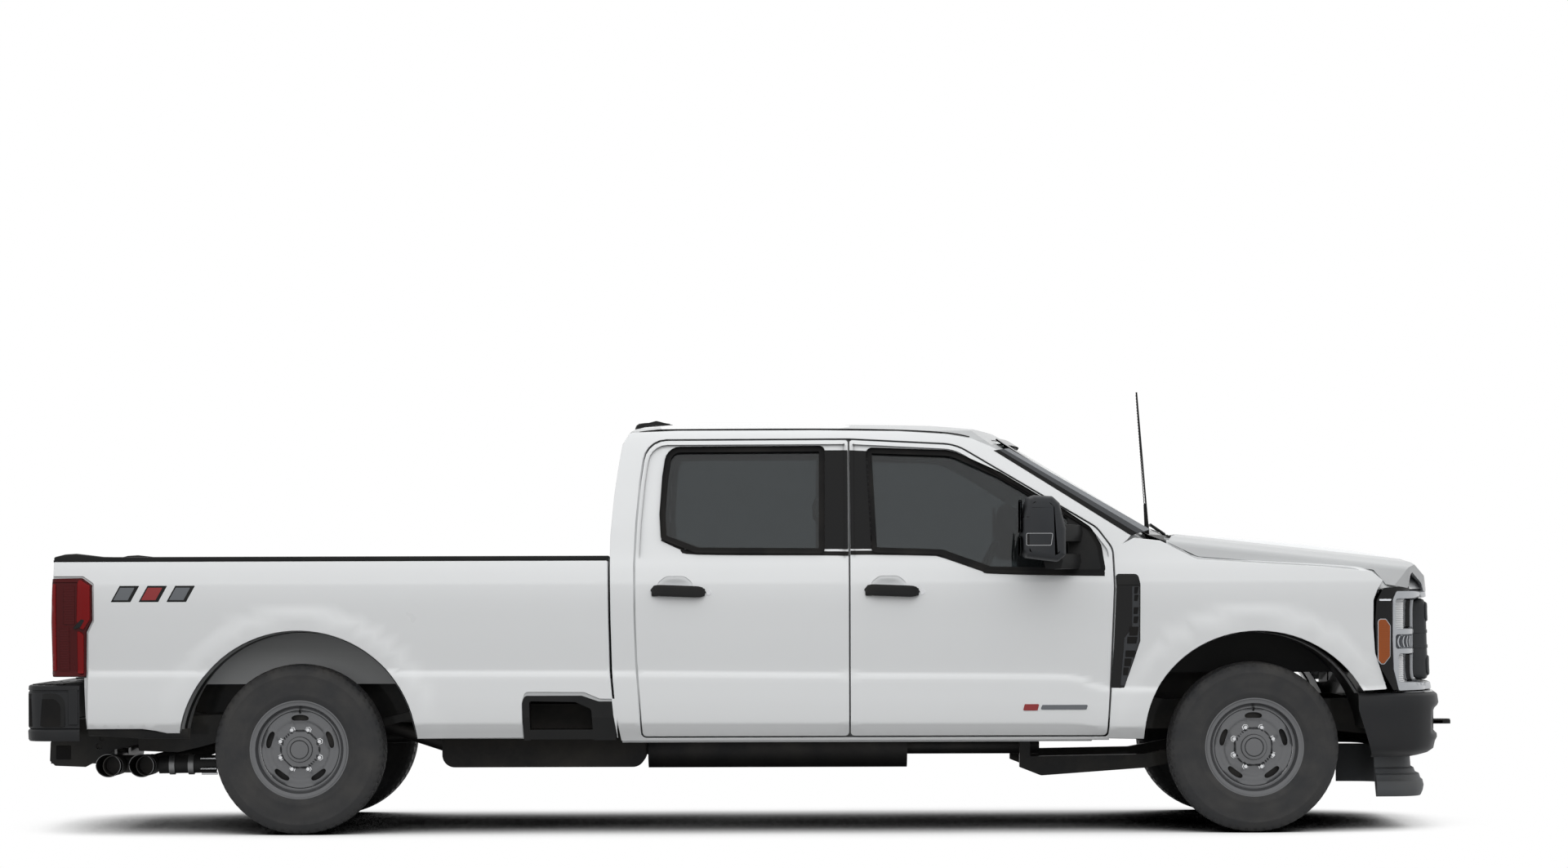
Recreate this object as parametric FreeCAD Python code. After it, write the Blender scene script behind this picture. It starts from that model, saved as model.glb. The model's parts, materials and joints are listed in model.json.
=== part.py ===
"""Crew-cab pickup truck with a long load bed, built as separate solids.

X runs forward, Y to the left and Z up, with the ground at zero. Places along X are
worked out from the rear axle, and the finished pieces are moved so that the middle of
the truck's length lies at zero.
"""
import math
import os
import FreeCAD
import Part

V = FreeCAD.Vector

# Layout of the truck
wheelbase = 4470.0
rear_overhang = 1321.0
front_overhang = 985.0
front_track = 1735.0
rear_track = 1707.0
tyre_radius = 400.0
tyre_width = 246.0

# Clearances and stock
seat_gap = 0.3
shut_gap = 7.0
pin_play = 0.05
panel_skin = 4.0
overrun = 500.0

# Heights of the body lines, each above the one before
sill_z = 430.0
lower_panel = 332.0
upper_panel = 388.0
shoulder_rise = 50.0
belt_rise = 120.0
glass_house = 573.0
roof_crown = 51.0
bed_rail_rise = 103.0
crease_z = sill_z + lower_panel
shoulder_z = crease_z + upper_panel
shoulder_top_z = shoulder_z + shoulder_rise
belt_z = shoulder_top_z + belt_rise
rail_z = belt_z + glass_house
roof_z = rail_z + roof_crown
bed_rail_z = shoulder_top_z + bed_rail_rise

# Half width of the body side and how far each line stands in from it
body_half = 1004.0
sill_tuck = 50.0
flank_tuck = 5.0
crease_tuck = 19.0
shoulder_tuck = 10.0
belt_tuck = 46.0
middle_tuck = 136.0
upper_tuck = 236.0
rail_tuck = 274.0
flank_low_share = 0.36
flank_high_share = 0.79
middle_share = 0.5
upper_share = 0.92

# Cab, measured back from the front axle
door_to_axle = 657.0
front_door_length = 1234.5
rear_door_length = 996.5
cab_quarter = 113.0
cab_gap = 18.0
door_low_rise = 28.0
door_top_drop = 44.0
cab_nose = 290.0
cab_floor_z = 690.0
sill_wall = 195.0
lower_wall = 110.0
upper_wall = 92.0
roof_wall = 38.0
back_wall = 60.0
roof_split_inset = 304.0
screen_rake = 1.658
screen_bulge = 270.0
screen_base_z = 1300.0
screen_base_reach = 465.0
screen_wall = 70.0
glass_sheet = 6.0
glass_depth = 4.0

# Doors: three layers, each set in from the outline, and the hinge
flange_inset = 14.0
core_inset = 56.0
aperture_inset = 46.0
flange_depth = 30.0
aperture_depth = 52.0
hinge_setback = 36.0
hinge_depth = 18.0
hinge_pin = 6.0
hinge_knuckle = 8.0
hinge_lug = 30.0
hinge_ear = 16.0
hinge_play = 1.0
hinge_low_share = 0.116
hinge_high_share = 0.469

# Handles, mirrors and windows
handle_length = 258.0
handle_height = 50.0
handle_reach = 40.0
handle_sheet = 14.0
handle_rise = 677.0
handle_inset = 197.0
mirror_depth = 203.0
mirror_height = 318.0
mirror_width = 145.0
mirror_outset = 341.0
mirror_setback = 450.0
mirror_rise = 804.0
mirror_arm = 28.0
mirror_foot = 40.0
mirror_foot_setback = 158.0
mirror_foot_inset = 104.0
mirror_arm_share = 0.3
mirror_arm_shares = (0.2, 0.56)
screen_sill_rise = 75.0
screen_head_drop = 43.0
screen_low_inset = 154.0
screen_high_inset = 314.0
screen_corner = 60.0
screen_opening_setback = 700.0
back_window_rise = 60.0
back_window_drop = 133.0
back_window_inset = 444.0
roof_skirt = 60.0

# Inside of the cab
seat_pitch_inset = 504.0
seat_width = 540.0
seat_spacing = 5.0
seat_length = 650.0
seat_height = 900.0
front_seat_reach = 20.0
rear_seat_length = 600.0
rear_seat_height = 850.0
rear_seat_inset = 264.0
rear_seat_reach = 118.0
dashboard_length = 550.0
dashboard_height = 410.0
dashboard_rise = 160.0
dashboard_inset = 224.0
dashboard_reach_share = 0.95
firewall_share = 0.907
steering_y = 430.0
column_angle = 25.0
column_length = 330.0
column_radius = 26.0
steering_radius = 190.0
steering_grip = 15.0
spoke_share = 0.6
grip_faces = 6

# Load bed
bed_rear_reach = 1142.0
bed_inner_inset = 154.0
wheelhouse_inset = 363.0
bed_floor_z = 747.0
bed_floor_sheet = 4.0
bed_rib = 12.0
rear_arch = 560.0
front_arch = 547.0
arch_lip = 12.0
arch_lip_width = 34.0
arch_floor_z = 480.0
lamp_inset = 184.0

# Tailgate
tailgate_thickness = 62.0
tailgate_low_rise = 12.0
tailgate_top_drop = 8.0
tailgate_pivot_rise = 28.0
tailgate_pivot_inset = 32.0
tailgate_pin = 9.0

# Fenders
fender_drop = 17.0
fender_length = 1261.0
fender_height = 943.0
fender_ledge = 80.0
fender_flange_inset = 40.0
liner_sheet = 4.0
liner_half = 500.0

# Nose
nose_back_reach = 580.0
nose_depth = 324.0
nose_inset = 321.0
hood_rear_reach = 415.0
hood_rear_bow = 130.0
hood_length = 1275.0
hood_low_rise = 650.0
hood_height = 342.0
hood_fall = 0.113
hood_sheet = 26.0
hood_pivot_inset = 24.0
hood_pivot_rise = 32.0
hood_pin = 7.0
hood_ear = 12.0
hood_ear_inset = 204.0
hood_ear_length = 44.0
hood_ear_height = 36.0
hood_ear_rear = 14.0
hood_sweep = 52.0
cowl_rise = 5.0
cowl_drop = 45.0
cowl_inset = 154.0
support_sheet = 30.0
support_setback = 43.0
support_inset = 104.0
support_high_z = 1112.0
support_rim = 60.0
lamp_low_z = 672.0
lamp_height = 479.0
lamp_length = 299.0
headlamp_inset = -19.0
grille_low_z = 700.0
grille_high_z = 1104.0
grille_depth = 90.0
grille_rim = 46.0
grille_bridge = 150.0
grille_bar = 44.0
grille_rows = 3
grille_slats = 6
grille_slat = 10.0
bumper_low_z = 349.0
bumper_height = 306.0
bumper_back_reach = 474.0
bumper_length = 492.0
bumper_sheet = 8.0
bumper_bracket = 60.0
hook_half = 520.0
hook_width = 90.0
hook_length = 240.0
hook_hole = 25.0
hook_stock = 22.0
hook_z = 504.0
dam_height = 195.0
dam_sheet = 8.0
dam_back_reach = 600.0
dam_inset = 244.0
vent_sheet = 9.0
vent_inset = -22.0
vent_width = 139.0
vent_rise = 220.0
vent_height = 538.0
nose_corner = 60.0
mast_lean_share = 0.083
dam_front_share = 0.81
hook_slot_share = 0.65
hook_slot_half = 55.0
apron_low_share = 0.85
mast_height = 744.7
mast_radius = 4.0
mast_base = 16.0
mast_base_height = 55.0
mast_inset = 224.0
mast_reach = 470.0
puck_length = 188.0
puck_width = 70.0
puck_height = 24.0
puck_reach = 180.0

# Ladder frame
rail_mid = 430.0
rail_width = 70.0
rail_sheet = 8.0
member_height = 70.0
member_width = 90.0
axle_tube = 48.0

rail_rear_reach = 1080.0
rail_front_reach = 620.0
rail_low_z = 440.0
rail_height = 200.0
rail_end_share = 0.75
rail_front_share = 0.86
member_shares = ((0.03033, 1.0), (0.19717, 0.85), (0.54602, 0.75), (0.75836, 0.75), (0.95553, 0.75))
front_member_inset = 92.5
front_member_share = 0.5
engine_length = 760.0
engine_half = 300.0
engine_low_z = 600.0
engine_height = 520.0
gearbox_length = 900.0
gearbox_half = 170.0
engine_gap = 30.0
mount_length = 80.0
mount_drop = 40.0
gearbox_low_z = 420.0
gearbox_height = 210.0
diff_radius = 140.0
diff_length = 200.0
rear_diff_radius = 165.0
diff_offset = 250.0
shaft_radius = 32.0
spring_half = 550.0
spring_width = 70.0
spring_sheet = 40.0
spring_rear_reach = 760.0
spring_front_reach = 640.0
spring_rise = 150.0
spring_hanger = 40.0
spring_front_share = 0.75
coil_height = 242.0
tower_half = 70.0
coil_radius = 62.0
coil_half = 530.0
damper_radius = 22.0
arm_length = 1022.0
arm_low_z = 246.0
arm_height = 184.0
arm_half = 440.0
arm_width = 50.0
tank_length = 962.0
tank_low_z = 305.0
tank_height = 300.0
tank_width = 270.0
tank_reach = 652.0
tank_round = 60.0
canister_radius = 105.0
canister_length = 1250.0
canister_z = 385.0
canister_half = 250.0
canister_reach = 1614.0
canister_hanger = 30.0
pipe_front_length = 640.0
pipe_radius = 42.0
tip_radius = 48.0
tip_sheet = 3.0
tip_half = 745.0
tip_length = 190.0
tip_z = 318.0
tip_reach = 748.0
tip_pitch = 157.0
receiver_inner = 64.0
receiver_wall = 6.0
receiver_z = 335.0
receiver_length = 380.0
receiver_pin = 8.15
receiver_pin_setback = 60.0
crossbar_radius = 38.0
rear_bumper_length = 261.0
rear_bumper_height = 265.0
rear_bumper_low_z = 441.0
rear_bumper_reach = 1281.0
plate_width = 330.0
plate_spacing = 177.8
plate_hole = 3.0
lamp_rear_proud = 18.0
taillamp_length = 201.0
taillamp_height = 467.0
taillamp_low_z = 741.0
taillamp_depth = 60.0
step_length_share = 0.49383
step_height = 210.0
step_setback_share = 0.45679
step_depth = 120.0
step_rim = 40.0
cap_sheet = 10.0
cap_lip = 14.0
cap_proud = 3.0
bed_rib_pitch = 131.0
bed_rib_width = 66.0
bed_rib_count = 10
bed_member = 46.7
bed_member_width = 70.0
bed_member_inset = 110.0
bed_member_drop = 50.0
bed_member_count = 5
bedside_drop = 9.0
post_depth = 110.0
rail_kick = 60.0
bed_floor_gap = 20.0
tailgate_handle = 90.0
plate_share = 0.6
headboard_sheet = 40.0

# Wheels
rim_radius = 222.0
rim_width = 214.0
rim_sheet = 8.0
wheel_offset = 38.0
hub_radius = 62.0
spindle = 34.0
cap_radius = 88.0
slot_circle = 149.0
slot_long = 80.0
slot_short = 30.0
slot_count = 5
shoulder_share = 0.96
tread_share = 0.86

# Steering
kingpin_half = 725.0
kingpin_radius = 13.0
kingpin_length = 40.0
knuckle_height = 170.0
knuckle_depth = 86.0
knuckle_width = 80.0
yoke_sheet = 26.0
yoke_gap = 5.0
yoke_reach = 66.0
plate_radius = 160.0
plate_setback = 60.0
spindle_reach = 40.0
arm_sheet = 28.0
tie_rod_eye = 22.0
tie_rod_eye_height = 38.0
tie_rod_drop = 10.0
tie_rod_free = 14.0
hub_back = 20.0
disc_back = 50.0
disc_front = 62.0
cap_front = 80.0
steering_arm = 165.0
steering_arm_z = 352.0
tie_rod_radius = 15.0
tie_rod_pin = 8.0

front_axle_x = wheelbase
door_front_x = front_axle_x - door_to_axle
door_middle_x = door_front_x - front_door_length
door_rear_x = door_middle_x - rear_door_length
cab_rear_x = door_rear_x - cab_quarter
cab_front_x = door_front_x + cab_nose
bed_front_x = cab_rear_x - cab_gap
door_low_z = sill_z + door_low_rise
door_top_z = rail_z - door_top_drop
door_height = door_top_z - door_low_z
origin_x = (wheelbase + front_overhang - rear_overhang) / 2
roof_split = body_half - roof_split_inset
mirror_foot_half = body_half - mirror_foot_inset
screen_low_half = body_half - screen_low_inset
screen_high_half = body_half - screen_high_inset
back_window_half = body_half - back_window_inset
seat_pitch = body_half - seat_pitch_inset
rear_seat_half = body_half - rear_seat_inset
dashboard_half = body_half - dashboard_inset
bed_inner_half = body_half - bed_inner_inset
wheelhouse_half = body_half - wheelhouse_inset
lamp_half = body_half - lamp_inset
nose_half = body_half - nose_inset
hood_ear_half = body_half - hood_ear_inset
cowl_half = body_half - cowl_inset
support_half = body_half - support_inset
dam_half = body_half - dam_inset
mast_half = body_half - mast_inset
mirror_half = body_half + mirror_outset
step_room = bed_front_x - rear_arch
step_length = step_room * step_length_share
step_reach = bed_front_x - step_room * step_setback_share

front_handle_x = door_middle_x + handle_inset
rear_handle_x = door_rear_x + handle_inset
handle_z = door_low_z + handle_rise
mirror_x = door_front_x - mirror_setback
mirror_z = door_low_z + mirror_rise
mirror_foot_x = door_front_x - mirror_foot_setback
screen_opening_x = door_front_x - screen_opening_setback
front_seat_x = door_middle_x - front_seat_reach
rear_seat_x = door_rear_x + rear_seat_reach
firewall_x = cab_rear_x + firewall_share * (cab_front_x - cab_rear_x)
gearbox_x = firewall_x + engine_gap - gearbox_length
dashboard_x = firewall_x - back_wall - seat_gap - dashboard_reach_share * dashboard_length
dashboard_z = cab_floor_z + dashboard_rise
nose_back_x = front_axle_x + nose_back_reach
support_x = nose_back_x - support_setback
hood_low_z = sill_z + hood_low_rise
hood_pivot_x = front_axle_x - hood_rear_reach + hood_pivot_inset
hood_pivot_z = belt_z + hood_pivot_rise
bumper_x = front_axle_x + bumper_back_reach
rail_rear_x = -rail_rear_reach
vent_x = door_front_x + shut_gap + vent_inset
vent_z = door_low_z + vent_rise
rail_front_x = front_axle_x + rail_front_reach
rail_top_z = rail_low_z + rail_height
rail_end_z = rail_low_z + rail_height * rail_end_share
support_low_z = rail_low_z + rail_height * rail_front_share + seat_gap
bedside_z = door_low_z - bedside_drop - rail_sheet
tailgate_low_z = taillamp_low_z + tailgate_low_rise
headlamp_x = nose_back_x + headlamp_inset
headlamp_z = lamp_low_z
hood_side_x = front_axle_x - hood_rear_reach
wheel_z = tyre_radius

front_door_shares = (
    (0.0, 0.0, 0.0), (0.0, 1.0, 0.0), (0.406, 0.981, 0.158), (0.937, 0.697, 0.086),
    (0.996, 0.627, 0.06), (1.0, 0.497, 0.0), (0.985, 0.167, 0.0), (0.972, 0.0, 0.0))
front_window_shares = (
    (0.093, 0.624, 0.0), (0.075, 0.963, 0.0), (0.404, 0.954, 0.14), (0.585, 0.873, 0.0),
    (0.827, 0.732, 0.0), (0.827, 0.5535, 0.0), (0.534, 0.558, 0.04), (0.366, 0.614, 0.04))
rear_door_shares = (
    (0.028, 0.0, 0.0), (0.002, 0.39, 0.0), (0.0, 0.584, 0.0), (0.025, 0.864, 0.0),
    (0.05, 0.998, 0.079), (1.0, 1.0, 0.0), (1.0, 0.0, 0.0))
rear_window_shares = (
    (0.131, 0.67, 0.0), (0.121, 0.692, 0.0), (0.137, 0.893, 0.0), (0.152, 0.969, 0.036),
    (0.874, 0.97, 0.0), (0.871, 0.622, 0.0), (0.288, 0.623, 0.043))
mirror_head_shares = (
    (0.08, 0.0, 0.08), (0.0, 0.12, 0.05), (0.0, 0.95, 0.06), (0.8, 1.0, 0.1), (1.0, 0.72, 0.1),
    (1.0, 0.2, 0.1), (0.75, 0.0, 0.1))
cab_side_shares = (
    (0.017, 0.0, 0.0), (0.004, 0.14, 0.04), (0.0, 0.246, 0.0), (0.0, 0.595, 0.0),
    (0.013, 0.878, 0.0), (0.03, 0.975, 0.045), (0.148, 1.0, 0.0), (0.385, 1.0, 0.0),
    (0.57, 0.988, 0.0), (0.68, 0.964, 0.0), (1.0, 0.9, 0.0), (1.0, 0.65, 0.0),
    (0.93, 0.62, 0.0), (0.907, 0.55, 0.0), (0.907, 0.126, 0.08), (0.85, 0.0, 0.0))
hood_side_shares = (
    (-0.02, 0.88, 0.0), (-0.02, 1.1, 0.0), (0.833, 0.72, 0.0), (0.9, 0.59, 0.15), (0.98, 0.33, 0.09),
    (1.0, 0.12, 0.024), (0.81, 0.235, 0.024), (0.766, 0.438, 0.05), (0.12, 0.623, 0.2))
fender_shares = (
    (-0.021, 0.0, 0.0), (-0.009, 0.264, 0.0), (0.006, 0.752, 0.0), (0.002, 0.943, 0.0),
    (0.072, 1.0, 0.0), (0.17, 0.985, 0.0), (0.303, 0.8935, 0.06), (0.955, 0.82, 0.0),
    (0.99, 0.78, 0.0), (0.97, 0.737, 0.0), (0.955, 0.685, 0.0), (0.955, 0.55, 0.0),
    (0.962, 0.422, 0.0), (0.983, 0.34, 0.0), (1.008, 0.241, 0.0), (0.91, 0.232, 0.0))
headlamp_shares = (
    (0.084, 0.969, 0.0), (0.02, 0.866, 0.0), (0.02, 0.601, 0.0), (0.05, 0.349, 0.0),
    (0.14, 0.188, 0.0), (0.254, 0.0, 0.0), (1.1, 0.02, 0.0), (1.1, 0.925, 0.0))
bedside_shares = (
    (0.059, 0.068, 0.0), (0.055, 0.353, 0.0), (0.0, 0.353, 0.0), (0.0, 1.0, 0.0),
    (0.999, 1.0, 0.0), (1.0, 0.648, 0.0), (1.002, 0.376, 0.0), (1.01, 0.138, 0.05),
    (1.017, 0.01, 0.0), (0.648, 0.01, 0.0), (0.241, 0.045, 0.0), (0.171, 0.068, 0.0))
front_bumper_shares = (
    (-0.05, 1.0, 0.0), (0.929, 1.0, 0.098), (0.976, 0.82, 0.065), (0.921, 0.66, 0.0),
    (0.911, 0.428, 0.0), (0.967, 0.275, 0.046), (0.927, 0.036, 0.065), (0.695, 0.0, 0.065),
    (0.439, 0.0, 0.0), (0.132, 0.154, 0.065))
rear_bumper_shares = (
    (0.0, 0.977, 0.053), (1.0, 1.0, 0.038), (0.962, 0.449, 0.075), (0.617, 0.109, 0.151),
    (0.0, 0.0, 0.053))
nose_plan_shares = ((0.0, 1.0), (0.45, 0.936), (0.76, 0.757), (0.93, 0.5), (1.0, 0.0))
bumper_plan_shares = ((0.3, 1.0), (0.62, 0.955), (0.84, 0.8), (0.95, 0.5), (1.0, 0.0))
rear_plan_shares = ((0.5, 1.0), (0.88, 0.96), (1.0, 0.85), (1.0, 0.0))
dam_plan_shares = ((0.0, 1.0), (0.55, 0.97), (0.9, 0.7), (1.0, 0.0))
hood_section_shares = (
    (0.0, 1.0, 0.0), (0.6, 0.975, 0.0), (0.83, 0.93, 0.3), (0.935, 0.85, 0.1), (0.982, 0.45, 0.0),
    (0.99, 0.0, 0.0))
vent_shares = (
    (0.0, 0.0, 0.0), (0.094, 0.375, 0.0), (0.173, 0.877, 0.0), (0.151, 0.996, 0.0),
    (0.921, 0.996, 0.0), (1.0, 0.907, 0.0), (0.993, 0.411, 0.0), (0.468, 0.0, 0.0))
taillamp_shares = (
    (0.03, 0.0, 0.0), (0.015, 0.555, 0.0), (0.05, 0.991, 0.0), (0.766, 0.996, 0.0),
    (1.0, 0.925, 0.0), (1.0, 0.574, 0.0), (0.866, 0.458, 0.0), (0.851, 0.0, 0.0))
step_shares = (
    (0.02, 0.0, 0.0), (0.0, 0.81, 0.0), (0.03, 1.0, 0.1), (0.64, 1.0, 0.1), (0.82, 0.87, 0.1),
    (0.99, 0.87, 0.02), (1.0, 0.0, 0.0))
step_opening_shares = (
    (0.09, -0.1, 0.0), (0.08, 0.88, 0.05), (0.57, 0.86, 0.1), (0.74, 0.7, 0.1), (0.765, -0.1, 0.0))
step_tread_shares = (
    (0.05, 0.02, 0.0), (0.09, 0.24, 0.0), (0.76, 0.24, 0.0), (0.8, 0.02, 0.0))
rail_shares = (
    (0.0, rail_end_share, 0.0), (0.0, 1.3, 0.0), (0.27, 1.3, 0.5), (0.4, 1.0, 0.5), (0.8, 1.0, 0.3),
    (0.84, rail_front_share, 0.3), (1.0, rail_front_share, 0.0), (1.0, 0.0, 0.0), (0.95, 0.15, 0.3),
    (0.82, 0.15, 0.3), (0.78, 0.0, 0.3), (0.38, 0.0, 0.5), (0.27, 0.35, 0.5), (0.12, 0.35, 0.5),
    (0.035, rail_end_share, 0.3))
pipe_shares = (
    (-0.38, 0.443, 1.0), (-0.52, 0.443, 1.29), (-0.74, 0.443, 1.29), (-0.8, 0.52, 1.08),
    (-0.87, 0.7, 0.9), (-0.938, 0.78, 0.8), (-1.0, 0.78, 0.8))
arm_shares = (
    (0.0, 0.22, 0.0), (0.1, 0.0, 0.2), (0.6, 0.2, 0.5), (1.0, 0.66, 0.0), (1.0, 1.0, 0.0),
    (0.58, 0.55, 0.5), (0.05, 0.5, 0.0), (0.0, 0.5, 0.0))
spring_shares = (
    (0.0, 1.0, 0.0), (0.25, 0.28, 1.0), (0.46, 0.0, 0.5), (0.62, 0.0, 0.5), (0.8, 0.3, 1.0), (1.0, 0.8, 0.0),
    (1.0, 1.06, 0.0), (0.8, 0.56, 1.0), (0.54, 0.27, 1.0), (0.25, 0.55, 1.0), (0.0, 1.26, 0.0))
front_seat_shares = (
    (0.1, 0.0, 0.043), (0.0, 0.283, 0.065), (-0.2, 0.8, 0.065), (-0.24, 0.93, 0.065),
    (-0.23, 1.0, 0.05), (-0.12, 1.0, 0.05), (-0.03, 0.78, 0.033), (0.213, 0.315, 0.065),
    (0.8, 0.348, 0.098), (0.813, 0.174, 0.065), (0.667, 0.0, 0.065))
dashboard_shares = (
    (0.473, 0.0, 0.146), (0.25, 0.488, 0.146), (0.3, 0.805, 0.122), (0.7, 1.0, 0.146),
    (0.95, 1.0, 0.049), (0.95, 0.122, 0.049))


def corner(before, at, after, radius):
    """Straight-line ends and arc middle that round one corner of an outline."""
    to_before = (before - at).normalize()
    to_after = (after - at).normalize()
    half = to_before.getAngle(to_after) / 2
    reach = radius / math.tan(half)
    limit = min((before - at).Length, (after - at).Length) * 0.45
    if reach > limit:
        reach = limit
        radius = reach * math.tan(half)
    bisector = (to_before + to_after).normalize()
    centre = at + bisector * (radius / math.sin(half))
    return at + to_before * reach, centre - bisector * radius, at + to_after * reach


def place(plane, a, b, level):
    """Point of a drawing plane at a level along its normal."""
    if plane == "xz":
        return V(a, level, b)
    if plane == "yz":
        return V(level, a, b)
    return V(a, b, level)


def outline(plane, points, level=0.0):
    """Closed face of a drawing plane; a point is (a, b) or (a, b, corner radius)."""
    nodes = [place(plane, point[0], point[1], level) for point in points]
    radii = [point[2] if len(point) > 2 else 0.0 for point in points]
    count = len(nodes)
    starts = []
    edges = []
    for index in range(count):
        at = nodes[index]
        if radii[index] > 0:
            near, middle, far = corner(nodes[index - 1], at, nodes[(index + 1) % count], radii[index])
            starts.append((near, far))
            edges.append(Part.Arc(near, middle, far).toShape())
        else:
            starts.append((at, at))
            edges.append(None)
    chain = []
    for index in range(count):
        if edges[index] is not None:
            chain.append(edges[index])
        here = starts[index][1]
        there = starts[(index + 1) % count][0]
        if here.distanceToPoint(there) > seat_gap / 100:
            chain.append(Part.LineSegment(here, there).toShape())
    return Part.Face(Part.Wire(chain))


def prism(plane, points, low, high):
    """Outline carried along the normal of its plane from one level to another."""
    face = outline(plane, points, low)
    return face.extrude(place(plane, 0, 0, high - low))


def grown(face, amount, low, high):
    """Face in the XZ plane moved out by an amount and carried across from low to high."""
    moved = face.makeOffset2D(amount, 2)
    moved.translate(V(0, low, 0))
    return moved.extrude(V(0, high - low, 0))


def scaled(shares, x, z, length, height):
    """Outline from shares of a box with its lower rear corner at x, z."""
    return [(x + a * length, z + b * height, r * height) for a, b, r in shares]


def box(x0, x1, y0, y1, z0, z1):
    """Block between two corners."""
    return Part.makeBox(x1 - x0, y1 - y0, z1 - z0, V(x0, y0, z0))


def rod(start, end, radius):
    """Cylinder between two points."""
    return Part.makeCylinder(radius, (end - start).Length, start, end - start)


def merged(first, *others):
    """Union of solids as one clean solid."""
    return first.fuse(list(others)).removeSplitter()


def mirrored(shape):
    """The same piece on the other side."""
    return shape.mirror(V(0, 0, 0), V(0, 1, 0))


def pair(shape):
    """A piece and its mirror image as solids that don't touch."""
    return Part.makeCompound([shape, mirrored(shape)])


def save(name, shape):
    """Write one node, moved so that the truck's middle lies at zero."""
    solids = [solid.translated(V(-origin_x, 0, 0)) for solid in shape.Solids]
    result = solids[0] if len(solids) == 1 else Part.makeCompound(solids)
    result.exportStep(os.path.join("parts", name + ".step"))


def side_line(depth, upper_depth=None):
    """Half widths and heights of the body side, moved in by a depth."""
    upper = depth if upper_depth is None else upper_depth
    return [
        (body_half - sill_tuck - depth, sill_z),
        (body_half - flank_tuck - depth, sill_z + flank_low_share * lower_panel),
        (body_half - flank_tuck - depth, sill_z + flank_high_share * lower_panel),
        (body_half - crease_tuck - depth, crease_z),
        (body_half - depth, shoulder_z),
        (body_half - shoulder_tuck - depth, shoulder_top_z),
        (body_half - belt_tuck - depth, belt_z),
        (body_half - middle_tuck - upper, belt_z + middle_share * glass_house),
        (body_half - upper_tuck - upper, belt_z + upper_share * glass_house),
        (body_half - rail_tuck - upper, rail_z)]


def side_layer(x0, x1, outer, inner):
    """Right body side between two depths under its surface."""
    out = [(-y, z) for y, z in side_line(outer)]
    back = [(-y, z) for y, z in reversed(side_line(inner))]
    return prism("yz", out + back, x0, x1)


def side_block(x0, x1, depth, inner_half, top):
    """Right body side filled from a depth under its surface to an upright plane."""
    out = [(-y, z) for y, z in side_line(depth)]
    solid = prism("yz", out + [(-inner_half, rail_z), (-inner_half, sill_z)], x0, x1)
    return solid.common(box(x0, x1, -body_half, -inner_half, sill_z, top))


def cross_section(depth, upper_depth, floor_z, roof_drop, x0, x1):
    """Whole cab section carried along the cab."""
    line = [(y, z) for y, z in side_line(depth, upper_depth) if z >= floor_z]
    if line[0][1] > floor_z:
        line = [(line[0][0], floor_z)] + line
    right = [V(x0, -y, z - (roof_drop if z == rail_z else 0)) for y, z in line]
    left = [V(x0, y, z - (roof_drop if z == rail_z else 0)) for y, z in reversed(line)]
    crown = Part.Arc(right[-1], V(x0, 0, roof_z - roof_drop), left[0]).toShape()
    edges = Part.makePolygon(right).Edges + [crown] + Part.makePolygon(left).Edges
    edges.append(Part.LineSegment(left[-1], right[0]).toShape())
    return Part.Face(Part.Wire(edges)).extrude(V(x1 - x0, 0, 0))


def screen_cutter(depth):
    """Everything ahead of the windscreen's curved and raked surface."""
    base_x = cab_front_x - depth + screen_base_reach - cab_nose
    reach = roof_z - screen_base_z + roof_crown
    half = body_half + arch_lip
    arc = Part.Arc(V(base_x - screen_bulge, -half, screen_base_z), V(base_x, 0, screen_base_z),
                   V(base_x - screen_bulge, half, screen_base_z)).toShape()
    far = base_x + wheelbase
    lines = Part.makePolygon([V(base_x - screen_bulge, half, screen_base_z), V(far, half, screen_base_z),
                              V(far, -half, screen_base_z), V(base_x - screen_bulge, -half, screen_base_z)])
    face = Part.Face(Part.Wire([arc] + lines.Edges))
    return face.extrude(V(-screen_rake * reach, 0, reach))


def cab_outline(inset):
    """Side view of the cab as a block across the body, moved in by an inset."""
    points = scaled(cab_side_shares, cab_rear_x, sill_z, cab_front_x - cab_rear_x, roof_z - sill_z)
    face = outline("xz", points)
    return grown(face, -inset, -body_half, body_half)


def cab_block(inset, screen_depth, depth, upper_depth, floor_z, roof_drop):
    """Solid block of the cab, or of the room inside it."""
    section = cross_section(depth, upper_depth, floor_z, roof_drop, cab_rear_x, cab_front_x)
    return section.common(cab_outline(inset)).cut(screen_cutter(screen_depth))


def front_door_points():
    return scaled(front_door_shares, door_middle_x + shut_gap / 2, door_low_z,
                  front_door_length - shut_gap / 2, door_height)


def rear_door_points():
    return scaled(rear_door_shares, door_rear_x, door_low_z, rear_door_length - shut_gap / 2, door_height)


def front_window_points():
    return scaled(front_window_shares, door_middle_x, door_low_z, front_door_length, door_height)


def rear_window_points():
    return scaled(rear_window_shares, door_rear_x, door_low_z, rear_door_length, door_height)


def fender_points():
    return scaled(fender_shares, door_front_x + shut_gap, fender_low_z, fender_length, fender_height)


fender_low_z = door_low_z - fender_drop
door_core_top_z = belt_z - core_inset / 2
door_core_low_z = cab_floor_z + flange_inset
hinge_front_x = door_front_x - hinge_setback
hinge_rear_x = door_middle_x - shut_gap / 2 - hinge_setback
hinge_half = body_half - hinge_depth
hinge_low_z = door_low_z + hinge_low_share * door_height
hinge_high_z = door_low_z + hinge_high_share * door_height


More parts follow.
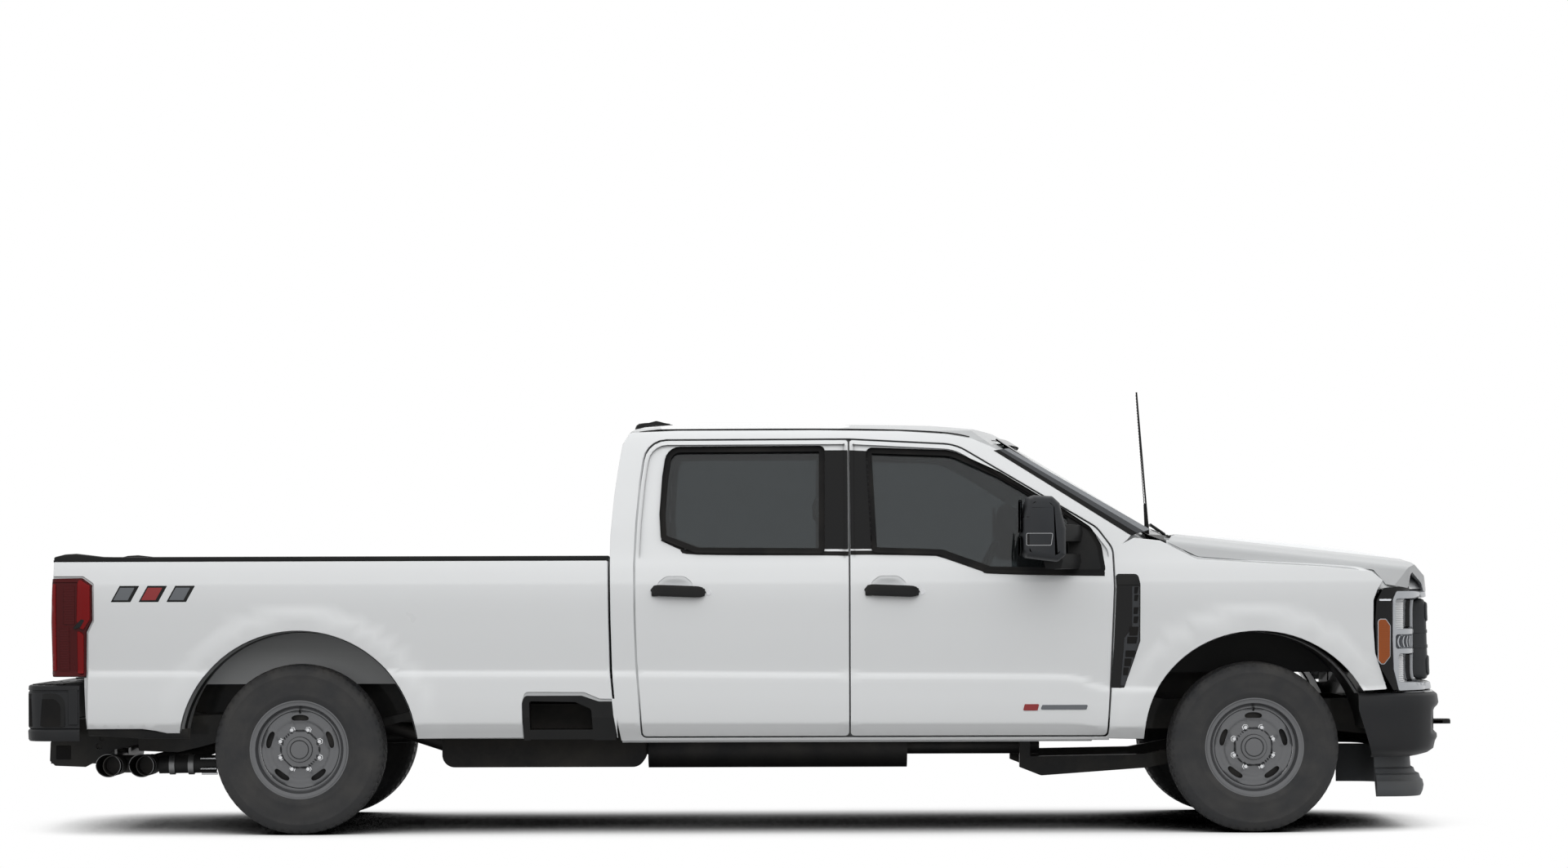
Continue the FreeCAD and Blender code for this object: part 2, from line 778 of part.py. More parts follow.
def door_shell(points, window, x0, x1, hinge_x):
    """Door in three layers with its window cut through and a pocket for each hinge."""
    face = outline("xz", points)
    pane = outline("xz", window)
    skin = side_layer(x0, x1, 0.0, panel_skin).common(grown(face, 0.0, -body_half, 0.0))
    body = side_layer(x0, x1, panel_skin, flange_depth).common(grown(face, -flange_inset, -body_half, 0.0))
    core = side_layer(x0, x1, flange_depth, lower_wall).common(grown(face, -core_inset, -body_half, 0.0))
    core = core.common(box(x0, x1, -body_half, 0, door_core_low_z, door_core_top_z))
    skin = skin.cut(grown(pane, 0.0, -body_half, 0.0))
    body = body.cut(grown(pane, flange_inset, -body_half, 0.0))
    for z in (hinge_low_z, hinge_high_z):
        body = body.cut(door_hinge_pocket(hinge_x, z))
    return merged(skin, body, core)


def door_hinge_pocket(x, z):
    """Pocket behind the door's skin for one hinge."""
    half = hinge_lug / 2 + hinge_ear + hinge_play
    return box(x - hinge_knuckle * 2, x + hinge_setback + shut_gap, -body_half, 0, z - half, z + half)


def door_hinge_ears(x, z):
    """Two ears of the door round the hinge pin."""
    ears = []
    for low in (z - hinge_lug / 2 - hinge_play - hinge_ear, z + hinge_lug / 2 + hinge_play):
        ear = Part.makeCylinder(hinge_knuckle + hinge_play, hinge_ear, V(x, -hinge_half, low))
        arm = box(x - hinge_knuckle * 2 - hinge_play, x, -hinge_half - hinge_knuckle / 2,
                  -hinge_half + hinge_knuckle / 2, low, low + hinge_ear)
        ears.append(ear.fuse(arm))
    bore = Part.makeCylinder(hinge_pin + pin_play, door_height, V(x, -hinge_half, sill_z))
    return [ear.cut(bore) for ear in ears]


def hinge_post(x, z):
    """Pillar lug that carries the hinge pin."""
    lug = box(x - hinge_knuckle, x + hinge_knuckle, -hinge_half, -body_half + aperture_depth + hinge_ear,
              z - hinge_lug / 2, z + hinge_lug / 2)
    knuckle = Part.makeCylinder(hinge_knuckle, hinge_lug, V(x, -hinge_half, z - hinge_lug / 2))
    pin_half = hinge_lug / 2 + hinge_play + hinge_ear
    pin = Part.makeCylinder(hinge_pin, pin_half * 2, V(x, -hinge_half, z - pin_half))
    return [lug, knuckle, pin]


def door(points, window, x0, x1, hinge_x):
    """Right-hand door with hinge ears."""
    ears = door_hinge_ears(hinge_x, hinge_low_z) + door_hinge_ears(hinge_x, hinge_high_z)
    return merged(door_shell(points, window, x0, x1, hinge_x), *ears)


def door_glass(window, x0, x1):
    """Pane that lies against the inside of the door's skin."""
    pane = outline("xz", window)
    layer = side_layer(x0, x1, panel_skin + seat_gap, panel_skin + seat_gap + glass_sheet)
    return layer.common(grown(pane, flange_inset - seat_gap, -body_half, 0.0))


def door_handle(x, z):
    """Pull handle on the door's skin."""
    blank = side_layer(x - handle_length / 2, x + handle_length / 2, -handle_reach, 0.0)
    grip = blank.common(box(x - wheelbase, x + wheelbase, -body_half * 2, 0, z - handle_height / 2,
                            z + handle_height / 2))
    gap = side_layer(x - handle_length / 2 + handle_height, x + handle_length / 2 - handle_height,
                     -handle_reach + handle_sheet, 0.0)
    return grip.cut(gap)


def doors():
    """Four doors, their panes and the mirrors on the front ones."""
    front = door(front_door_points(), front_window_points(), door_middle_x, door_front_x, hinge_front_x)
    rear = door(rear_door_points(), rear_window_points(), door_rear_x, door_middle_x, hinge_rear_x)
    front = merged(front, door_handle(front_handle_x, handle_z))
    rear = merged(rear, door_handle(rear_handle_x, handle_z))
    front_pane = door_glass(front_window_points(), door_middle_x, door_front_x)
    rear_pane = door_glass(rear_window_points(), door_rear_x, door_middle_x)
    mirror = side_mirror()
    for side, turn in (("right", lambda shape: shape), ("left", mirrored)):
        save("door_front_" + side, turn(front))
        save("door_rear_" + side, turn(rear))
        save("glass_front_" + side, turn(front_pane))
        save("glass_rear_" + side, turn(rear_pane))
        save("mirror_" + side, turn(mirror))


def side_mirror():
    """Trailer-tow mirror on two arms."""
    head = prism("xz", scaled(mirror_head_shares, mirror_x, mirror_z, mirror_depth, mirror_height),
                 -mirror_half, -mirror_half + mirror_width)
    arms = []
    for share in mirror_arm_shares:
        z = mirror_z + share * mirror_height
        arms.append(box(mirror_x + mirror_depth * mirror_arm_share, mirror_foot_x + mirror_foot / 2,
                        -mirror_half + mirror_width - seat_gap - mirror_arm, -mirror_half + mirror_width - seat_gap,
                        z, z + mirror_arm))
    inner = -mirror_half + mirror_width
    post = box(mirror_foot_x - mirror_foot / 2, mirror_foot_x + mirror_foot / 2, inner - mirror_arm - seat_gap,
               -mirror_foot_half, mirror_z + mirror_arm_shares[0] * mirror_height,
               mirror_z + mirror_arm_shares[1] * mirror_height + mirror_arm)
    skin = side_layer(door_middle_x, door_front_x, -seat_gap, body_half / 2)
    return merged(head, *arms, post).cut(skin)


def cab_shell():
    """Hollow cab with its screen and rear window openings."""
    shell = cab_block(0.0, 0.0, 0.0, None, sill_z, 0.0)
    room = cab_block(back_wall, screen_wall, lower_wall, upper_wall, cab_floor_z, roof_wall)
    under = box(cab_rear_x - overrun, cab_front_x + overrun, -body_half + lower_wall + sill_wall / 2,
                body_half - lower_wall - sill_wall / 2, 0, rail_top_z + seat_gap)
    shell = shell.cut(room).cut(under)
    shell = shell.cut(prism("yz", screen_opening_points(0.0), screen_opening_x, cab_front_x + overrun))
    return shell.cut(prism("yz", back_window_points(0.0), cab_rear_x - overrun, door_rear_x + overrun))


def screen_opening_points(inset):
    """Front view of the windscreen opening."""
    low = belt_z + screen_sill_rise + inset
    high = rail_z - screen_head_drop - inset
    return [(-screen_low_half + inset, low, screen_corner), (screen_low_half - inset, low, screen_corner),
            (screen_high_half - inset, high, screen_corner), (-screen_high_half + inset, high, screen_corner)]


def back_window_points(inset):
    """Front view of the rear window opening."""
    low = belt_z + back_window_rise + inset
    high = rail_z - back_window_drop - inset
    return [(-back_window_half + inset, low, screen_corner), (back_window_half - inset, low, screen_corner),
            (back_window_half - inset, high, screen_corner), (-back_window_half + inset, high, screen_corner)]


def cab_side(shell):
    """Right side ring with pillars, sill and hinge posts."""
    ring = shell.common(box(cab_rear_x - overrun, cab_front_x + overrun, -body_half, -roof_split, 0, roof_z))
    x0 = cab_rear_x - overrun
    x1 = cab_front_x + overrun
    rebate = side_layer(x0, x1, -arch_lip, aperture_depth)
    for points, gap in ((front_door_points(), 1), (rear_door_points(), 1), (fender_points(), 2)):
        face = outline("xz", points)
        ring = ring.cut(rebate.common(grown(face, shut_gap * gap, -body_half * 2, 0.0)))
    for points in (front_door_points(), rear_door_points()):
        face = outline("xz", points)
        hole = grown(face, -aperture_inset, -body_half * 2, -body_half + lower_wall + sill_wall)
        ring = ring.cut(hole.common(box(x0, x1, -body_half, 0, door_core_low_z - shut_gap, roof_z)))
    posts = []
    for x in (hinge_front_x, hinge_rear_x):
        posts += hinge_post(x, hinge_low_z) + hinge_post(x, hinge_high_z)
    return merged(ring, *posts)


def cab():
    """Side rings, sills, roof, floor with the end walls, and the fixed glass."""
    shell = cab_shell()
    x0 = cab_rear_x - overrun
    x1 = cab_front_x + overrun
    half = roof_split - seat_gap
    ring = cab_side(shell)
    side = ring.common(box(x0, x1, -body_half, 0, cab_floor_z, roof_z))
    save("cab_side_right", side)
    save("cab_side_left", mirrored(side))
    sill = ring.common(box(x0, x1, -body_half, 0, 0, cab_floor_z - seat_gap))
    save("cab_sills", Part.makeCompound([sill, mirrored(sill)]))
    middle = shell.common(box(x0, x1, -half, half, 0, roof_z))
    split_z = rail_z - roof_skirt
    save("roof_panel", middle.common(box(x0, x1, -half, half, split_z, roof_z)))
    save("cab_floor", middle.common(box(x0, x1, -half, half, 0, split_z - seat_gap)))
    pane = cab_block(0.0, glass_depth, 0.0, None, sill_z, 0.0)
    pane = pane.common(screen_cutter(glass_depth + glass_sheet * screen_rake))
    pane = pane.common(prism("yz", screen_opening_points(seat_gap), screen_opening_x, x1))
    back = cab_outline(glass_depth).cut(cab_outline(glass_depth + glass_sheet))
    back = back.common(prism("yz", back_window_points(seat_gap), x0, door_rear_x))
    save("cab_glass", Part.makeCompound([pane, back]))


def seats():
    """Front pair of seats with the middle one, and the rear bench."""
    front = []
    for y in (-seat_pitch, 0.0, seat_pitch):
        half = (seat_width if y else seat_pitch * 2 - seat_width - seat_spacing * 2) / 2
        points = scaled(front_seat_shares, front_seat_x, cab_floor_z + seat_gap, seat_length, seat_height)
        front.append(prism("xz", points, y - half, y + half))
    save("front_seats", Part.makeCompound(front))
    points = scaled(front_seat_shares, rear_seat_x, cab_floor_z + seat_gap, rear_seat_length, rear_seat_height)
    save("rear_bench", prism("xz", points, -rear_seat_half, rear_seat_half))


def dashboard():
    """Dashboard across the cab with the steering column and wheel."""
    points = scaled(dashboard_shares, dashboard_x, dashboard_z, dashboard_length, dashboard_height)
    board = prism("xz", points, -dashboard_half, dashboard_half)
    foot = V(dashboard_x + dashboard_length / 2, steering_y, dashboard_z + dashboard_height / 2)
    axis = V(-math.cos(math.radians(column_angle)), 0, math.sin(math.radians(column_angle)))
    head = foot + axis * column_length
    column = rod(foot, head, column_radius)
    across = axis.cross(V(0, 1, 0))
    section = []
    for index in range(grip_faces):
        angle = math.radians(360 * (index + 0.5) / grip_faces)
        section.append(head + across * (steering_radius + steering_grip * math.cos(angle))
                       + axis * (steering_grip * math.sin(angle)))
    ring = Part.Face(Part.makePolygon(section + [section[0]])).revolve(head, axis, 360)
    spokes = []
    for way in (V(0, 1, 0), V(0, -1, 0), across):
        spokes.append(rod(head, head + way * steering_radius, steering_grip * spoke_share))
    save("dashboard", merged(board, column, ring, *spokes))


def plan_block(shares, back_x, depth, half, inset, low, high):
    """Block whose front follows a plan curve, moved in by an inset."""
    right = [(back_x + a * depth - inset, -b * (half - inset), nose_corner) for a, b in shares[:-1]]
    front = [(back_x + shares[-1][0] * depth - inset, 0.0)]
    left = [(x, -y, r) for x, y, r in reversed(right)]
    rear = [(door_front_x - overrun, half - inset), (door_front_x - overrun, -half + inset)]
    return prism("xy", right + front + left + rear, low, high)


def hood_block(sheet):
    """Hood as a block under its top surface, moved down and in by a sheet."""
    x0 = hood_side_x - hood_sheet
    right = [(-y * body_half + sheet * (y > 0), hood_low_z + z * hood_height - sheet, r * hood_height)
             for y, z, r in hood_section_shares]
    left = [(-y, z, r) for y, z, r in reversed(right[1:])]
    face = outline("yz", right + left, x0)
    length = hood_length + hood_sheet * 2
    section = face.extrude(V(length, 0, -hood_fall * length))
    top = [(x - sheet, z - sheet, r) for x, z, r in hood_points()[:6]]
    low = [(top[-1][0], hood_low_z - hood_height), (top[0][0], hood_low_z - hood_height)]
    return section.common(prism("xz", top + low, -body_half, body_half))


def hood_points():
    return scaled(hood_side_shares, hood_side_x, hood_low_z, hood_length, hood_height)


def rear_bow(gap):
    """Everything behind the hood's bowed rear edge, short of it by a gap."""
    x = hood_side_x - gap
    arc = Part.Arc(V(x, -body_half, 0), V(x + hood_rear_bow, 0, 0), V(x, body_half, 0)).toShape()
    back = Part.makePolygon([V(x, body_half, 0), V(x - overrun, body_half, 0),
                             V(x - overrun, -body_half, 0), V(x, -body_half, 0)])
    return Part.Face(Part.Wire([arc] + back.Edges)).extrude(V(0, 0, roof_z))


def hood():
    """Hood shell with its two hinge ears."""
    shell = hood_block(0.0).cut(hood_block(hood_sheet)).cut(rear_bow(0.0))
    shell = shell.common(prism("xz", hood_points(), -body_half, body_half))
    shell = shell.common(plan_block(nose_plan_shares, nose_back_x, nose_depth, body_half, 0.0, 0, roof_z))
    ears = []
    for y in (-hood_ear_half, hood_ear_half):
        x0 = hood_pivot_x - hood_ear_rear
        ear = box(x0, x0 + hood_ear_length * 2, y - hood_ear / 2, y + hood_ear / 2, hood_pivot_z - hood_ear,
                  hood_pivot_z + hood_ear_height)
        ear = ear.common(hood_block(hood_sheet / 2))
        bore = rod(V(hood_pivot_x, y - hood_ear, hood_pivot_z), V(hood_pivot_x, y + hood_ear, hood_pivot_z),
                   hood_pin + pin_play)
        ears.append(ear.cut(bore))
    save("hood", merged(shell, *ears))


def cowl():
    """Cowl between the screen and the hood, with the hood's hinge pins."""
    top = belt_z + cowl_rise
    panel = box(firewall_x, nose_back_x, -cowl_half, cowl_half, top - cowl_drop, top)
    panel = panel.common(rear_bow(shut_gap * 2))
    panel = panel.cut(cab_block(-seat_gap, -seat_gap, -seat_gap, None, sill_z, 0.0))
    posts = []
    for side in (-1, 1):
        y = side * (hood_ear_half - hood_ear / 2 - hinge_play)
        inner = y - side * hood_ear
        post = box(hood_pivot_x - hood_pin, hood_pivot_x + hood_pin, min(y, inner), max(y, inner),
                   top - cowl_drop, hood_pivot_z + hood_pin)
        pin = rod(V(hood_pivot_x, inner, hood_pivot_z),
                  V(hood_pivot_x, side * (hood_ear_half + hood_ear / 2), hood_pivot_z), hood_pin)
        posts += [post, pin]
    save("cowl_panel", merged(panel, *posts))


def fenders():
    """Front wings with their ledge, rear flange, arch lip and the vents on them."""
    points = fender_points()
    face = outline("xz", points)
    x0 = door_front_x
    x1 = nose_back_x + nose_depth
    blank = grown(face, 0.0, -body_half * 2, 0.0)
    skin = side_layer(x0, x1, 0.0, panel_skin).common(blank)
    below = blank.translated(V(0, 0, -panel_skin))
    ledge = side_layer(x0, x1, panel_skin, fender_ledge).common(blank.cut(below))
    ledge = ledge.common(box(x0, nose_back_x - support_setback, -body_half, 0, shoulder_z, roof_z))
    ledge = ledge.cut(side_layer(x0, cab_front_x, aperture_depth - seat_gap, fender_ledge * 2))
    sweep = rod(V(hood_pivot_x, -body_half, hood_pivot_z), V(hood_pivot_x, 0, hood_pivot_z), hood_sweep)
    ledge = ledge.cut(sweep)
    ahead = blank.translated(V(fender_flange_inset, 0, 0))
    flange = blank.translated(V(fender_flange_inset - panel_skin, 0, 0)).cut(ahead)
    flange = side_layer(x0, x1, panel_skin, aperture_depth - seat_gap).common(flange)
    flange = flange.common(box(x0, x0 + fender_flange_inset * 3, -body_half, 0, door_low_z, shoulder_z))
    arch = rod(V(front_axle_x, -body_half * 2, wheel_z), V(front_axle_x, 0, wheel_z), front_arch)
    lip = rod(V(front_axle_x, -body_half - arch_lip, wheel_z), V(front_axle_x, -body_half + flange_depth, wheel_z),
              front_arch + arch_lip_width)
    lip = lip.common(blank).common(side_layer(x0, x1, -arch_lip / 2, panel_skin))
    solid = merged(skin, ledge, flange, lip).cut(arch)
    vent = side_layer(x0, x1, -vent_sheet, -seat_gap)
    vent = vent.common(prism("xz", scaled(vent_shares, vent_x, vent_z, vent_width, vent_height),
                             -body_half * 2, 0))
    save("fenders", pair(solid))
    save("fender_vents", pair(vent))


def barrel(x, radius, outer_half, inner_half, floor_z):
    """Half-round wheel tub over an axle."""
    outer = rod(V(x, -outer_half, wheel_z), V(x, -inner_half, wheel_z), radius)
    inner = rod(V(x, -outer_half, wheel_z), V(x, -inner_half, wheel_z), radius - liner_sheet)
    ring = outer.cut(inner)
    return ring.common(box(x - radius, x + radius, -outer_half, -inner_half, floor_z, roof_z))


def wheel_liners():
    """Front wheel tubs with the bay's side walls."""
    tub = barrel(front_axle_x, front_arch - seat_gap, body_half - panel_skin * 2, liner_half, arch_floor_z)
    tub = tub.common(side_block(door_front_x - overrun, nose_back_x, panel_skin + seat_gap, liner_half, roof_z))
    wall = box(firewall_x + seat_gap, support_x - seat_gap, -liner_half - liner_sheet, -liner_half,
               wheel_z + tyre_radius * apron_low_share, shoulder_z)
    tub = merged(tub, wall)
    shelf = box(firewall_x + seat_gap, support_x - seat_gap, -body_half + fender_ledge * 2, -liner_half,
                shoulder_z - liner_sheet, shoulder_z)
    save("wheel_liners", pair(merged(tub, shelf)))


def nose_block(inset, low, high):
    return plan_block(nose_plan_shares, nose_back_x, nose_depth, body_half, inset, low, high)


def radiator_support():
    """Frame behind the grille with the radiator in it and the upper tie bar."""
    frame = box(support_x, support_x + support_sheet, -support_half, support_half, support_low_z, support_high_z)
    hole = box(support_x - overrun, support_x + overrun, -nose_half + support_rim * 2, nose_half - support_rim * 2,
               support_low_z + support_rim, support_high_z - support_rim)
    frame = frame.cut(hole)
    core = box(support_x + liner_sheet, support_x + support_sheet - liner_sheet, -nose_half + support_rim * 2,
               nose_half - support_rim * 2, support_low_z + support_rim, support_high_z - support_rim)
    tie = nose_block(grille_depth + seat_gap, grille_high_z - grille_rim, grille_high_z)
    tie = tie.common(box(support_x, nose_back_x + nose_depth, -nose_half / 2, nose_half / 2, 0, roof_z))
    save("radiator_support", merged(frame, core, tie))


def grille():
    """Grille surround with its bars, the bare bridge between them and upright slats."""
    half = nose_half - shut_gap / 2
    band = nose_block(0.0, grille_low_z, grille_high_z).cut(nose_block(grille_depth, 0, roof_z))
    band = band.common(box(nose_back_x, nose_back_x + nose_depth, -half, half, 0, roof_z))
    pitch = (grille_high_z - grille_low_z - grille_rim) / grille_rows
    thin = nose_block(grille_bar / 2, grille_low_z, grille_high_z).cut(nose_block(grille_depth - grille_slat, 0, roof_z))
    slats = []
    for side in (-1, 1):
        inner = grille_bridge
        outer = half - grille_rim
        low_y = min(side * inner, side * outer)
        for row in range(grille_rows):
            z0 = grille_low_z + grille_rim + row * pitch
            z1 = z0 + pitch - grille_rim
            band = band.cut(box(nose_back_x, nose_back_x + nose_depth, low_y, low_y + outer - inner, z0, z1))
        for slat in range(1, grille_slats):
            y = side * (inner + (outer - inner) * slat / grille_slats)
            slats.append(thin.common(box(nose_back_x, nose_back_x + nose_depth, y - grille_slat / 2,
                                         y + grille_slat / 2, grille_low_z + grille_rim / 2,
                                         grille_high_z - grille_rim / 2)))
    save("grille", merged(band, *slats))


def headlamps():
    """Wrap-round lamp housings at the corners of the nose."""
    points = scaled(headlamp_shares, headlamp_x, headlamp_z, lamp_length, lamp_height)
    lamp = prism("xz", points, -body_half, -nose_half - shut_gap / 2)
    lamp = lamp.common(nose_block(0.0, 0, roof_z))
    lamp = lamp.common(side_block(headlamp_x - overrun, headlamp_x + overrun, 0.0, nose_half, roof_z))
    back = support_x + support_sheet + seat_gap
    save("headlamps", pair(lamp.common(box(back, back + overrun, -body_half, 0, 0, roof_z))))


def bumper_block(inset, shift):
    """Front bumper as a block, moved in by an inset and back by a shift."""
    points = scaled(front_bumper_shares, bumper_x, bumper_low_z, bumper_length, bumper_height)
    side = grown(outline("xz", points), -inset, -body_half, body_half)
    plan = plan_block(bumper_plan_shares, bumper_x, bumper_length, body_half, inset, 0, roof_z)
    return side.common(plan).translate(V(-shift, 0, 0))


def front_bumper():
    """Bumper shell, open at the back, with its frame brackets."""
    hollow = bumper_block(bumper_sheet, 0.0)
    shell = bumper_block(0.0, 0.0).cut(hollow)
    for shift in (bumper_bracket, bumper_bracket * 2):
        shell = shell.cut(bumper_block(bumper_sheet, shift))
    slot = box(bumper_x, bumper_x + bumper_length * 2, -hook_half - hook_width * hook_slot_share,
               -hook_half + hook_width * hook_slot_share, hook_z - hook_slot_half, hook_z + hook_slot_half)
    shell = shell.cut(slot).cut(mirrored(slot))
    shell = shell.cut(box(bumper_x - overrun, support_x + support_sheet + shut_gap, -support_half - shut_gap,
                          support_half + shut_gap, support_low_z - shut_gap, roof_z))
    shell = shell.cut(rod(V(front_axle_x, -body_half, wheel_z), V(front_axle_x, body_half, wheel_z),
                          front_arch + shut_gap / 2))
    arms = []
    for side in (-1, 1):
        low = side * (rail_mid - rail_width / 2 + rail_sheet)
        high = side * (rail_mid + rail_width / 2 - rail_sheet)
        arm = box(rail_front_x + seat_gap, bumper_x + bumper_length, min(low, high), max(low, high),
                  bumper_low_z + bumper_bracket * 2, bumper_low_z + bumper_bracket * 3)
        arms.append(arm.common(bumper_block(bumper_sheet / 2, 0.0)))
    save("front_bumper", merged(shell, *arms))


def tow_hooks():
    """Flat loops under the nose, carried by the rail ends."""
    tip = front_axle_x + front_overhang
    outer = outline("xy", [(tip - hook_length, -hook_half - hook_width / 2, 0),
                           (tip, -hook_half - hook_width / 2, hook_width / 2),
                           (tip, -hook_half + hook_width / 2, hook_width / 2),
                           (tip - hook_length, -hook_half + hook_width / 2, 0)], hook_z - hook_stock / 2)
    loop = outer.extrude(V(0, 0, hook_stock))
    x = tip - hook_width / 2
    loop = loop.cut(rod(V(x, -hook_half, 0), V(x, -hook_half, roof_z), hook_hole))
    foot = box(rail_front_x - hook_width / 2, tip - hook_length + hook_stock, -hook_half - hook_width / 2,
               -rail_mid - rail_width / 2 - seat_gap, hook_z - hook_stock / 2, hook_z + hook_stock / 2)
    save("tow_hooks", pair(merged(loop, foot)))


def air_dam():
    """Thin apron under the front bumper."""
    x = front_axle_x + dam_back_reach
    depth = bumper_x + bumper_length * dam_front_share - x
    top = bumper_low_z - seat_gap
    outer = plan_block(dam_plan_shares, x, depth, dam_half, 0.0, top - dam_height, top)
    inner = plan_block(dam_plan_shares, x, depth, dam_half, dam_sheet, 0, roof_z)
    save("air_dam", outer.cut(inner).common(box(x, x + overrun, -dam_half, dam_half, 0, roof_z)))


def antennas():
    """Radio mast on the right wing and the low aerial on the roof."""
    x = front_axle_x - mast_reach
    foot = V(x, -mast_half, belt_z + cowl_rise + seat_gap)
    mast = rod(foot, foot + V(-mast_height * mast_lean_share, 0, mast_height), mast_radius)
    base = Part.makeCone(mast_base, mast_base / 2, mast_base_height, foot)
    puck_x = cab_rear_x + puck_reach
    puck = prism("xz", [(puck_x - puck_length / 2, roof_z - puck_height), (puck_x - puck_length / 2, roof_z, 0.0),
                        (puck_x, roof_z + puck_height, puck_height), (puck_x + puck_length / 2, roof_z, 0.0),
                        (puck_x + puck_length / 2, roof_z - puck_height)], -puck_width / 2, puck_width / 2)
    puck = puck.cut(cab_block(-seat_gap, 0.0, 0.0, None, sill_z, -seat_gap))
    save("antennas", Part.makeCompound([merged(mast, base), puck]))


def bedside_block():
    points = scaled(bedside_shares, -bed_rear_reach, bedside_z, bed_front_x + bed_rear_reach,
                    bed_rail_z - bedside_z)
    return grown(outline("xz", points), 0.0, -body_half * 2, 0.0)


def bedsides():
    """Bed sides with outer skin, inner wall, wheel tub and the rear post."""
    x0 = -bed_rear_reach
    x1 = bed_front_x + cab_gap
    top = bed_rail_z - cap_sheet
    blank = bedside_block()
    solid = side_block(x0, x1, 0.0, bed_inner_half - panel_skin, top).common(blank)
    room = side_block(x0 + panel_skin, bed_front_x - panel_skin, panel_skin, bed_inner_half, top - panel_skin)
    under = side_block(x0 - overrun, x1 + overrun, panel_skin, 0.0, bed_floor_z)
    solid = solid.cut(room).cut(under)
    post = side_block(x0, x0 + post_depth, 0.0, lamp_half, top).common(blank)
    post = post.cut(box(x0 - overrun, x1, -body_half, 0, 0, taillamp_low_z))
    tub = barrel(0.0, rear_arch + panel_skin, body_half, wheelhouse_half, arch_floor_z)
    cap = rod(V(0, -wheelhouse_half - panel_skin, wheel_z), V(0, -wheelhouse_half, wheel_z), rear_arch)
    cap = cap.common(box(-rear_arch, rear_arch, -body_half, 0, rail_top_z + rail_kick, roof_z))
    tub = tub.common(side_block(-rear_arch * 2, rear_arch * 2, 0.0, wheelhouse_half, roof_z))
    wheel_room = rod(V(0, -body_half * 2, wheel_z), V(0, -wheelhouse_half - panel_skin, wheel_z), rear_arch)
    lip = rod(V(0, -body_half - arch_lip, wheel_z), V(0, -body_half + flange_depth, wheel_z),
              rear_arch + arch_lip_width)
    lip = lip.common(blank).common(side_layer(x0, x1, -arch_lip / 2, panel_skin))
    solid = merged(solid, post, lip, tub).cut(wheel_room)
    solid = merged(solid, cap)
    pin_z = tailgate_low_z + tailgate_pivot_rise
    pin_x = x0 + tailgate_pivot_inset
    pin = rod(V(pin_x, -lamp_half - panel_skin, pin_z), V(pin_x, -lamp_half + tailgate_pin * 3, pin_z), tailgate_pin)
    step = grown(outline("xz", step_points(step_shares)), seat_gap, -body_half * 2, 0)
    lamp = side_layer(x0 - overrun, x1, -arch_lip, taillamp_depth + seat_gap)
    lamp = lamp.common(grown(outline("xz", taillamp_points()), seat_gap, -body_half * 2, 0))
    save("bedsides", pair(merged(solid.cut(step).cut(lamp), pin)))


def step_points(shares):
    return scaled(shares, step_reach, bedside_z, step_length, step_height)


def taillamp_points():
    return scaled(taillamp_shares, -bed_rear_reach - lamp_rear_proud, taillamp_low_z, taillamp_length,
                  taillamp_height)


def bed_trim():
    """Rail caps and side steps."""
    x0 = -bed_rear_reach
    top = bed_rail_z - cap_sheet + seat_gap
    cap = side_block(x0, bed_front_x, -cap_proud, bed_inner_half - panel_skin, bed_rail_z)
    cap = cap.common(box(x0, bed_front_x, -body_half, 0, top, bed_rail_z))
    lip = side_layer(x0, bed_front_x, -cap_proud, -seat_gap)
    lip = lip.common(box(x0, bed_front_x, -body_half, 0, top - cap_lip, bed_rail_z))
    save("bed_rail_caps", pair(merged(cap, lip)))
    x0 = step_reach
    x1 = step_reach + step_length * 2
    shell = side_layer(x0, x1, 0.0, step_depth)
    frame = shell.common(prism("xz", step_points(step_shares), -body_half, 0))
    frame = frame.cut(prism("xz", step_points(step_opening_shares), -body_half, 0))
    tread = side_layer(x0 - overrun, x1, 0.0, step_depth + step_rim).common(
        prism("xz", scaled(step_tread_shares, step_reach, bedside_z, step_length, step_height), -body_half, 0))
    save("bed_steps", pair(merged(frame, tread)))


def bed_floor():
    """Ribbed floor on its cross members."""
    x0 = -bed_rear_reach + tailgate_thickness + bed_floor_gap
    x1 = bed_front_x - headboard_sheet - seat_gap
    half = bed_inner_half - panel_skin - seat_gap
    top = bed_floor_z - bed_rib
    floor = box(x0, x1, -half, half, top - bed_floor_sheet, top)
    ribs = []
    for index in range(bed_rib_count):
        y = (index - (bed_rib_count - 1) / 2) * bed_rib_pitch
        ribs.append(box(x0, x1, y - bed_rib_width / 2, y + bed_rib_width / 2, top - bed_floor_sheet, bed_floor_z))
    members = []
    low = rail_top_z + rail_kick + seat_gap
    for index in range(bed_member_count):
        x = x0 + bed_member_inset + (x1 - x0 - bed_member_inset * 2) * index / (bed_member_count - 1)
        members.append(box(x - bed_member_width / 2, x + bed_member_width / 2, -wheelhouse_half + bed_member_drop,
                           wheelhouse_half - bed_member_drop, low, top - bed_floor_sheet))
    floor = merged(floor, *ribs, *members)
    for side in (-1, 1):
        low_y = side * (wheelhouse_half - seat_gap)
        high_y = side * body_half
        tub = rod(V(0, low_y, wheel_z), V(0, high_y, wheel_z), rear_arch + panel_skin + seat_gap)
        floor = floor.cut(tub)
    save("bed_floor", floor)
    wall = box(x1 + seat_gap, bed_front_x, -half, half, bed_floor_z - bed_rib * 2, bed_rail_z - cap_sheet)
    save("bed_headboard", wall)


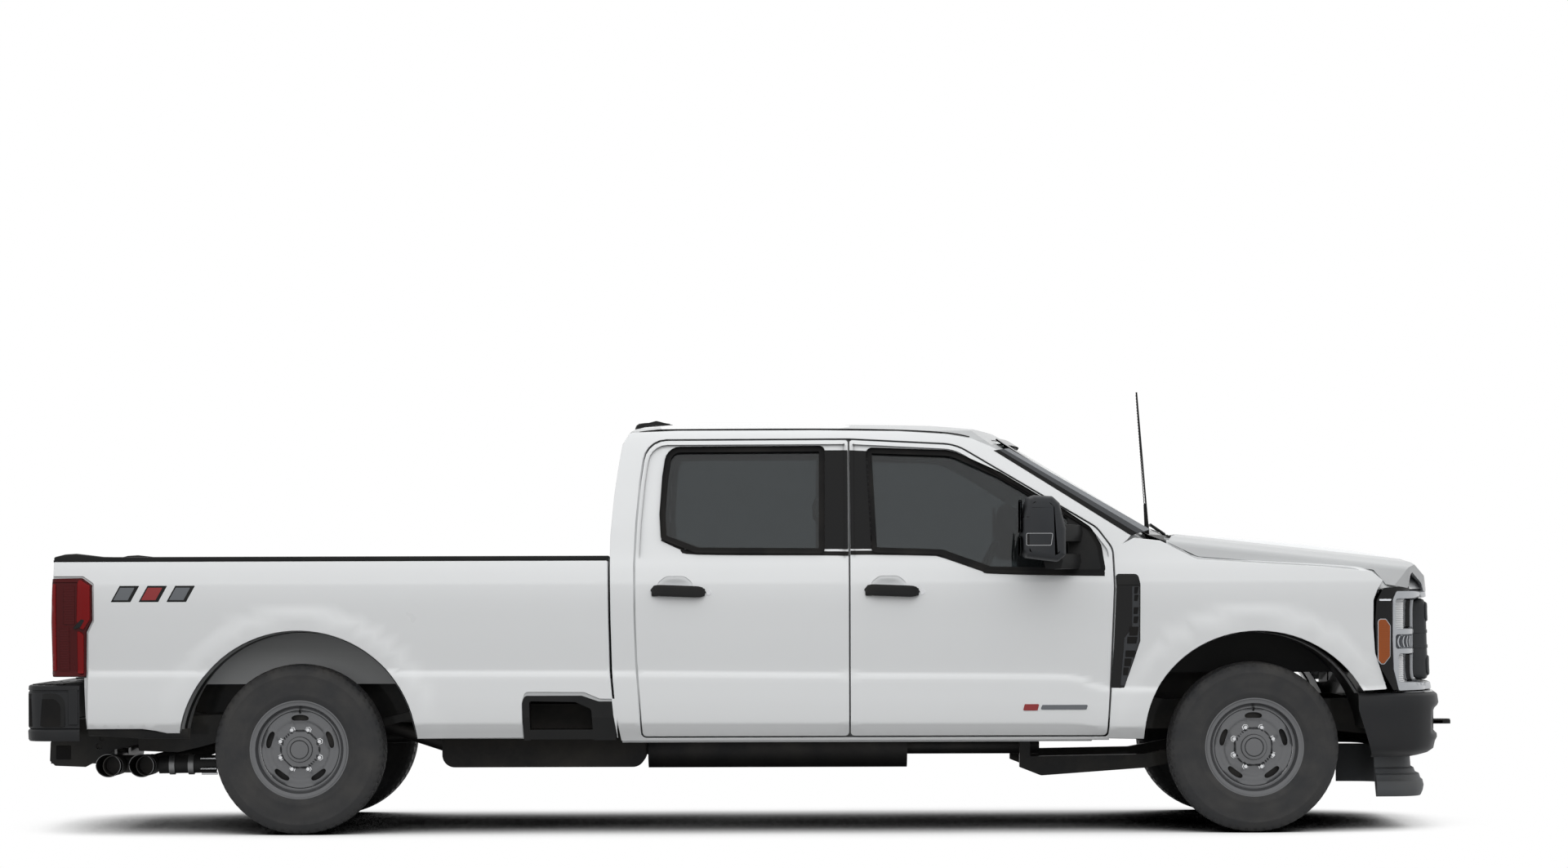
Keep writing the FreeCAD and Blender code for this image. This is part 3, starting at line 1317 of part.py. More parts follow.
def tailgate():
    """Drop tailgate with its pivot bores and the recessed handle."""
    x0 = -bed_rear_reach
    half = lamp_half - shut_gap
    gate = box(x0, x0 + tailgate_thickness, -half, half, tailgate_low_z, bed_rail_z - tailgate_top_drop)
    pin_z = tailgate_low_z + tailgate_pivot_rise
    pin_x = x0 + tailgate_pivot_inset
    for side in (-1, 1):
        gate = gate.cut(rod(V(pin_x, side * body_half, pin_z), V(pin_x, side * (half - tailgate_pin * 4), pin_z),
                            tailgate_pin + pin_play))
    handle = box(x0 - overrun, x0 + tailgate_pin * 2, -tailgate_handle, tailgate_handle,
                 bed_rail_z - tailgate_handle, bed_rail_z - tailgate_handle / 2)
    save("tailgate", gate.cut(handle))


def taillamps():
    """Lamps let into the bed's rear corners."""
    side = prism("xz", taillamp_points(), -body_half * 2, 0)
    outer = side_layer(-bed_rear_reach - overrun, bed_front_x, -cap_proud, taillamp_depth).common(side)
    back = side_layer(-bed_rear_reach - lamp_rear_proud, -bed_rear_reach - seat_gap, 0.0,
                      body_half - lamp_half - bed_rib)
    back = back.common(prism("xz", taillamp_points(), -body_half, 0))
    save("taillamps", pair(merged(outer, back)))


def rear_bumper_block(inset, shift):
    """Rear bumper as a block, moved in by an inset and forward by a shift."""
    points = scaled(rear_bumper_shares, -rear_bumper_reach, rear_bumper_low_z, rear_bumper_length,
                    rear_bumper_height)
    side = grown(outline("xz", points), -inset, -body_half, body_half)
    front = -rear_bumper_reach + rear_bumper_length
    right = [(front - a * rear_bumper_length + inset, -b * (body_half - shut_gap - inset), nose_corner)
             for a, b in rear_plan_shares[:-1]]
    left = [(x, -y, r) for x, y, r in reversed(right)]
    ends = [(front + overrun, body_half - shut_gap - inset), (front + overrun, -body_half + shut_gap + inset)]
    plan = prism("xy", right + left + ends, 0, roof_z)
    return side.common(plan).translate(V(shift, 0, 0))


def rear_bumper():
    """Step bumper shell with its brackets to the frame."""
    shell = rear_bumper_block(0.0, 0.0).cut(rear_bumper_block(bumper_sheet, 0.0))
    for shift in (bumper_bracket, bumper_bracket * 2):
        shell = shell.cut(rear_bumper_block(bumper_sheet, shift))
    for y in (-plate_spacing / 2, plate_spacing / 2):
        z = rear_bumper_low_z + rear_bumper_height * plate_share
        shell = shell.cut(rod(V(-rear_bumper_reach - overrun, y, z), V(-rear_bumper_reach + bumper_bracket, y, z),
                              plate_hole))
    shell = shell.cut(box(rail_rear_x - shut_gap, bed_front_x, -wheelhouse_half, wheelhouse_half,
                          rail_end_z + rail_kick, roof_z))
    arms = []
    for side in (-1, 1):
        low = side * (rail_mid - rail_width / 2)
        high = side * (rail_mid + rail_width / 2)
        arm = box(-rear_bumper_reach, rail_rear_x - seat_gap, min(low, high), max(low, high),
                  rear_bumper_low_z + bumper_bracket * 2, rear_bumper_low_z + bumper_bracket * 3)
        arms.append(arm.cut(box(-rear_bumper_reach - overrun, -rear_bumper_reach + bumper_sheet / 2, -body_half,
                                body_half, 0, roof_z)))
    save("rear_bumper", merged(shell, *arms))


def hitch_receiver():
    """Square receiver on a cross tube that hangs from the rails."""
    half = receiver_inner / 2 + receiver_wall
    x0 = -rear_overhang
    tube = box(x0, x0 + receiver_length, -half, half, receiver_z - half, receiver_z + half)
    bar_x = x0 + receiver_length - crossbar_radius
    bar = rod(V(bar_x, -rail_mid - rail_width / 2, receiver_z), V(bar_x, rail_mid + rail_width / 2, receiver_z),
              crossbar_radius)
    plates = []
    for side in (-1, 1):
        low = side * (rail_mid - rail_width / 2)
        high = side * (rail_mid + rail_width / 2)
        plates.append(box(bar_x - crossbar_radius, bar_x + crossbar_radius, min(low, high), max(low, high),
                          receiver_z, rail_end_z - seat_gap))
    solid = merged(tube, bar, *plates)
    solid = solid.cut(box(x0, x0 + receiver_length - crossbar_radius * 2 - receiver_wall, -receiver_inner / 2,
                          receiver_inner / 2, receiver_z - receiver_inner / 2, receiver_z + receiver_inner / 2))
    pin_x = x0 + receiver_pin_setback
    save("hitch_receiver", solid.cut(rod(V(pin_x, -half * 2, receiver_z), V(pin_x, half * 2, receiver_z),
                                         receiver_pin)))


def frame():
    """Channel rails, cross members and the front spring towers."""
    points = scaled(rail_shares, rail_rear_x, rail_low_z, rail_front_x - rail_rear_x, rail_height)
    outer = -rail_mid - rail_width / 2
    rail = grown(outline("xz", points), 0.0, outer, outer + rail_width)
    rail = rail.cut(grown(outline("xz", points), -rail_sheet, outer + rail_sheet, outer + rail_width * 2))
    top = wheel_z + axle_tube + seat_gap * 2 + coil_height
    x0 = front_axle_x - tower_half
    x1 = front_axle_x + tower_half
    tower = box(x0, x1, -coil_half - tower_half, outer + rail_sheet, top, top + spring_hanger)
    web = box(x0, x1, outer, outer + rail_sheet * 2, rail_top_z - rail_kick, top + spring_hanger)
    save("frame_rails", pair(merged(rail, tower, web)))
    members = []
    half = rail_mid + rail_width / 2 - rail_sheet - seat_gap
    spots = [(rail_rear_x + along * (gearbox_x - rail_rear_x), up) for along, up in member_shares]
    spots.append((rail_front_x - front_member_inset, front_member_share))
    for x, up in spots:
        z = rail_low_z + up * rail_height
        members.append(box(x - member_width / 2, x + member_width / 2, -half, half,
                           z - member_height / 2, z + member_height / 2))
    save("frame_crossmembers", Part.makeCompound(members))


def axles():
    """Front axle with its yokes and kingpins, and the rear axle with its spindles."""
    x = front_axle_x
    half = kingpin_half - yoke_reach
    tube = rod(V(x, -half, wheel_z), V(x, half, wheel_z), axle_tube)
    housing = rod(V(x - diff_length / 2, diff_offset, wheel_z), V(x + diff_length / 2, diff_offset, wheel_z),
                  diff_radius)
    pieces = [housing]
    for side in (-1, 1):
        y = side * kingpin_half
        web_y = side * half
        arm_half_width = knuckle_depth / 2
        pieces.append(box(x - arm_half_width, x + arm_half_width, min(web_y, web_y - side * yoke_sheet),
                          max(web_y, web_y - side * yoke_sheet), wheel_z - knuckle_height / 2 - yoke_sheet,
                          wheel_z + knuckle_height / 2 + yoke_sheet))
        for way in (-1, 1):
            near = wheel_z + way * (knuckle_height / 2 + yoke_gap)
            far = near + way * (yoke_sheet - yoke_gap)
            end = y + side * kingpin_radius * 2
            pieces.append(box(x - kingpin_radius * 2, x + kingpin_radius * 2, min(web_y, end), max(web_y, end),
                              min(near, far), max(near, far)))
            pieces.append(rod(V(x, y, near), V(x, y, near - way * kingpin_length), kingpin_radius))
    save("front_axle", merged(tube, *pieces))
    tube = rod(V(0, -rear_track / 2 + plate_setback, wheel_z), V(0, rear_track / 2 - plate_setback, wheel_z),
               axle_tube)
    housing = rod(V(-diff_length / 2, 0, wheel_z), V(diff_length / 2, 0, wheel_z), rear_diff_radius)
    save("rear_axle", merged(tube, housing, *hub_carrier(0.0, rear_track / 2, -1),
                             *hub_carrier(0.0, rear_track / 2, 1)))


def hub_carrier(x, half, side):
    """Brake plate and the spindle that the wheel turns on."""
    plate = rod(V(x, side * (half - plate_setback), wheel_z),
                V(x, side * (half - plate_setback + yoke_sheet / 2), wheel_z), plate_radius)
    pin = rod(V(x, side * (half - plate_setback), wheel_z), V(x, side * (half + spindle_reach), wheel_z), spindle)
    return [plate, pin]


def knuckles():
    """Steering knuckles with their spindles and arms, and the tie rod."""
    x = front_axle_x
    y = -kingpin_half
    body = box(x - knuckle_depth / 2, x + knuckle_depth / 2, y - knuckle_width / 2, y + knuckle_width / 2,
               wheel_z - knuckle_height / 2, wheel_z + knuckle_height / 2)
    outer = front_track / 2 - plate_setback
    neck = box(x - knuckle_depth / 2, x + knuckle_depth / 2, -outer, y, wheel_z - knuckle_depth / 2,
               wheel_z + knuckle_depth / 2)
    arm_top = steering_arm_z + arm_sheet / 2
    arm = box(x, x + steering_arm + arm_sheet / 2, y - arm_sheet / 2, y + arm_sheet / 2, arm_top - arm_sheet, arm_top)
    solid = merged(body, neck, arm, *hub_carrier(x, front_track / 2, -1))
    for way in (-1, 1):
        end = wheel_z + way * (knuckle_height / 2 + yoke_gap)
        solid = solid.cut(rod(V(x, y, end), V(x, y, end - way * (kingpin_length + yoke_gap)),
                              kingpin_radius + pin_play))
    low = arm_top - arm_sheet - tie_rod_drop - tie_rod_radius * 2
    pin = rod(V(x + steering_arm, y, low), V(x + steering_arm, y, arm_top), tie_rod_pin)
    solid = merged(solid, pin)
    save("knuckle_right", solid)
    save("knuckle_left", mirrored(solid))
    z = low + tie_rod_radius
    low = z - tie_rod_eye_height / 2
    eyes = []
    bores = []
    for side, radius in ((-1, tie_rod_free), (1, tie_rod_pin + pin_play)):
        at = V(x + steering_arm, side * kingpin_half, low)
        eyes.append(Part.makeCylinder(tie_rod_eye, tie_rod_eye_height, at))
        bores.append(Part.makeCylinder(radius, tie_rod_eye_height, at))
    bar = rod(V(x + steering_arm, -kingpin_half + tie_rod_eye / 2, z),
              V(x + steering_arm, kingpin_half - tie_rod_eye / 2, z), tie_rod_radius)
    bar = merged(bar, *eyes)
    for bore in bores:
        bar = bar.cut(bore)
    save("tie_rod", bar)


def suspension():
    """Rear leaf packs and dampers, front coils and radius arms."""
    solids = []
    low = wheel_z + axle_tube + seat_gap
    length = spring_rear_reach + spring_front_reach
    leaf = prism("xz", scaled(spring_shares, -spring_rear_reach, low, length, spring_rise),
                 -spring_half - spring_width / 2, -spring_half + spring_width / 2)
    hangers = []
    for x, z in ((-spring_rear_reach, low + spring_rise), (spring_front_reach - spring_hanger,
                                                            low + spring_rise * spring_front_share)):
        hangers.append(box(x, x + spring_hanger, -spring_half, -rail_mid - rail_width / 2 - seat_gap, z,
                           z + spring_sheet))
    solids.append(merged(leaf, *hangers))
    damper_y = -(rail_mid + rail_width / 2 + spring_half - spring_width / 2) / 2
    solids.append(rod(V(0, damper_y, low), V(0, damper_y, rail_top_z + rail_kick - seat_gap), damper_radius))
    solids.append(rod(V(front_axle_x, -coil_half, low), V(front_axle_x, -coil_half, low + coil_height),
                      coil_radius))
    x0 = front_axle_x - axle_tube - seat_gap - arm_length
    arm = prism("xz", scaled(arm_shares, x0, arm_low_z, arm_length, arm_height), -arm_half - arm_width / 2,
                -arm_half + arm_width / 2)
    bracket = box(x0, x0 + arm_width, -arm_half - arm_width / 2, -arm_half + arm_width / 2, arm_low_z + arm_height / 2,
                  rail_low_z - seat_gap)
    solids.append(merged(arm, bracket))
    save("springs_and_dampers", Part.makeCompound([pair(solid) for solid in solids]))


def driveline():
    """Engine as a plain block on its mounts, gearbox and drive shaft."""
    x0 = firewall_x + engine_gap
    block = box(x0, x0 + engine_length, -engine_half, engine_half, engine_low_z, engine_low_z + engine_height)
    arms = []
    reach = rail_mid + rail_width / 2 - rail_sheet - seat_gap
    x = x0 + engine_length / 2
    arms.append(box(x, x + mount_length, -reach, reach, engine_low_z - mount_drop, engine_low_z))
    engine = merged(block, *arms)
    gearbox = box(gearbox_x - seat_gap, x0 - seat_gap, -gearbox_half, gearbox_half, gearbox_low_z,
                  gearbox_low_z + gearbox_height)
    start = V(gearbox_x - seat_gap * 2, 0, gearbox_low_z + gearbox_height / 2)
    end = V(diff_length / 2 + shaft_radius, 0, wheel_z + shaft_radius / 2)
    shaft = rod(start - V(shaft_radius / 2, 0, 0), end, shaft_radius)
    joint = box(start.x - shaft_radius, start.x, -shaft_radius, shaft_radius, start.z - shaft_radius,
                start.z + shaft_radius)
    tail = box(diff_length / 2 + seat_gap, end.x, -shaft_radius, shaft_radius, end.z - shaft_radius,
               end.z + shaft_radius)
    save("driveline", Part.makeCompound([engine, gearbox, merged(shaft, joint, tail)]))


def tank_and_exhaust():
    """Tank beside the rail, and the exhaust with its canister and twin tips."""
    inner = -rail_mid - rail_width / 2 - seat_gap
    points = [(tank_reach, tank_low_z, tank_round), (tank_reach + tank_length, tank_low_z, tank_round),
              (tank_reach + tank_length, tank_low_z + tank_height, 0.0), (tank_reach, tank_low_z + tank_height, 0.0)]
    save("fuel_tank", prism("xz", points, inner - tank_width, inner))
    x0 = canister_reach
    x1 = x0 + canister_length
    y = -canister_half
    can = rod(V(x0, y, canister_z), V(x1, y, canister_z), canister_radius)
    member_x = rail_rear_x + member_shares[3][0] * (gearbox_x - rail_rear_x)
    member_low = rail_low_z + member_shares[3][1] * rail_height - member_height / 2
    hanger = box(member_x - canister_hanger, member_x + canister_hanger, y - canister_hanger, y + canister_hanger,
                 canister_z, member_low - seat_gap)
    front = rod(V(x1 - seat_gap, y, canister_z), V(x1 + pipe_front_length, y, canister_z), pipe_radius)
    route = [V(x0 + shaft_radius, y, canister_z)]
    for along, across, up in pipe_shares:
        route.append(V(x0 + along * (x0 + tip_reach + tip_pitch), -across * tip_half, up * wheel_z))
    pieces = [hanger, front]
    for start, end in zip(route, route[1:]):
        pieces.append(rod(start, end, pipe_radius))
        pieces.append(Part.makeSphere(pipe_radius, end))
    for index in range(2):
        x = -tip_reach - index * tip_pitch
        pieces.append(rod(V(x, -tip_half + tip_length, tip_z), V(x, -tip_half, tip_z), tip_radius))
    solid = merged(can, *pieces)
    for index in range(2):
        x = -tip_reach - index * tip_pitch
        solid = solid.cut(rod(V(x, -tip_half + tip_length / 2, tip_z), V(x, -tip_half - overrun, tip_z),
                              tip_radius - tip_sheet))
    save("exhaust", solid)


def turned(points, x, half, side):
    """Solid of revolution about a wheel's axis from (radius, outward distance) points."""
    nodes = [V(x, side * (half + out), wheel_z + radius) for radius, out in points]
    face = Part.Face(Part.makePolygon(nodes + [nodes[0]]))
    return face.revolve(V(x, 0, wheel_z), V(0, 1, 0), 360)


def wheel(x, half, side):
    """Pressed disc with oval slots in a plain rim, on a hub with its cap."""
    edge = rim_width / 2
    inner = rim_radius - rim_sheet
    points = [
        (0.0, cap_front), (cap_radius, cap_front), (cap_radius, disc_front), (inner, disc_front), (inner, edge),
        (rim_radius, edge), (rim_radius, -edge), (inner, -edge), (inner, disc_back), (hub_radius, disc_back),
        (hub_radius, -hub_back), (spindle + pin_play, -hub_back), (spindle + pin_play, spindle_reach + hinge_play),
        (0.0, spindle_reach + hinge_play)]
    solid = turned(points, x, half, side)
    for index in range(slot_count):
        angle = math.radians(90 + 360 * index / slot_count)
        centre = V(x + slot_circle * math.cos(angle), 0, wheel_z + slot_circle * math.sin(angle))
        along = V(-math.sin(angle), 0, math.cos(angle)) * (slot_long / 2)
        low = min(side * half, side * (half + edge))
        shift = V(0, low, 0)
        out = V(math.cos(angle), 0, math.sin(angle)) * (slot_short / 2)
        corners = [centre + along + out, centre - along + out, centre - along - out, centre + along - out]
        web = Part.Face(Part.makePolygon([c + shift for c in corners + [corners[0]]])).extrude(V(0, edge, 0))
        solid = solid.cut(web)
    return solid


def tyre(x, half, side):
    """Tyre with flat tread, shoulders and sidewalls, seated on the rim."""
    bead = rim_radius + seat_gap
    wide = tyre_width / 2
    shoulder = tyre_radius * shoulder_share
    points = [(bead, -wide), (bead, wide), (shoulder, wide), (tyre_radius, wide * tread_share),
              (tyre_radius, -wide * tread_share), (shoulder, -wide)]
    return turned(points, x, half, side)


def wheels():
    for end, x, half in (("front", front_axle_x, front_track / 2), ("rear", 0.0, rear_track / 2)):
        right = wheel(x, half, -1)
        rubber = tyre(x, half, -1)
        for side, turn in (("right", lambda shape: shape), ("left", mirrored)):
            save("wheel_" + end + "_" + side, turn(right))
            save("tyre_" + end + "_" + side, turn(rubber))


def main():
    os.makedirs("parts", exist_ok=True)
    frame()
    axles()
    knuckles()
    suspension()
    driveline()
    tank_and_exhaust()
    wheels()
    cab()
    doors()
    seats()
    dashboard()
    hood()
    cowl()
    fenders()
    wheel_liners()
    radiator_support()
    grille()
    headlamps()
    front_bumper()
    tow_hooks()
    air_dam()
    antennas()
    bedsides()
    bed_trim()
    bed_floor()
    tailgate()
    taillamps()
    rear_bumper()
    hitch_receiver()


if __name__ == "__main__":
    main()
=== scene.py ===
import json
import math

import bmesh
import bpy
from bpy.props import FloatProperty, FloatVectorProperty, IntProperty, PointerProperty
from mathutils import Matrix, Vector
from mathutils.geometry import delaunay_2d_cdt

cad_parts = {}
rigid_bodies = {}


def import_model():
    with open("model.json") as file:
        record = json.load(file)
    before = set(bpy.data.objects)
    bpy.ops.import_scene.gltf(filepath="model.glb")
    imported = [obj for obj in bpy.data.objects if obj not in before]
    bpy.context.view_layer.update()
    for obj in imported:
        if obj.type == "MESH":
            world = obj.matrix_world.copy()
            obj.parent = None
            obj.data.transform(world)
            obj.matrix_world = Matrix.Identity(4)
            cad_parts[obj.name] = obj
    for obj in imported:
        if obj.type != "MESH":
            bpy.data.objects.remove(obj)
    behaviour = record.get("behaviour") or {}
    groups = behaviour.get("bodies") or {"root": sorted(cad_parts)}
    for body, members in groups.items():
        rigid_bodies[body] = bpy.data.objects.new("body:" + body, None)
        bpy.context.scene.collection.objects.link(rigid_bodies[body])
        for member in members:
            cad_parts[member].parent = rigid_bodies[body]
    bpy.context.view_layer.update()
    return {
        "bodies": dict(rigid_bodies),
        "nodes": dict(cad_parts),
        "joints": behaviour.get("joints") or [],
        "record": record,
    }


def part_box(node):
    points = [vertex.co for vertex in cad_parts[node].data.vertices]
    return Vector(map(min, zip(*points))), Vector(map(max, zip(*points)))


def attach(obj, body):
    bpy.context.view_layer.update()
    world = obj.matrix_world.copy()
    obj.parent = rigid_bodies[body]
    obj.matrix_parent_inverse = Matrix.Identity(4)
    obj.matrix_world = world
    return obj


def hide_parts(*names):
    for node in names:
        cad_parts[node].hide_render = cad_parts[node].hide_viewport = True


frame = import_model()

bl_info = {
    "name": "Crew-cab pickup dressing",
    "version": (1, 0, 0),
    "blender": (4, 5, 0),
    "location": "View3D > Sidebar > Pickup",
    "description": "Dresses the packed pickup with panels, wheels, lamps, trim and paint",
    "category": "Object",
}

# Frame: lengths below are millimetres, X ahead of the rear axle, Y to the left, Z above the ground
REAR_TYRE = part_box("tyre_rear_right")
FRONT_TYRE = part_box("tyre_front_right")
REAR_AXLE = (REAR_TYRE[0][0] + REAR_TYRE[1][0]) / 2
WHEELBASE = (FRONT_TYRE[0][0] - REAR_TYRE[0][0]) * 1000
TYRE_RADIUS = (REAR_TYRE[1][2] - REAR_TYRE[0][2]) * 500
REAR_TRACK_HALF = -(REAR_TYRE[0][1] + REAR_TYRE[1][1]) * 500
FRONT_TRACK_HALF = -(FRONT_TYRE[0][1] + FRONT_TYRE[1][1]) * 500
SIDES = {"right": -1, "left": 1}
SKIN_PROUD = 5.0


def spot(x, y, z):
    """Point in the scene's metres from millimetres ahead of the rear axle."""
    return Vector((x / 1000 + REAR_AXLE, y / 1000, z / 1000))


# Curves and outlines

def eased(t):
    """Smooth step from 0 to 1."""
    t = min(max(t, 0.0), 1.0)
    return t * t * (3 - 2 * t)


def along(table, at):
    """Value of a smooth curve through (place, value) pairs, with no overshoot."""
    if at <= table[0][0]:
        return table[0][1]
    if at >= table[-1][0]:
        return table[-1][1]
    index = 0
    while table[index + 1][0] < at:
        index += 1
    x0, y0 = table[index]
    x1, y1 = table[index + 1]
    slope = (y1 - y0) / (x1 - x0)

    def bend(k):
        if k <= 0 or k >= len(table) - 1:
            return slope
        before = (table[k][1] - table[k - 1][1]) / (table[k][0] - table[k - 1][0])
        after = (table[k + 1][1] - table[k][1]) / (table[k + 1][0] - table[k][0])
        if before * after <= 0:
            return 0.0
        return 2 * before * after / (before + after)

    t = (at - x0) / (x1 - x0)
    h = x1 - x0
    return ((1 + 2 * t) * (1 - t) ** 2 * y0 + t * (1 - t) ** 2 * h * bend(index)
            + t * t * (3 - 2 * t) * y1 + t * t * (t - 1) * h * bend(index + 1))


def rounded(points, steps=5):
    """Closed outline from (a, b, corner radius) points."""
    out = []
    count = len(points)
    for index, point in enumerate(points):
        at = Vector(point[:2])
        radius = point[2] if len(point) > 2 else 0.0
        before = Vector(points[index - 1][:2]) - at
        after = Vector(points[(index + 1) % count][:2]) - at
        half = before.angle(after) / 2
        if radius <= 0 or half > 1.54:
            out.append((at.x, at.y))
            continue
        reach = min(radius / math.tan(half), before.length * 0.48, after.length * 0.48)
        radius = reach * math.tan(half)
        start = at + before.normalized() * reach
        end = at + after.normalized() * reach
        centre = at + (before.normalized() + after.normalized()).normalized() * (radius / math.sin(half))
        turn = (start - centre).angle_signed(end - centre)
        for step in range(steps + 1):
            spoke = (start - centre).copy()
            spoke.rotate(Matrix.Rotation(-turn * step / steps, 2))
            out.append(tuple(centre + spoke))
    return out


def oblong(a0, b0, a1, b1, radius=0):
    """Rounded outline of a rectangle between two corners."""
    return rounded(((a0, b0, radius), (a0, b1, radius), (a1, b1, radius), (a1, b0, radius)))


def fine(loop, step):
    """The outline with its long edges divided."""
    out = []
    for index, at in enumerate(loop):
        end = loop[(index + 1) % len(loop)]
        parts = max(1, math.ceil(math.dist(at, end) / step))
        out += [(at[0] + (end[0] - at[0]) * k / parts, at[1] + (end[1] - at[1]) * k / parts)
                for k in range(parts)]
    return out


def shrunk(loop, amount):
    """The outline moved inwards; a negative amount moves it out."""
    area = sum(a[0] * b[1] - b[0] * a[1] for a, b in zip(loop, loop[1:] + loop[:1]))
    turn = 1 if area > 0 else -1
    out = []
    for index, at in enumerate(loop):
        before = Vector(at) - Vector(loop[index - 1])
        after = Vector(loop[(index + 1) % len(loop)]) - Vector(at)
        if before.length < 1e-6 or after.length < 1e-6:
            out.append(at)
            continue
        n0 = Vector((-before.y, before.x)).normalized() * turn
        n1 = Vector((-after.y, after.x)).normalized() * turn
        mitre = n0 + n1
        if mitre.length > 1e-6:
            mitre = mitre.normalized() * (amount / max(0.5, mitre.normalized().dot(n0)))
        else:
            mitre = n0 * amount
        out.append((at[0] + mitre.x, at[1] + mitre.y))
    return out


def inside(loop, a, b):
    """Whether a point lies within an outline."""
    hit = False
    for (x0, y0), (x1, y1) in zip(loop, loop[1:] + loop[:1]):
        if (y0 > b) != (y1 > b) and a < (x1 - x0) * (b - y0) / (y1 - y0) + x0:
            hit = not hit
    return hit


def near_loop(loop, a, b, reach):
    """Whether a point lies closer to an outline than a reach."""
    point = Vector((a, b))
    for start, end in zip(loop, loop[1:] + loop[:1]):
        s = Vector(start)
        d = Vector(end) - s
        t = min(max((point - s).dot(d) / max(d.length_squared, 1e-9), 0.0), 1.0)
        if (point - s - d * t).length < reach:
            return True
    return False


# Meshes

def shown(name, mesh, *materials, smooth=True):
    """Object of a mesh in the scene, with its finishes by name."""
    piece = bpy.data.objects.new(name, mesh)
    bpy.context.scene.collection.objects.link(piece)
    for name in materials:
        mesh.materials.append(finish(name))
    if smooth:
        mesh.polygons.foreach_set("use_smooth", [True] * len(mesh.polygons))
    return piece


def meshed(name, verts, faces, *materials, smooth=True, crease=None):
    """Piece from millimetre points and faces, welded and turned outwards."""
    mesh = bpy.data.meshes.new(name)
    mesh.from_pydata([spot(*v) for v in verts], [], faces)
    shape = bmesh.new()
    shape.from_mesh(mesh)
    bmesh.ops.remove_doubles(shape, verts=shape.verts, dist=0.00002)
    bmesh.ops.recalc_face_normals(shape, faces=shape.faces)
    if crease is not None:
        mark_creases(shape, crease)
    shape.to_mesh(mesh)
    shape.free()
    return shown(name, mesh, *materials, smooth=smooth)


def mark_creases(shape, degrees):
    """Sharp edges where faces meet at more than an angle."""
    for edge in shape.edges:
        if len(edge.link_faces) == 2 and edge.calc_face_angle(0) > math.radians(degrees):
            edge.smooth = False


def joined(name, pieces):
    """One piece from several of the same finish."""
    materials = []
    shape = bmesh.new()
    for piece in pieces:
        slots = []
        for material in piece.data.materials:
            if material not in materials:
                materials.append(material)
            slots.append(materials.index(material))
        piece.data.transform(piece.matrix_basis)
        start = len(shape.faces)
        shape.from_mesh(piece.data)
        shape.faces.ensure_lookup_table()
        for face in shape.faces[start:]:
            face.material_index = slots[face.material_index] if slots else 0
    mesh = bpy.data.meshes.new(name)
    shape.to_mesh(mesh)
    shape.free()
    for piece in pieces:
        old = piece.data
        bpy.data.objects.remove(piece)
        if old.users == 0:
            bpy.data.meshes.remove(old)
    whole = bpy.data.objects.new(name, mesh)
    bpy.context.scene.collection.objects.link(whole)
    for material in materials:
        mesh.materials.append(material)
    return whole


def mirror_mesh(mesh):
    """Turns a mesh into its mirror image across the truck's middle plane."""
    mesh.transform(Matrix.Scale(-1, 4, Vector((0, 1, 0))))
    mesh.flip_normals()


def crossed(piece):
    """The same piece on the truck's other side."""
    mesh = piece.data.copy()
    mirror_mesh(mesh)
    other = bpy.data.objects.new(piece.name + "_left", mesh)
    bpy.context.scene.collection.objects.link(other)
    return other


def bevelled(piece, width, segments=2, degrees=30):
    """Rounded edges on a piece."""
    bevel = piece.modifiers.new("round", "BEVEL")
    bevel.width = width / 1000
    bevel.segments = segments
    bevel.limit_method = "ANGLE"
    bevel.angle_limit = math.radians(degrees)
    bevel.harden_normals = False
    bpy.context.view_layer.update()
    graph = bpy.context.evaluated_depsgraph_get()
    mesh = bpy.data.meshes.new_from_object(piece.evaluated_get(graph))
    old = piece.data
    piece.modifiers.clear()
    piece.data = mesh
    bpy.data.meshes.remove(old)
    shape = bmesh.new()
    shape.from_mesh(mesh)
    mark_creases(shape, 40)
    shape.to_mesh(mesh)
    shape.free()
    mesh.polygons.foreach_set("use_smooth", [True] * len(mesh.polygons))
    return piece


def block(name, low, high, *materials, bevel=0.0, segments=2):
    """Box with rounded edges between two corners."""
    (x0, y0, z0), (x1, y1, z1) = low, high
    verts = [(x, y, z) for x in (x0, x1) for y in (y0, y1) for z in (z0, z1)]
    faces = [(0, 1, 3, 2), (4, 6, 7, 5), (0, 4, 5, 1), (2, 3, 7, 6), (0, 2, 6, 4), (1, 5, 7, 3)]
    piece = meshed(name, verts, faces, *materials)
    return bevelled(piece, bevel, segments) if bevel else piece


def slab(name, plane, loop, low, high, *materials, bevel=0.0, segments=2, taper=0.0):
    """Outline of the xz, yz or xy plane carried along its normal, with rounded edges."""
    order = {"xz": lambda a, b, c: (a, c, b), "yz": lambda a, b, c: (c, a, b), "xy": lambda a, b,
             c: (a, b, c)}[plane]
    far = shrunk(loop, taper) if taper else loop
    verts = [order(a, b, low) for a, b in loop] + [order(a, b, high) for a, b in far]
    n = len(loop)
    faces = [tuple(range(n)), tuple(range(n, 2 * n))]
    faces += [(k, (k + 1) % n, (k + 1) % n + n, k + n) for k in range(n)]
    piece = meshed(name, verts, faces, *materials, crease=35)
    return bevelled(piece, bevel, segments) if bevel else piece


def lofted(name, rings, *materials, closed=True, ends=True, crease=None):
    """Skin through rings of points."""
    n = len(rings[0])
    verts = [point for ring in rings for point in ring]
    faces = []
    for row in range(len(rings) - 1):
        for k in range(n if closed else n - 1):
            a = row * n + k
            b = row * n + (k + 1) % n
            faces.append((a, b, b + n, a + n))
    if ends and closed:
        faces += [tuple(range(n)), tuple(range((len(rings) - 1) * n, len(rings) * n))]
    return meshed(name, verts, faces, *materials, crease=crease)


def sheet(name, rings, *materials, crease=None):
    """Open skin through rows of points."""
    return lofted(name, rings, *materials, closed=False, ends=False, crease=crease)


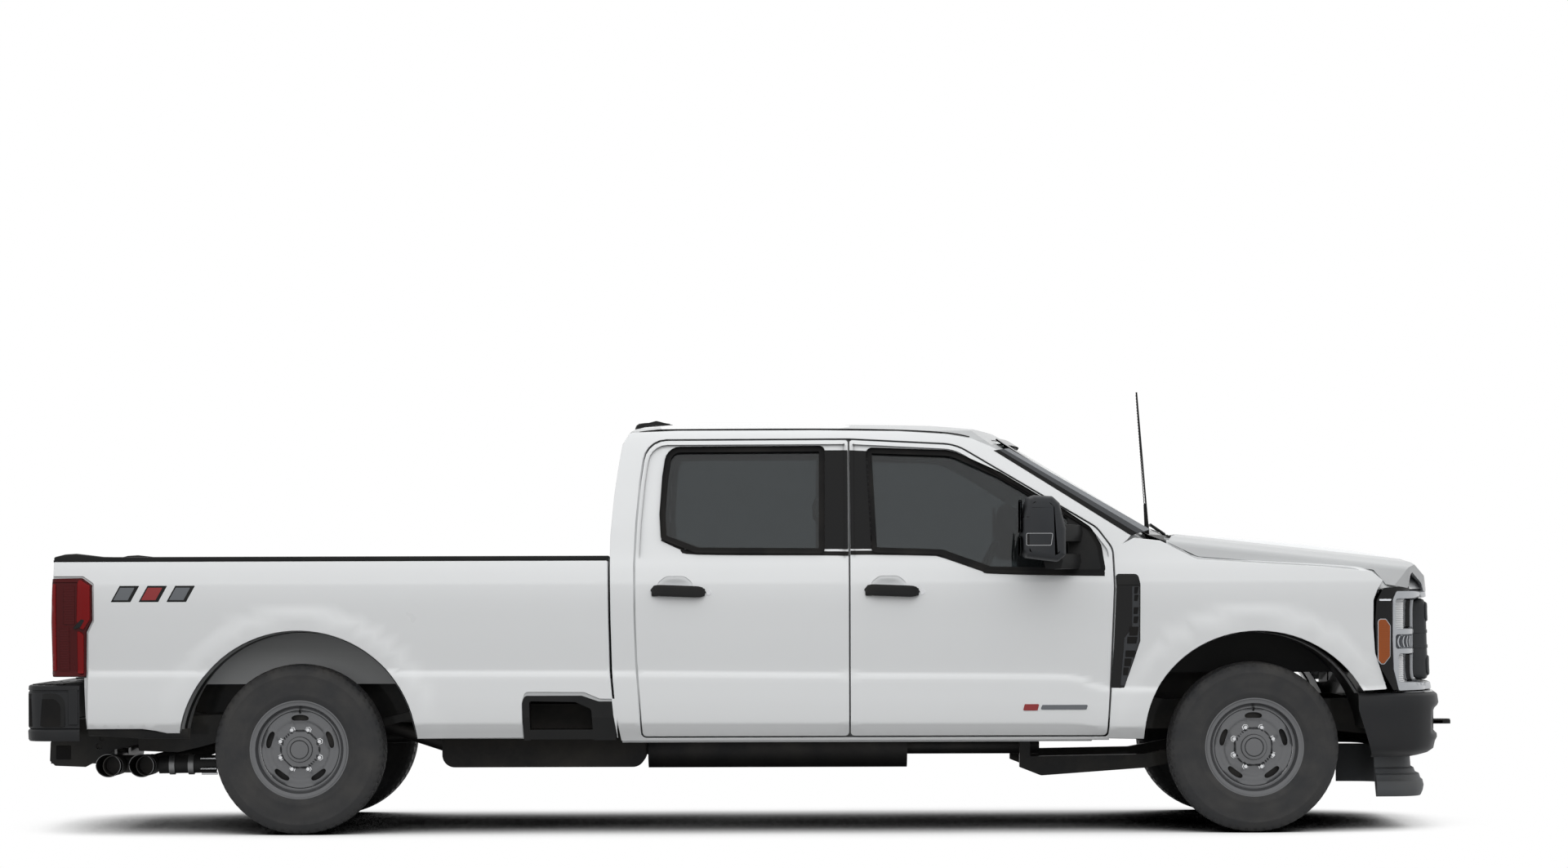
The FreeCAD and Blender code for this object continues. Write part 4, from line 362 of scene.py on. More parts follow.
def tube(name, points, radius, *materials, sides=12, ends=True):
    """Round bar along points, with a radius for all or for each."""
    centres = [Vector(p) for p in points]
    rings = []
    for index, centre in enumerate(centres):
        ahead = centres[min(index + 1, len(centres) - 1)] - centres[max(index - 1, 0)]
        ahead.normalize()
        side = ahead.cross(Vector((0, 0, 1)))
        if side.length < 0.05:
            side = ahead.cross(Vector((1, 0, 0)))
        side.normalize()
        up = side.cross(ahead)
        r = radius[index] if isinstance(radius, (list, tuple)) else radius
        rings.append([tuple(centre + side * (r * math.cos(2 * math.pi * k / sides))
                            + up * (r * math.sin(2 * math.pi * k / sides))) for k in range(sides)])
    return lofted(name, rings, *materials, ends=ends, crease=40)


def swept(points, steps=4):
    """Smooth run of points through the given ones."""
    out = []
    pts = [Vector(p) for p in points]
    for index in range(len(pts) - 1):
        a = pts[max(index - 1, 0)]
        b, c = pts[index], pts[index + 1]
        d = pts[min(index + 2, len(pts) - 1)]
        for k in range(steps):
            t = k / steps
            out.append(tuple(0.5 * ((2 * b) + (c - a) * t + (2 * a - 5 * b + 4 * c - d) * t * t
                                    + (3 * b - a - 3 * c + d) * t ** 3)))
    out.append(tuple(pts[-1]))
    return out


def spun(name, profile, x, y, side, *materials, steps=96, crease=30):
    """Ring turned about a wheel's axis from (radius, outward place) points."""
    rings = []
    for k in range(steps):
        angle = 2 * math.pi * k / steps
        rings.append([(x + r * math.cos(angle), y + side * out, TYRE_RADIUS + r * math.sin(angle))
                      for r, out in profile])
    rings.append(rings[0])
    return lofted(name, rings, *materials, closed=False, ends=False, crease=crease)


# Surfaces of the body

SIDE_LOW = ((425, 950), (455, 965), (500, 989), (528, 1000), (600, 1001), (690, 998), (730, 996), (746, 992),
            (762, 984))
SIDE_HIGH = ((762, 984), (790, 986), (850, 991), (950, 998), (1110, 1005), (1165, 1003), (1200, 996),
             (1250, 983), (1290, 969), (1320, 959), (1450, 921), (1600, 869), (1750, 811), (1850, 766),
             (1893, 738), (1912, 712))
CREASE_LINE = ((-1142, 772), (1469, 765), (2567, 754), (3566, 744), (3650, 733), (3764, 686), (3966, 682),
               (5100, 682))
NOSE_START = 5000.0
NOSE_DEPTH = 374.0
NOSE_POWER = 2.6
FRONT_AXLE = WHEELBASE


def body_half(x, z):
    """Half width of the painted body at a place along it and a height."""
    crease = along(CREASE_LINE, x)
    if z <= crease:
        half = along(SIDE_LOW, 425 + (z - 425) * (762 - 425) / (crease - 425))
    elif z < 1000:
        half = along(SIDE_HIGH, 762 + (z - crease) * (1000 - 762) / (1000 - crease))
    else:
        half = along(SIDE_HIGH, z)
    if x > NOSE_START:
        share = min((x - NOSE_START) / NOSE_DEPTH, 1.0)
        half *= (1 - share ** NOSE_POWER) ** (1 / NOSE_POWER)
    for centre in (0.0, FRONT_AXLE):
        reach = math.hypot(x - centre, z - TYRE_RADIUS)
        half += 15 * eased((690 - reach) / 90) * eased((1290 - z) / 120)
    return half


def turned_round(loop):
    """The outline running anticlockwise."""
    area = sum(a[0] * b[1] - b[0] * a[1] for a, b in zip(loop, loop[1:] + loop[:1]))
    return loop if area > 0 else loop[::-1]


def side_rows(x):
    """Heights of the body side's mesh rows at a place along it."""
    crease = along(CREASE_LINE, x)
    low = [425, 455, 480, 500, 514, 528, 560, 600, 645, 690, 712, 730, 739, 746, 754, 762]
    rows = [425 + (z - 425) * (crease - 425) / (762 - 425) for z in low]
    high = [770, 780, 795, 820, 850, 900, 950, 1000]
    rows += [crease + (z - 762) * (1000 - crease) / (1000 - 762) for z in high]
    return rows + [1050, 1090, 1120, 1145, 1165, 1183, 1200, 1225, 1250, 1270, 1290, 1320, 1360, 1405, 1450,
                   1500, 1550, 1600, 1650, 1700, 1750, 1800, 1850, 1872, 1893]


def side_place(a, b, depth, surface=body_half):
    """Point of the right-hand body side from its place along, height and depth."""
    return (a, -(surface(a, b) + SKIN_PROUD - depth), b)


def facing(place, a, b):
    """Outward normal of a surface laid out in two directions."""
    step = 3.0
    first = Vector(place(a + step, b, 0.0)) - Vector(place(a - step, b, 0.0))
    second = Vector(place(a, b + step, 0.0)) - Vector(place(a, b - step, 0.0))
    return first.cross(second).normalized()


def skin_panel(name, loop, *materials, place=side_place, rows=side_rows, holes=(), roll=2.5, back=24.0,
               grid=60.0, step=28.0, inward=False):
    """Skin of an outline laid on a surface, with rolled edges turned in behind it."""
    loops = [turned_round(fine(loop, step))] + [turned_round(fine(hole, step)) for hole in holes]
    firsts = [shrunk(loops[0], roll)] + [shrunk(hole, -roll) for hole in loops[1:]]
    points = []
    edges = []
    for ring in firsts:
        start = len(points)
        points += [Vector(p) for p in ring]
        edges += [(start + k, start + (k + 1) % len(ring)) for k in range(len(ring))]
    clear = min(grid, step) * 0.25
    low, high = min(p[1] for p in loop), max(p[1] for p in loop)
    a = math.floor(min(p[0] for p in loop) / grid) * grid
    while a < max(p[0] for p in loop):
        for b in rows(a):
            if not low < b < high:
                continue
            keep = inside(firsts[0], a, b) and not near_loop(firsts[0], a, b, clear)
            if keep and not any(inside(hole, a, b) or near_loop(hole, a, b, clear) for hole in firsts[1:]):
                points.append(Vector((a, b)))
        a += grid
    flat, _, triangles, _, _, _ = delaunay_2d_cdt(points, edges, [], 0, 0.01)
    turn = -1 if inward else 1
    verts = [place(p.x, p.y, 0.0) for p in flat]
    normals = [facing(place, p.x, p.y) * turn for p in flat]
    faces = []
    for triangle in triangles:
        a = sum(flat[k].x for k in triangle) / 3
        b = sum(flat[k].y for k in triangle) / 3
        if inside(firsts[0], a, b) and not any(inside(hole, a, b) for hole in firsts[1:]):
            faces.append(tuple(triangle)[::turn])
    for index, (ring, edge) in enumerate(zip(firsts, loops)):
        count = len(ring)
        start = len(verts)
        for depth, lean in ((0.0, 0.0), (roll, 1.0), (back, 1.0)):
            for k in range(count):
                at = ring[k] if depth == 0 else edge[k]
                ahead = Vector(place(*edge[(k + 1) % count], 0.0)) - Vector(place(*edge[k - 1], 0.0))
                up = facing(place, *at)
                out = ahead.cross(up).normalized() * (1 if index == 0 else -1)
                verts.append(place(*at, depth * turn))
                normals.append((up * turn * (1 - lean) + out * lean).normalized())
        for row in range(2):
            for k in range(count):
                one = start + row * count + k
                two = start + row * count + (k + 1) % count
                quad = (one, one + count, two + count, two)
                faces.append(quad[::turn] if index == 0 else quad[::-turn])
    mesh = bpy.data.meshes.new(name)
    mesh.from_pydata([spot(*v) for v in verts], [], faces)
    piece = shown(name, mesh, *materials)
    mesh.normals_split_custom_set_from_vertices(normals)
    return piece


def plate(name, loop, material, place, rows, roll, back, grid, step=28, **more):
    """Skin panel with level rows from (low, high, step)."""
    low, high, pitch = rows
    heights = [low + pitch * k for k in range(int((high - low) / pitch) + 1)]
    return skin_panel(name, loop, material, place=place, rows=lambda a: heights, roll=roll, back=back,
                      grid=grid, step=step, **more)


def band(name, loop, outer, inner, *materials, proud=2.0, place=side_place, roll=1.0, back=6.0, **more):
    """Ring along an outline, standing a little proud of the surface."""
    lifted = lambda a, b, depth: place(a, b, depth - proud)
    return skin_panel(name, shrunk(loop, -outer), *materials, place=lifted, holes=[shrunk(loop, inner)],
                      roll=roll, back=back, **more)


def raised(proud, place=side_place):
    """The same surface standing proud."""
    return lambda a, b, depth: place(a, b, depth - proud)


def side_strip(name, points, width, material, proud=8.0, lift=3.0, surface=body_half):
    """Narrow raised band on the right-hand body along (x, z) points."""
    rings = []
    for index, (x, z) in enumerate(points):
        ahead = Vector(points[min(index + 1, len(points) - 1)]) - Vector(points[max(index - 1, 0)])
        across = Vector((-ahead.y, ahead.x)).normalized() * width / 2
        ring = []
        for share, rise in ((-1, 0), (-0.8, lift), (0.8, lift), (1, 0)):
            a, b = x + across.x * share, z + across.y * share
            ring.append((a, -(surface(a, b) + proud - lift + rise), b))
        rings.append(ring)
    return sheet(name, rings, material, crease=60)


# Finishes

def tint(red, green, blue):
    """Colour from its 0 to 255 values."""
    return tuple(((c / 255 + 0.055) / 1.055) ** 2.4 if c > 10 else c / 255 / 12.92
                 for c in (red, green, blue)) + (1.0,)


def wired(tree, kind, inputs=(), **settings):
    """New node of a tree, with its settings and inputs."""
    node = tree.nodes.new("ShaderNode" + kind)
    for key, value in settings.items():
        setattr(node, key, value)
    return plugged(tree, node, inputs)


def plugged(tree, node, inputs):
    """The node with each input set to a value or joined to another node's output."""
    for key, value in dict(inputs).items():
        if isinstance(value, bpy.types.NodeSocket):
            tree.links.new(value, node.inputs[key])
        else:
            node.inputs[key].default_value = value
    return node


def effect(name, takes, gives):
    """Empty node group with named inputs and outputs."""
    group = bpy.data.node_groups.new(name, "ShaderNodeTree")
    kinds = {"colour": "NodeSocketColor", "value": "NodeSocketFloat"}
    for label, kind, start in takes:
        socket = group.interface.new_socket(label, in_out="INPUT", socket_type=kinds[kind])
        socket.default_value = start
    for label, kind in gives:
        group.interface.new_socket(label, in_out="OUTPUT", socket_type=kinds[kind])
    return group, group.nodes.new("NodeGroupInput").outputs, group.nodes.new("NodeGroupOutput")


def grain_effect():
    """Fine moulded or sprayed grain, with the gloss changing a little over it."""
    tree, takes, gives = effect("surface_grain", (("Scale", "value", 300.0), ("Roughness", "value", 0.5),
                                                  ("Spread", "value", 0.06)),
                                (("Height", "value"), ("Roughness", "value")))
    place = wired(tree, "TexCoord").outputs["Object"]
    grain = wired(tree, "TexNoise", {"Detail": 3.0, "Vector": place, "Scale": takes["Scale"]})
    patches = wired(tree, "TexNoise", {"Scale": 3.5, "Detail": 4.0, "Vector": place})
    centred = wired(tree, "Math", {0: patches.outputs["Fac"], 1: 0.5}, operation="SUBTRACT")
    spread = wired(tree, "Math", {0: centred.outputs[0], 1: takes["Spread"], 2: takes["Roughness"]},
                   operation="MULTIPLY_ADD")
    plugged(tree, gives, {"Height": grain.outputs["Fac"], "Roughness": spread.outputs[0]})
    return tree


def dust_effect():
    """Thin dust that gathers in patches and on faces that look up."""
    tree, takes, gives = effect("road_dust", (("Color", "colour", (0.5, 0.5, 0.5, 1)),
                                              ("Dust", "colour", (0.3, 0.28, 0.25, 1)),
                                              ("Amount", "value", 0.1), ("Scale", "value", 6.0)),
                                (("Color", "colour"), ("Mask", "value")))
    place = wired(tree, "TexCoord").outputs["Object"]
    patches = wired(tree, "TexNoise", {"Detail": 6.0, "Vector": place, "Scale": takes["Scale"]})
    split = wired(tree, "SeparateXYZ", {0: wired(tree, "NewGeometry").outputs["Normal"]})
    upward = wired(tree, "MapRange", {"From Min": -0.4, "To Min": 0.35, "Value": split.outputs["Z"]})
    spots = wired(tree, "MapRange", {"From Min": 0.35, "From Max": 0.75, "Value": patches.outputs["Fac"]})
    both = wired(tree, "Math", {0: upward.outputs[0], 1: spots.outputs[0]}, operation="MULTIPLY")
    mask = wired(tree, "Math", {0: both.outputs[0], 1: takes["Amount"]}, operation="MULTIPLY")
    mixed = wired(tree, "Mix", {"Factor": mask.outputs[0], "A": takes["Color"], "B": takes["Dust"]},
                  data_type="RGBA")
    plugged(tree, gives, {"Color": mixed.outputs["Result"], "Mask": mask.outputs[0]})
    return tree


def weave_effect():
    """Woven seat cloth: crossing threads with a little mixed colour."""
    tree, takes, gives = effect("seat_weave", (("Color", "colour", (0.1, 0.1, 0.1, 1)),
                                               ("Thread", "value", 450.0)),
                                (("Color", "colour"), ("Height", "value")))
    place = wired(tree, "TexCoord").outputs["Object"]
    waves = [wired(tree, "TexWave", {"Distortion": 1.2, "Vector": place, "Scale": takes["Thread"]},
                   bands_direction=direction).outputs["Fac"] for direction in ("X", "Y", "Z")]
    first = wired(tree, "Math", {0: waves[0], 1: waves[1]}, operation="MAXIMUM")
    height = wired(tree, "Math", {0: first.outputs[0], 1: waves[2]}, operation="MULTIPLY")
    darker = wired(tree, "Mix", {"B": (0.45, 0.45, 0.46, 1), "Factor": height.outputs[0],
                                 "A": takes["Color"]}, data_type="RGBA", blend_type="MULTIPLY")
    plugged(tree, gives, {"Color": darker.outputs["Result"], "Height": height.outputs[0]})
    return tree


# Name: colour, roughness, metallic, coat, grain scale, grain height in millimetres, dust
FINISH_TABLE = {
    "paint_white": ((238, 240, 241), 0.30, 0.0, 0.85, 500.0, 0.0, 0.02),
    # body paint darkened as painted shade, for inner and tucked-in painted surfaces
    "paint_inner": ((196, 198, 199), 0.45, 0.0, 0.2, 500.0, 0.0, 0.05),
    "frame_black": ((26, 27, 28), 0.55, 0.0, 0.1, 220.0, 0.25, 0.35),
    "cast_iron": ((44, 44, 45), 0.62, 0.6, 0.0, 160.0, 0.5, 0.35),
    "dull_steel": ((120, 121, 122), 0.42, 0.85, 0.0, 260.0, 0.15, 0.2),
    "tip_steel": ((176, 177, 179), 0.26, 0.95, 0.0, 300.0, 0.05, 0.08),
    "chrome": ((205, 206, 208), 0.10, 1.0, 0.0, 400.0, 0.0, 0.02),
    "bumper_black": ((40, 41, 43), 0.50, 0.0, 0.0, 700.0, 0.12, 0.05),
    "trim_black": ((22, 23, 24), 0.48, 0.0, 0.0, 900.0, 0.10, 0.08),
    "gloss_black": ((10, 10, 11), 0.16, 0.0, 0.1, 500.0, 0.0, 0.0),
    "rubber_seal": ((17, 17, 18), 0.72, 0.0, 0.0, 500.0, 0.08, 0.08),
    "mirror_shell": ((52, 54, 57), 0.50, 0.0, 0.0, 800.0, 0.12, 0.08),
    "grille_grey": ((58, 60, 63), 0.46, 0.0, 0.1, 700.0, 0.08, 0.08),
    # near-black that paints the shade inside openings, slots and recesses
    "grille_back": ((12, 12, 13), 0.75, 0.0, 0.0, 500.0, 0.1, 0.1),
    "dam_grey": ((88, 91, 94), 0.62, 0.0, 0.0, 600.0, 0.15, 0.25),
    "tank_plastic": ((20, 20, 21), 0.60, 0.0, 0.0, 400.0, 0.2, 0.3),
    "lamp_silver": ((172, 175, 179), 0.30, 0.6, 0.2, 500.0, 0.0, 0.02),
    "lamp_reflector": ((214, 216, 220), 0.12, 0.95, 0.0, 400.0, 0.0, 0.0),
    "lamp_amber": ((158, 76, 10), 0.24, 0.0, 0.3, 300.0, 0.0, 0.0),
    "lamp_red": ((128, 3, 6), 0.28, 0.0, 0.0, 300.0, 0.0, 0.0),
    "lamp_dark_red": ((74, 1, 4), 0.28, 0.0, 0.0, 300.0, 0.0, 0.0),
    "lamp_pale": ((214, 216, 218), 0.18, 0.0, 0.7, 300.0, 0.0, 0.0),
    "wheel_silver": ((104, 105, 107), 0.30, 0.7, 0.10, 600.0, 0.0, 0.05),
    "wheel_dark": ((40, 41, 42), 0.45, 0.4, 0.0, 500.0, 0.1, 0.15),
    "bed_liner": ((30, 31, 32), 0.80, 0.0, 0.0, 160.0, 0.9, 0.2),
    "cabin_plastic": ((48, 49, 52), 0.60, 0.0, 0.0, 900.0, 0.15, 0.05),
    "cabin_carpet": ((34, 34, 36), 0.95, 0.0, 0.0, 1200.0, 1.2, 0.1),
    # mid and light greys of the painted reflection along the windscreen's side
    "screen_reflection_band": ((74, 76, 79), 0.20, 0.0, 0.2, 500.0, 0.0, 0.0),
    "screen_reflection_light": ((140, 143, 147), 0.20, 0.0, 0.2, 500.0, 0.0, 0.0),
    "stripe_red": ((150, 34, 36), 0.30, 0.0, 0.6, 500.0, 0.0, 0.03),
    "stripe_grey": ((92, 96, 101), 0.32, 0.2, 0.6, 500.0, 0.0, 0.03),
    "mirror_glass": ((196, 200, 204), 0.04, 1.0, 0.0, 400.0, 0.0, 0.02),
}
GROUPS = {}
MADE = {}


def shader_group(tree, name, inputs):
    """Node of one of the shared effects, made the first time that it is asked for."""
    makers = {"surface_grain": grain_effect, "road_dust": dust_effect, "seat_weave": weave_effect}
    if name not in GROUPS:
        GROUPS[name] = makers[name]()
    return wired(tree, "Group", inputs, node_tree=GROUPS[name])


def finish(name):
    """Material of one finish, made the first time that it is asked for."""
    special = {"tyre_rubber": tyre_rubber, "seat_cloth": seat_cloth, "tinted_glass": tinted_glass,
               "screen_glass": screen_glass}
    if name not in MADE:
        MADE[name] = special[name]() if name in special else table_finish(name)
    return MADE[name]


def table_finish(name):
    """Material from its row of the table; the body colour comes from the settings."""
    colour, roughness, metallic, coat, scale, height, dust = FINISH_TABLE[name]
    if name == "paint_white":
        colour = [c * 255 for c in bpy.context.scene.pickup_paint.colour]
    fixed = {"Metallic": metallic, "Coat Weight": coat, "Coat Roughness": 0.04}
    if sum(colour) < 260 and metallic < 0.3:
        fixed["Specular IOR Level"] = 0.2
    return grained(name, (scale, roughness, 0.10), (colour, (128, 122, 112), dust), fixed, height)


def grained(name, grain, dust, fixed, height=0.0, dust_scale=6.0):
    """Material with grained gloss, dusted colour and fixed inputs."""
    material, tree, shader = fresh(name)
    coarse = shader_group(tree, "surface_grain", zip(("Scale", "Roughness", "Spread"), grain))
    dusty = shader_group(tree, "road_dust", {"Color": tint(*dust[0]), "Dust": tint(*dust[1]),
                                             "Amount": dust[2], "Scale": dust_scale})
    plugged(tree, shader, fixed)
    plugged(tree, shader, {"Roughness": coarse.outputs["Roughness"], "Base Color": dusty.outputs["Color"]})
    if height:
        bump(tree, shader, coarse.outputs["Height"], height)
    return material


def fresh(name):
    """New material with its node tree and main shader."""
    material = bpy.data.materials.new(name)
    material.use_nodes = True
    return material, material.node_tree, material.node_tree.nodes["Principled BSDF"]


def bump(tree, shader, height, depth):
    """Bump of a shader, its depth in millimetres."""
    node = wired(tree, "Bump", {"Strength": 0.6, "Distance": depth / 1000, "Height": height})
    plugged(tree, shader, {"Normal": node.outputs["Normal"]})


def tyre_rubber():
    """Dusty rubber."""
    return grained("tyre_rubber", (420.0, 0.66, 0.16), ((34, 35, 37), (108, 104, 98), 0.30), {}, 0.35, 9.0)


def seat_cloth():
    """Woven cloth of the seats."""
    material, tree, shader = fresh("seat_cloth")
    weave = shader_group(tree, "seat_weave", {"Color": tint(92, 92, 95)})
    plugged(tree, shader, {"Roughness": 0.9, "Sheen Weight": 0.25, "Base Color": weave.outputs["Color"]})
    bump(tree, shader, weave.outputs["Height"], 0.5)
    return material


def glass_finish(name, colour, strength):
    """Clear material with a thin dust film."""
    return grained(name, (12.0, 0.03, 0.02), (colour, (150, 150, 148), 0.03),
                   {"Transmission Weight": strength, "IOR": 1.45})


def tinted_glass():
    """Glass of the doors."""
    return glass_finish("tinted_glass", (104, 110, 112), 0.94)


def screen_glass():
    """Glass of the windscreen and the back window."""
    return glass_finish("screen_glass", (176, 186, 186), 0.97)


# Fitting

def fit(piece, body="chassis", nodes=()):
    """Joins a piece to its body and hides the nodes that it replaces."""
    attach(piece, body)
    if nodes:
        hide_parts(*nodes)
    return piece


def fit_both(piece, body="chassis", nodes=()):
    """Fits a right-hand piece and its mirror image on the left."""
    other = crossed(piece)
    fit(other, body.format("left"), [n.format("left") for n in nodes])
    return fit(piece, body.format("right"), [n.format("right") for n in nodes])


# Stage

def camera_and_floor(stage):
    """Camera of the photograph and the studio floor."""
    data = bpy.data.cameras.new("photo_camera")
    camera = bpy.data.objects.new("photo_camera", data)
    bpy.context.scene.collection.objects.link(camera)
    camera.location = spot(stage.camera_ahead * 1000, -stage.camera_distance * 1000, stage.camera_height
                           * 1000)
    camera.rotation_euler = (math.radians(90), math.radians(stage.camera_roll), 0)
    data.lens = stage.lens
    data.sensor_width = 36.0
    data.shift_y = stage.shift_up
    data.clip_end = 400.0
    bpy.context.scene.camera = camera
    bpy.ops.mesh.primitive_grid_add(x_subdivisions=2, y_subdivisions=2, size=240.0, location=(0, 0, 0))
    floor = bpy.context.object
    floor.name = "studio_floor"
    floor.data.materials.append(floor_finish(stage))


def floor_finish(stage):
    """Floor that is white to the camera outside the truck's contact shadow, and dim to the truck."""
    material, tree, shader = fresh("studio_floor")
    tree.nodes.remove(shader)
    cover = wired(tree, "AmbientOcclusion", {"Distance": stage.shadow_reach}, samples=24)
    level = wired(tree, "MapRange", {"From Min": stage.shadow_dark, "From Max": stage.shadow_edge,
                                     "Value": cover.outputs["AO"]})
    glow = wired(tree, "Emission", {"Strength": level.outputs[0]})
    dim = wired(tree, "BsdfDiffuse", {"Color": (stage.floor_bounce, stage.floor_bounce, stage.floor_bounce,
                                                1)})
    split_rays(tree, dim, glow, "Material Output")
    return material


def split_rays(tree, ambient, shown_as, output):
    """Shows one shader to the rays that see the background and the other to the rest."""
    rays = wired(tree, "LightPath").outputs
    first = wired(tree, "Math", {0: rays["Is Camera Ray"], 1: rays["Is Glossy Ray"]}, operation="MAXIMUM")
    second = wired(tree, "Math", {0: first.outputs[0], 1: rays["Is Transmission Ray"]}, operation="MAXIMUM")
    pick = wired(tree, "MixShader", {"Fac": second.outputs[0], 1: ambient.outputs[0], 2: shown_as.outputs[0]})
    plugged(tree, tree.nodes[output], {"Surface": pick.outputs[0]})


def studio_light(stage):
    """Soft even world that is plain white to the camera, and two large soft panels."""
    world = bpy.data.worlds.new("studio")
    bpy.context.scene.world = world
    world.use_nodes = True
    tree = world.node_tree
    split = wired(tree, "SeparateXYZ", {0: wired(tree, "TexCoord").outputs["Generated"]})
    level = wired(tree, "MapRange", {"From Min": 0.0, "To Min": stage.light_low, "To Max": stage.light_high,
                                     "Value": split.outputs["Z"]})
    ambient = plugged(tree, tree.nodes["Background"], {"Color": (1, 1, 1, 1), "Strength": level.outputs[0]})
    white = wired(tree, "Background", {"Color": (1, 1, 1, 1)})
    split_rays(tree, ambient, white, "World Output")
    for name, place_at in (("key_panel", (2500, -9000, 6500)), ("fill_panel", (2500, 9000, 6500))):
        data = bpy.data.lights.new(name, "AREA")
        data.size = 8.0
        data.energy = stage.key_power
        lamp = bpy.data.objects.new(name, data)
        bpy.context.scene.collection.objects.link(lamp)
        lamp.location = spot(*place_at)
        lamp.rotation_euler = (spot(2200, 0, 900) - lamp.location).to_track_quat("-Z", "Y").to_euler()
        lamp.visible_camera = False
        lamp.visible_glossy = False


# Carried-over parts of the frame

CARRIED = {
    "paint_white": "tailgate",
    # the under-skin body panels take the body paint darkened as painted shade
    "paint_inner": "cab_side_right cab_side_left cab_sills roof_panel hood bedsides",
    "frame_black": "frame_rails frame_crossmembers springs_and_dampers radiator_support hitch_receiver "
                   "tow_hooks bed_headboard",
    "cast_iron": "front_axle rear_axle knuckle_left knuckle_right driveline exhaust",
    "dull_steel": "tie_rod",
    "trim_black": "antennas bed_rail_caps bed_steps cowl_panel wheel_liners",
    "bumper_black": "rear_bumper",
    "dam_grey": "air_dam",
    "bed_liner": "bed_floor",
    "tank_plastic": "fuel_tank",
    "cabin_plastic": "dashboard",
    "cabin_carpet": "cab_floor",
    "tinted_glass": "glass_front_left glass_front_right glass_rear_left glass_rear_right",
    "screen_glass": "cab_glass",
}


def finish_frame_parts():
    """Finish of each node carried over from the frame."""
    for name, node in frame["nodes"].items():
        wanted = next((key for key, names in CARRIED.items() if name in names.split()), "trim_black")
        slots = node.data.materials
        if len(slots) == 0:
            slots.append(finish(wanted))
        for index in range(len(slots)):
            node.material_slots[index].link = "OBJECT"
            node.material_slots[index].material = finish(wanted)


# Side outlines, millimetres ahead of the rear axle and above the ground

FRONT_DOOR = ((2582, 458, 19), (2582, 1849, 13), (3082, 1823, 220), (3735, 1428, 120), (3808, 1330, 83),
              (3813, 1149), (3795, 690), (3779, 458, 19))
REAR_DOOR = ((1610, 458, 19), (1596, 640), (1584, 800), (1577, 1000), (1575, 1268), (1584, 1460),
             (1601, 1653), (1628, 1847, 110), (2575, 1849, 13), (2575, 458, 19))
FRONT_WINDOW = ((2693, 1326, 17), (2671, 1800, 17), (3062, 1786, 195), (3285, 1683), (3440, 1588),
                (3585, 1503), (3700, 1424, 60), (3745, 1345, 60), (3763, 1224, 16), (3238, 1234, 56),
                (3010, 1315, 56))
REAR_WINDOW = ((1708, 1388, 12), (1701, 1500), (1713, 1680), (1732, 1806, 60), (2453, 1809, 14),
               (2450, 1322, 14), (1865, 1327, 60))
LAMP_EDGE = ((-982, 739), (-979, 950), (-952, 1006), (-952, 1180, 14), (-1002, 1214, 14), (-1141, 1214, 6))


def arc(x, radius, start, end, count=30):
    """Part of a circle about a wheel's axis, angles in degrees."""
    angles = [math.radians(start + (end - start) * k / count) for k in range(count + 1)]
    return [(x + radius * math.cos(t), TYRE_RADIUS + radius * math.sin(t)) for t in angles]


def fender_loop():
    """Outline of the front fender."""
    reach = ((0, 575), (28, 569), (60, 555), (90, 545), (120, 540), (150, 532), (176, 519))
    rim = []
    for k in range(35):
        turn = 27.5 + (175.5 - 27.5) * k / 34
        radius = along(reach, turn)
        rim.append((FRONT_AXLE + radius * math.cos(math.radians(turn)),
                    TYRE_RADIUS + radius * math.sin(math.radians(turn))))
    edge = ((3786, 441, 8), (3802, 690), (3820, 1149), (3816, 1335, 40), (3911, 1382, 28), (4034, 1368, 20),
            (4202, 1282, 57), (4524, 1261), (4790, 1245), (5018, 1222, 28), (5070, 1178, 6), (5043, 1136),
            (5024, 1087, 40), (5024, 960), (5033, 839, 60), (5060, 762), (5090, 670, 6), (4976, 664, 6))
    return rounded(edge) + rim


def bedside_loop():
    """Outline of the bedside."""
    edge = ((-985, 500, 6),) + LAMP_EDGE + ((-1141, 1282, 4), (1446, 1282, 6), (1450, 1000), (1455, 765),
                                            (1476, 560, 43), (1494, 452, 6), (1489, 452), (1487, 634),
                                            (1408, 636, 10), (1336, 666, 20), (1060, 668, 21), (1046, 615),
                                            (1049, 452, 6))
    bottom = ((-612, 480), (-671, 492, 30), (-728, 500, 30))
    return rounded(edge) + arc(0, 558, 5.2, 171.8, 40) + rounded(bottom + ((-900, 500),))[:-1] + [(-900, 500)]


def cab_ring_loop():
    """Outer outline of the cab side."""
    edge = ((1509, 436, 10), (1492, 525, 60), (1476, 655, 60), (1467, 765), (1461, 1002), (1457, 1269),
            (1459, 1400), (1476, 1595), (1498, 1750), (1512, 1830), (1545, 1887, 30), (1769, 1897),
            (2427, 1898), (2813, 1892), (3045, 1877, 200), (3160, 1855), (3244, 1819), (3388, 1745),
            (3577, 1608), (3765, 1484), (3899, 1394), (3880, 1372), (3840, 1340), (3824, 1150), (3806, 690),
            (3790, 436))
    return rounded(edge)


def door_pair_loop():
    """Opening of both doors in the cab side."""
    edge = ((1603, 451, 26), (1589, 640), (1577, 800), (1570, 1000), (1568, 1268), (1577, 1461),
            (1594, 1654), (1621, 1854, 117), (2582, 1856), (3084, 1830, 227), (3740, 1434, 127),
            (3815, 1332, 90), (3820, 1149), (3802, 690), (3786, 451, 20))
    return rounded(edge)


# Doors

FRONT_HANDLE = 2776
REAR_HANDLE = 1778
CARD_DEEP = ((450, 96), (1180, 96), (1270, 60), (1320, 34), (1850, 30))


def card_place(a, b, depth):
    """Point of a door's inner face."""
    return (a, -(body_half(a, b) - along(CARD_DEEP, b) - depth), b)


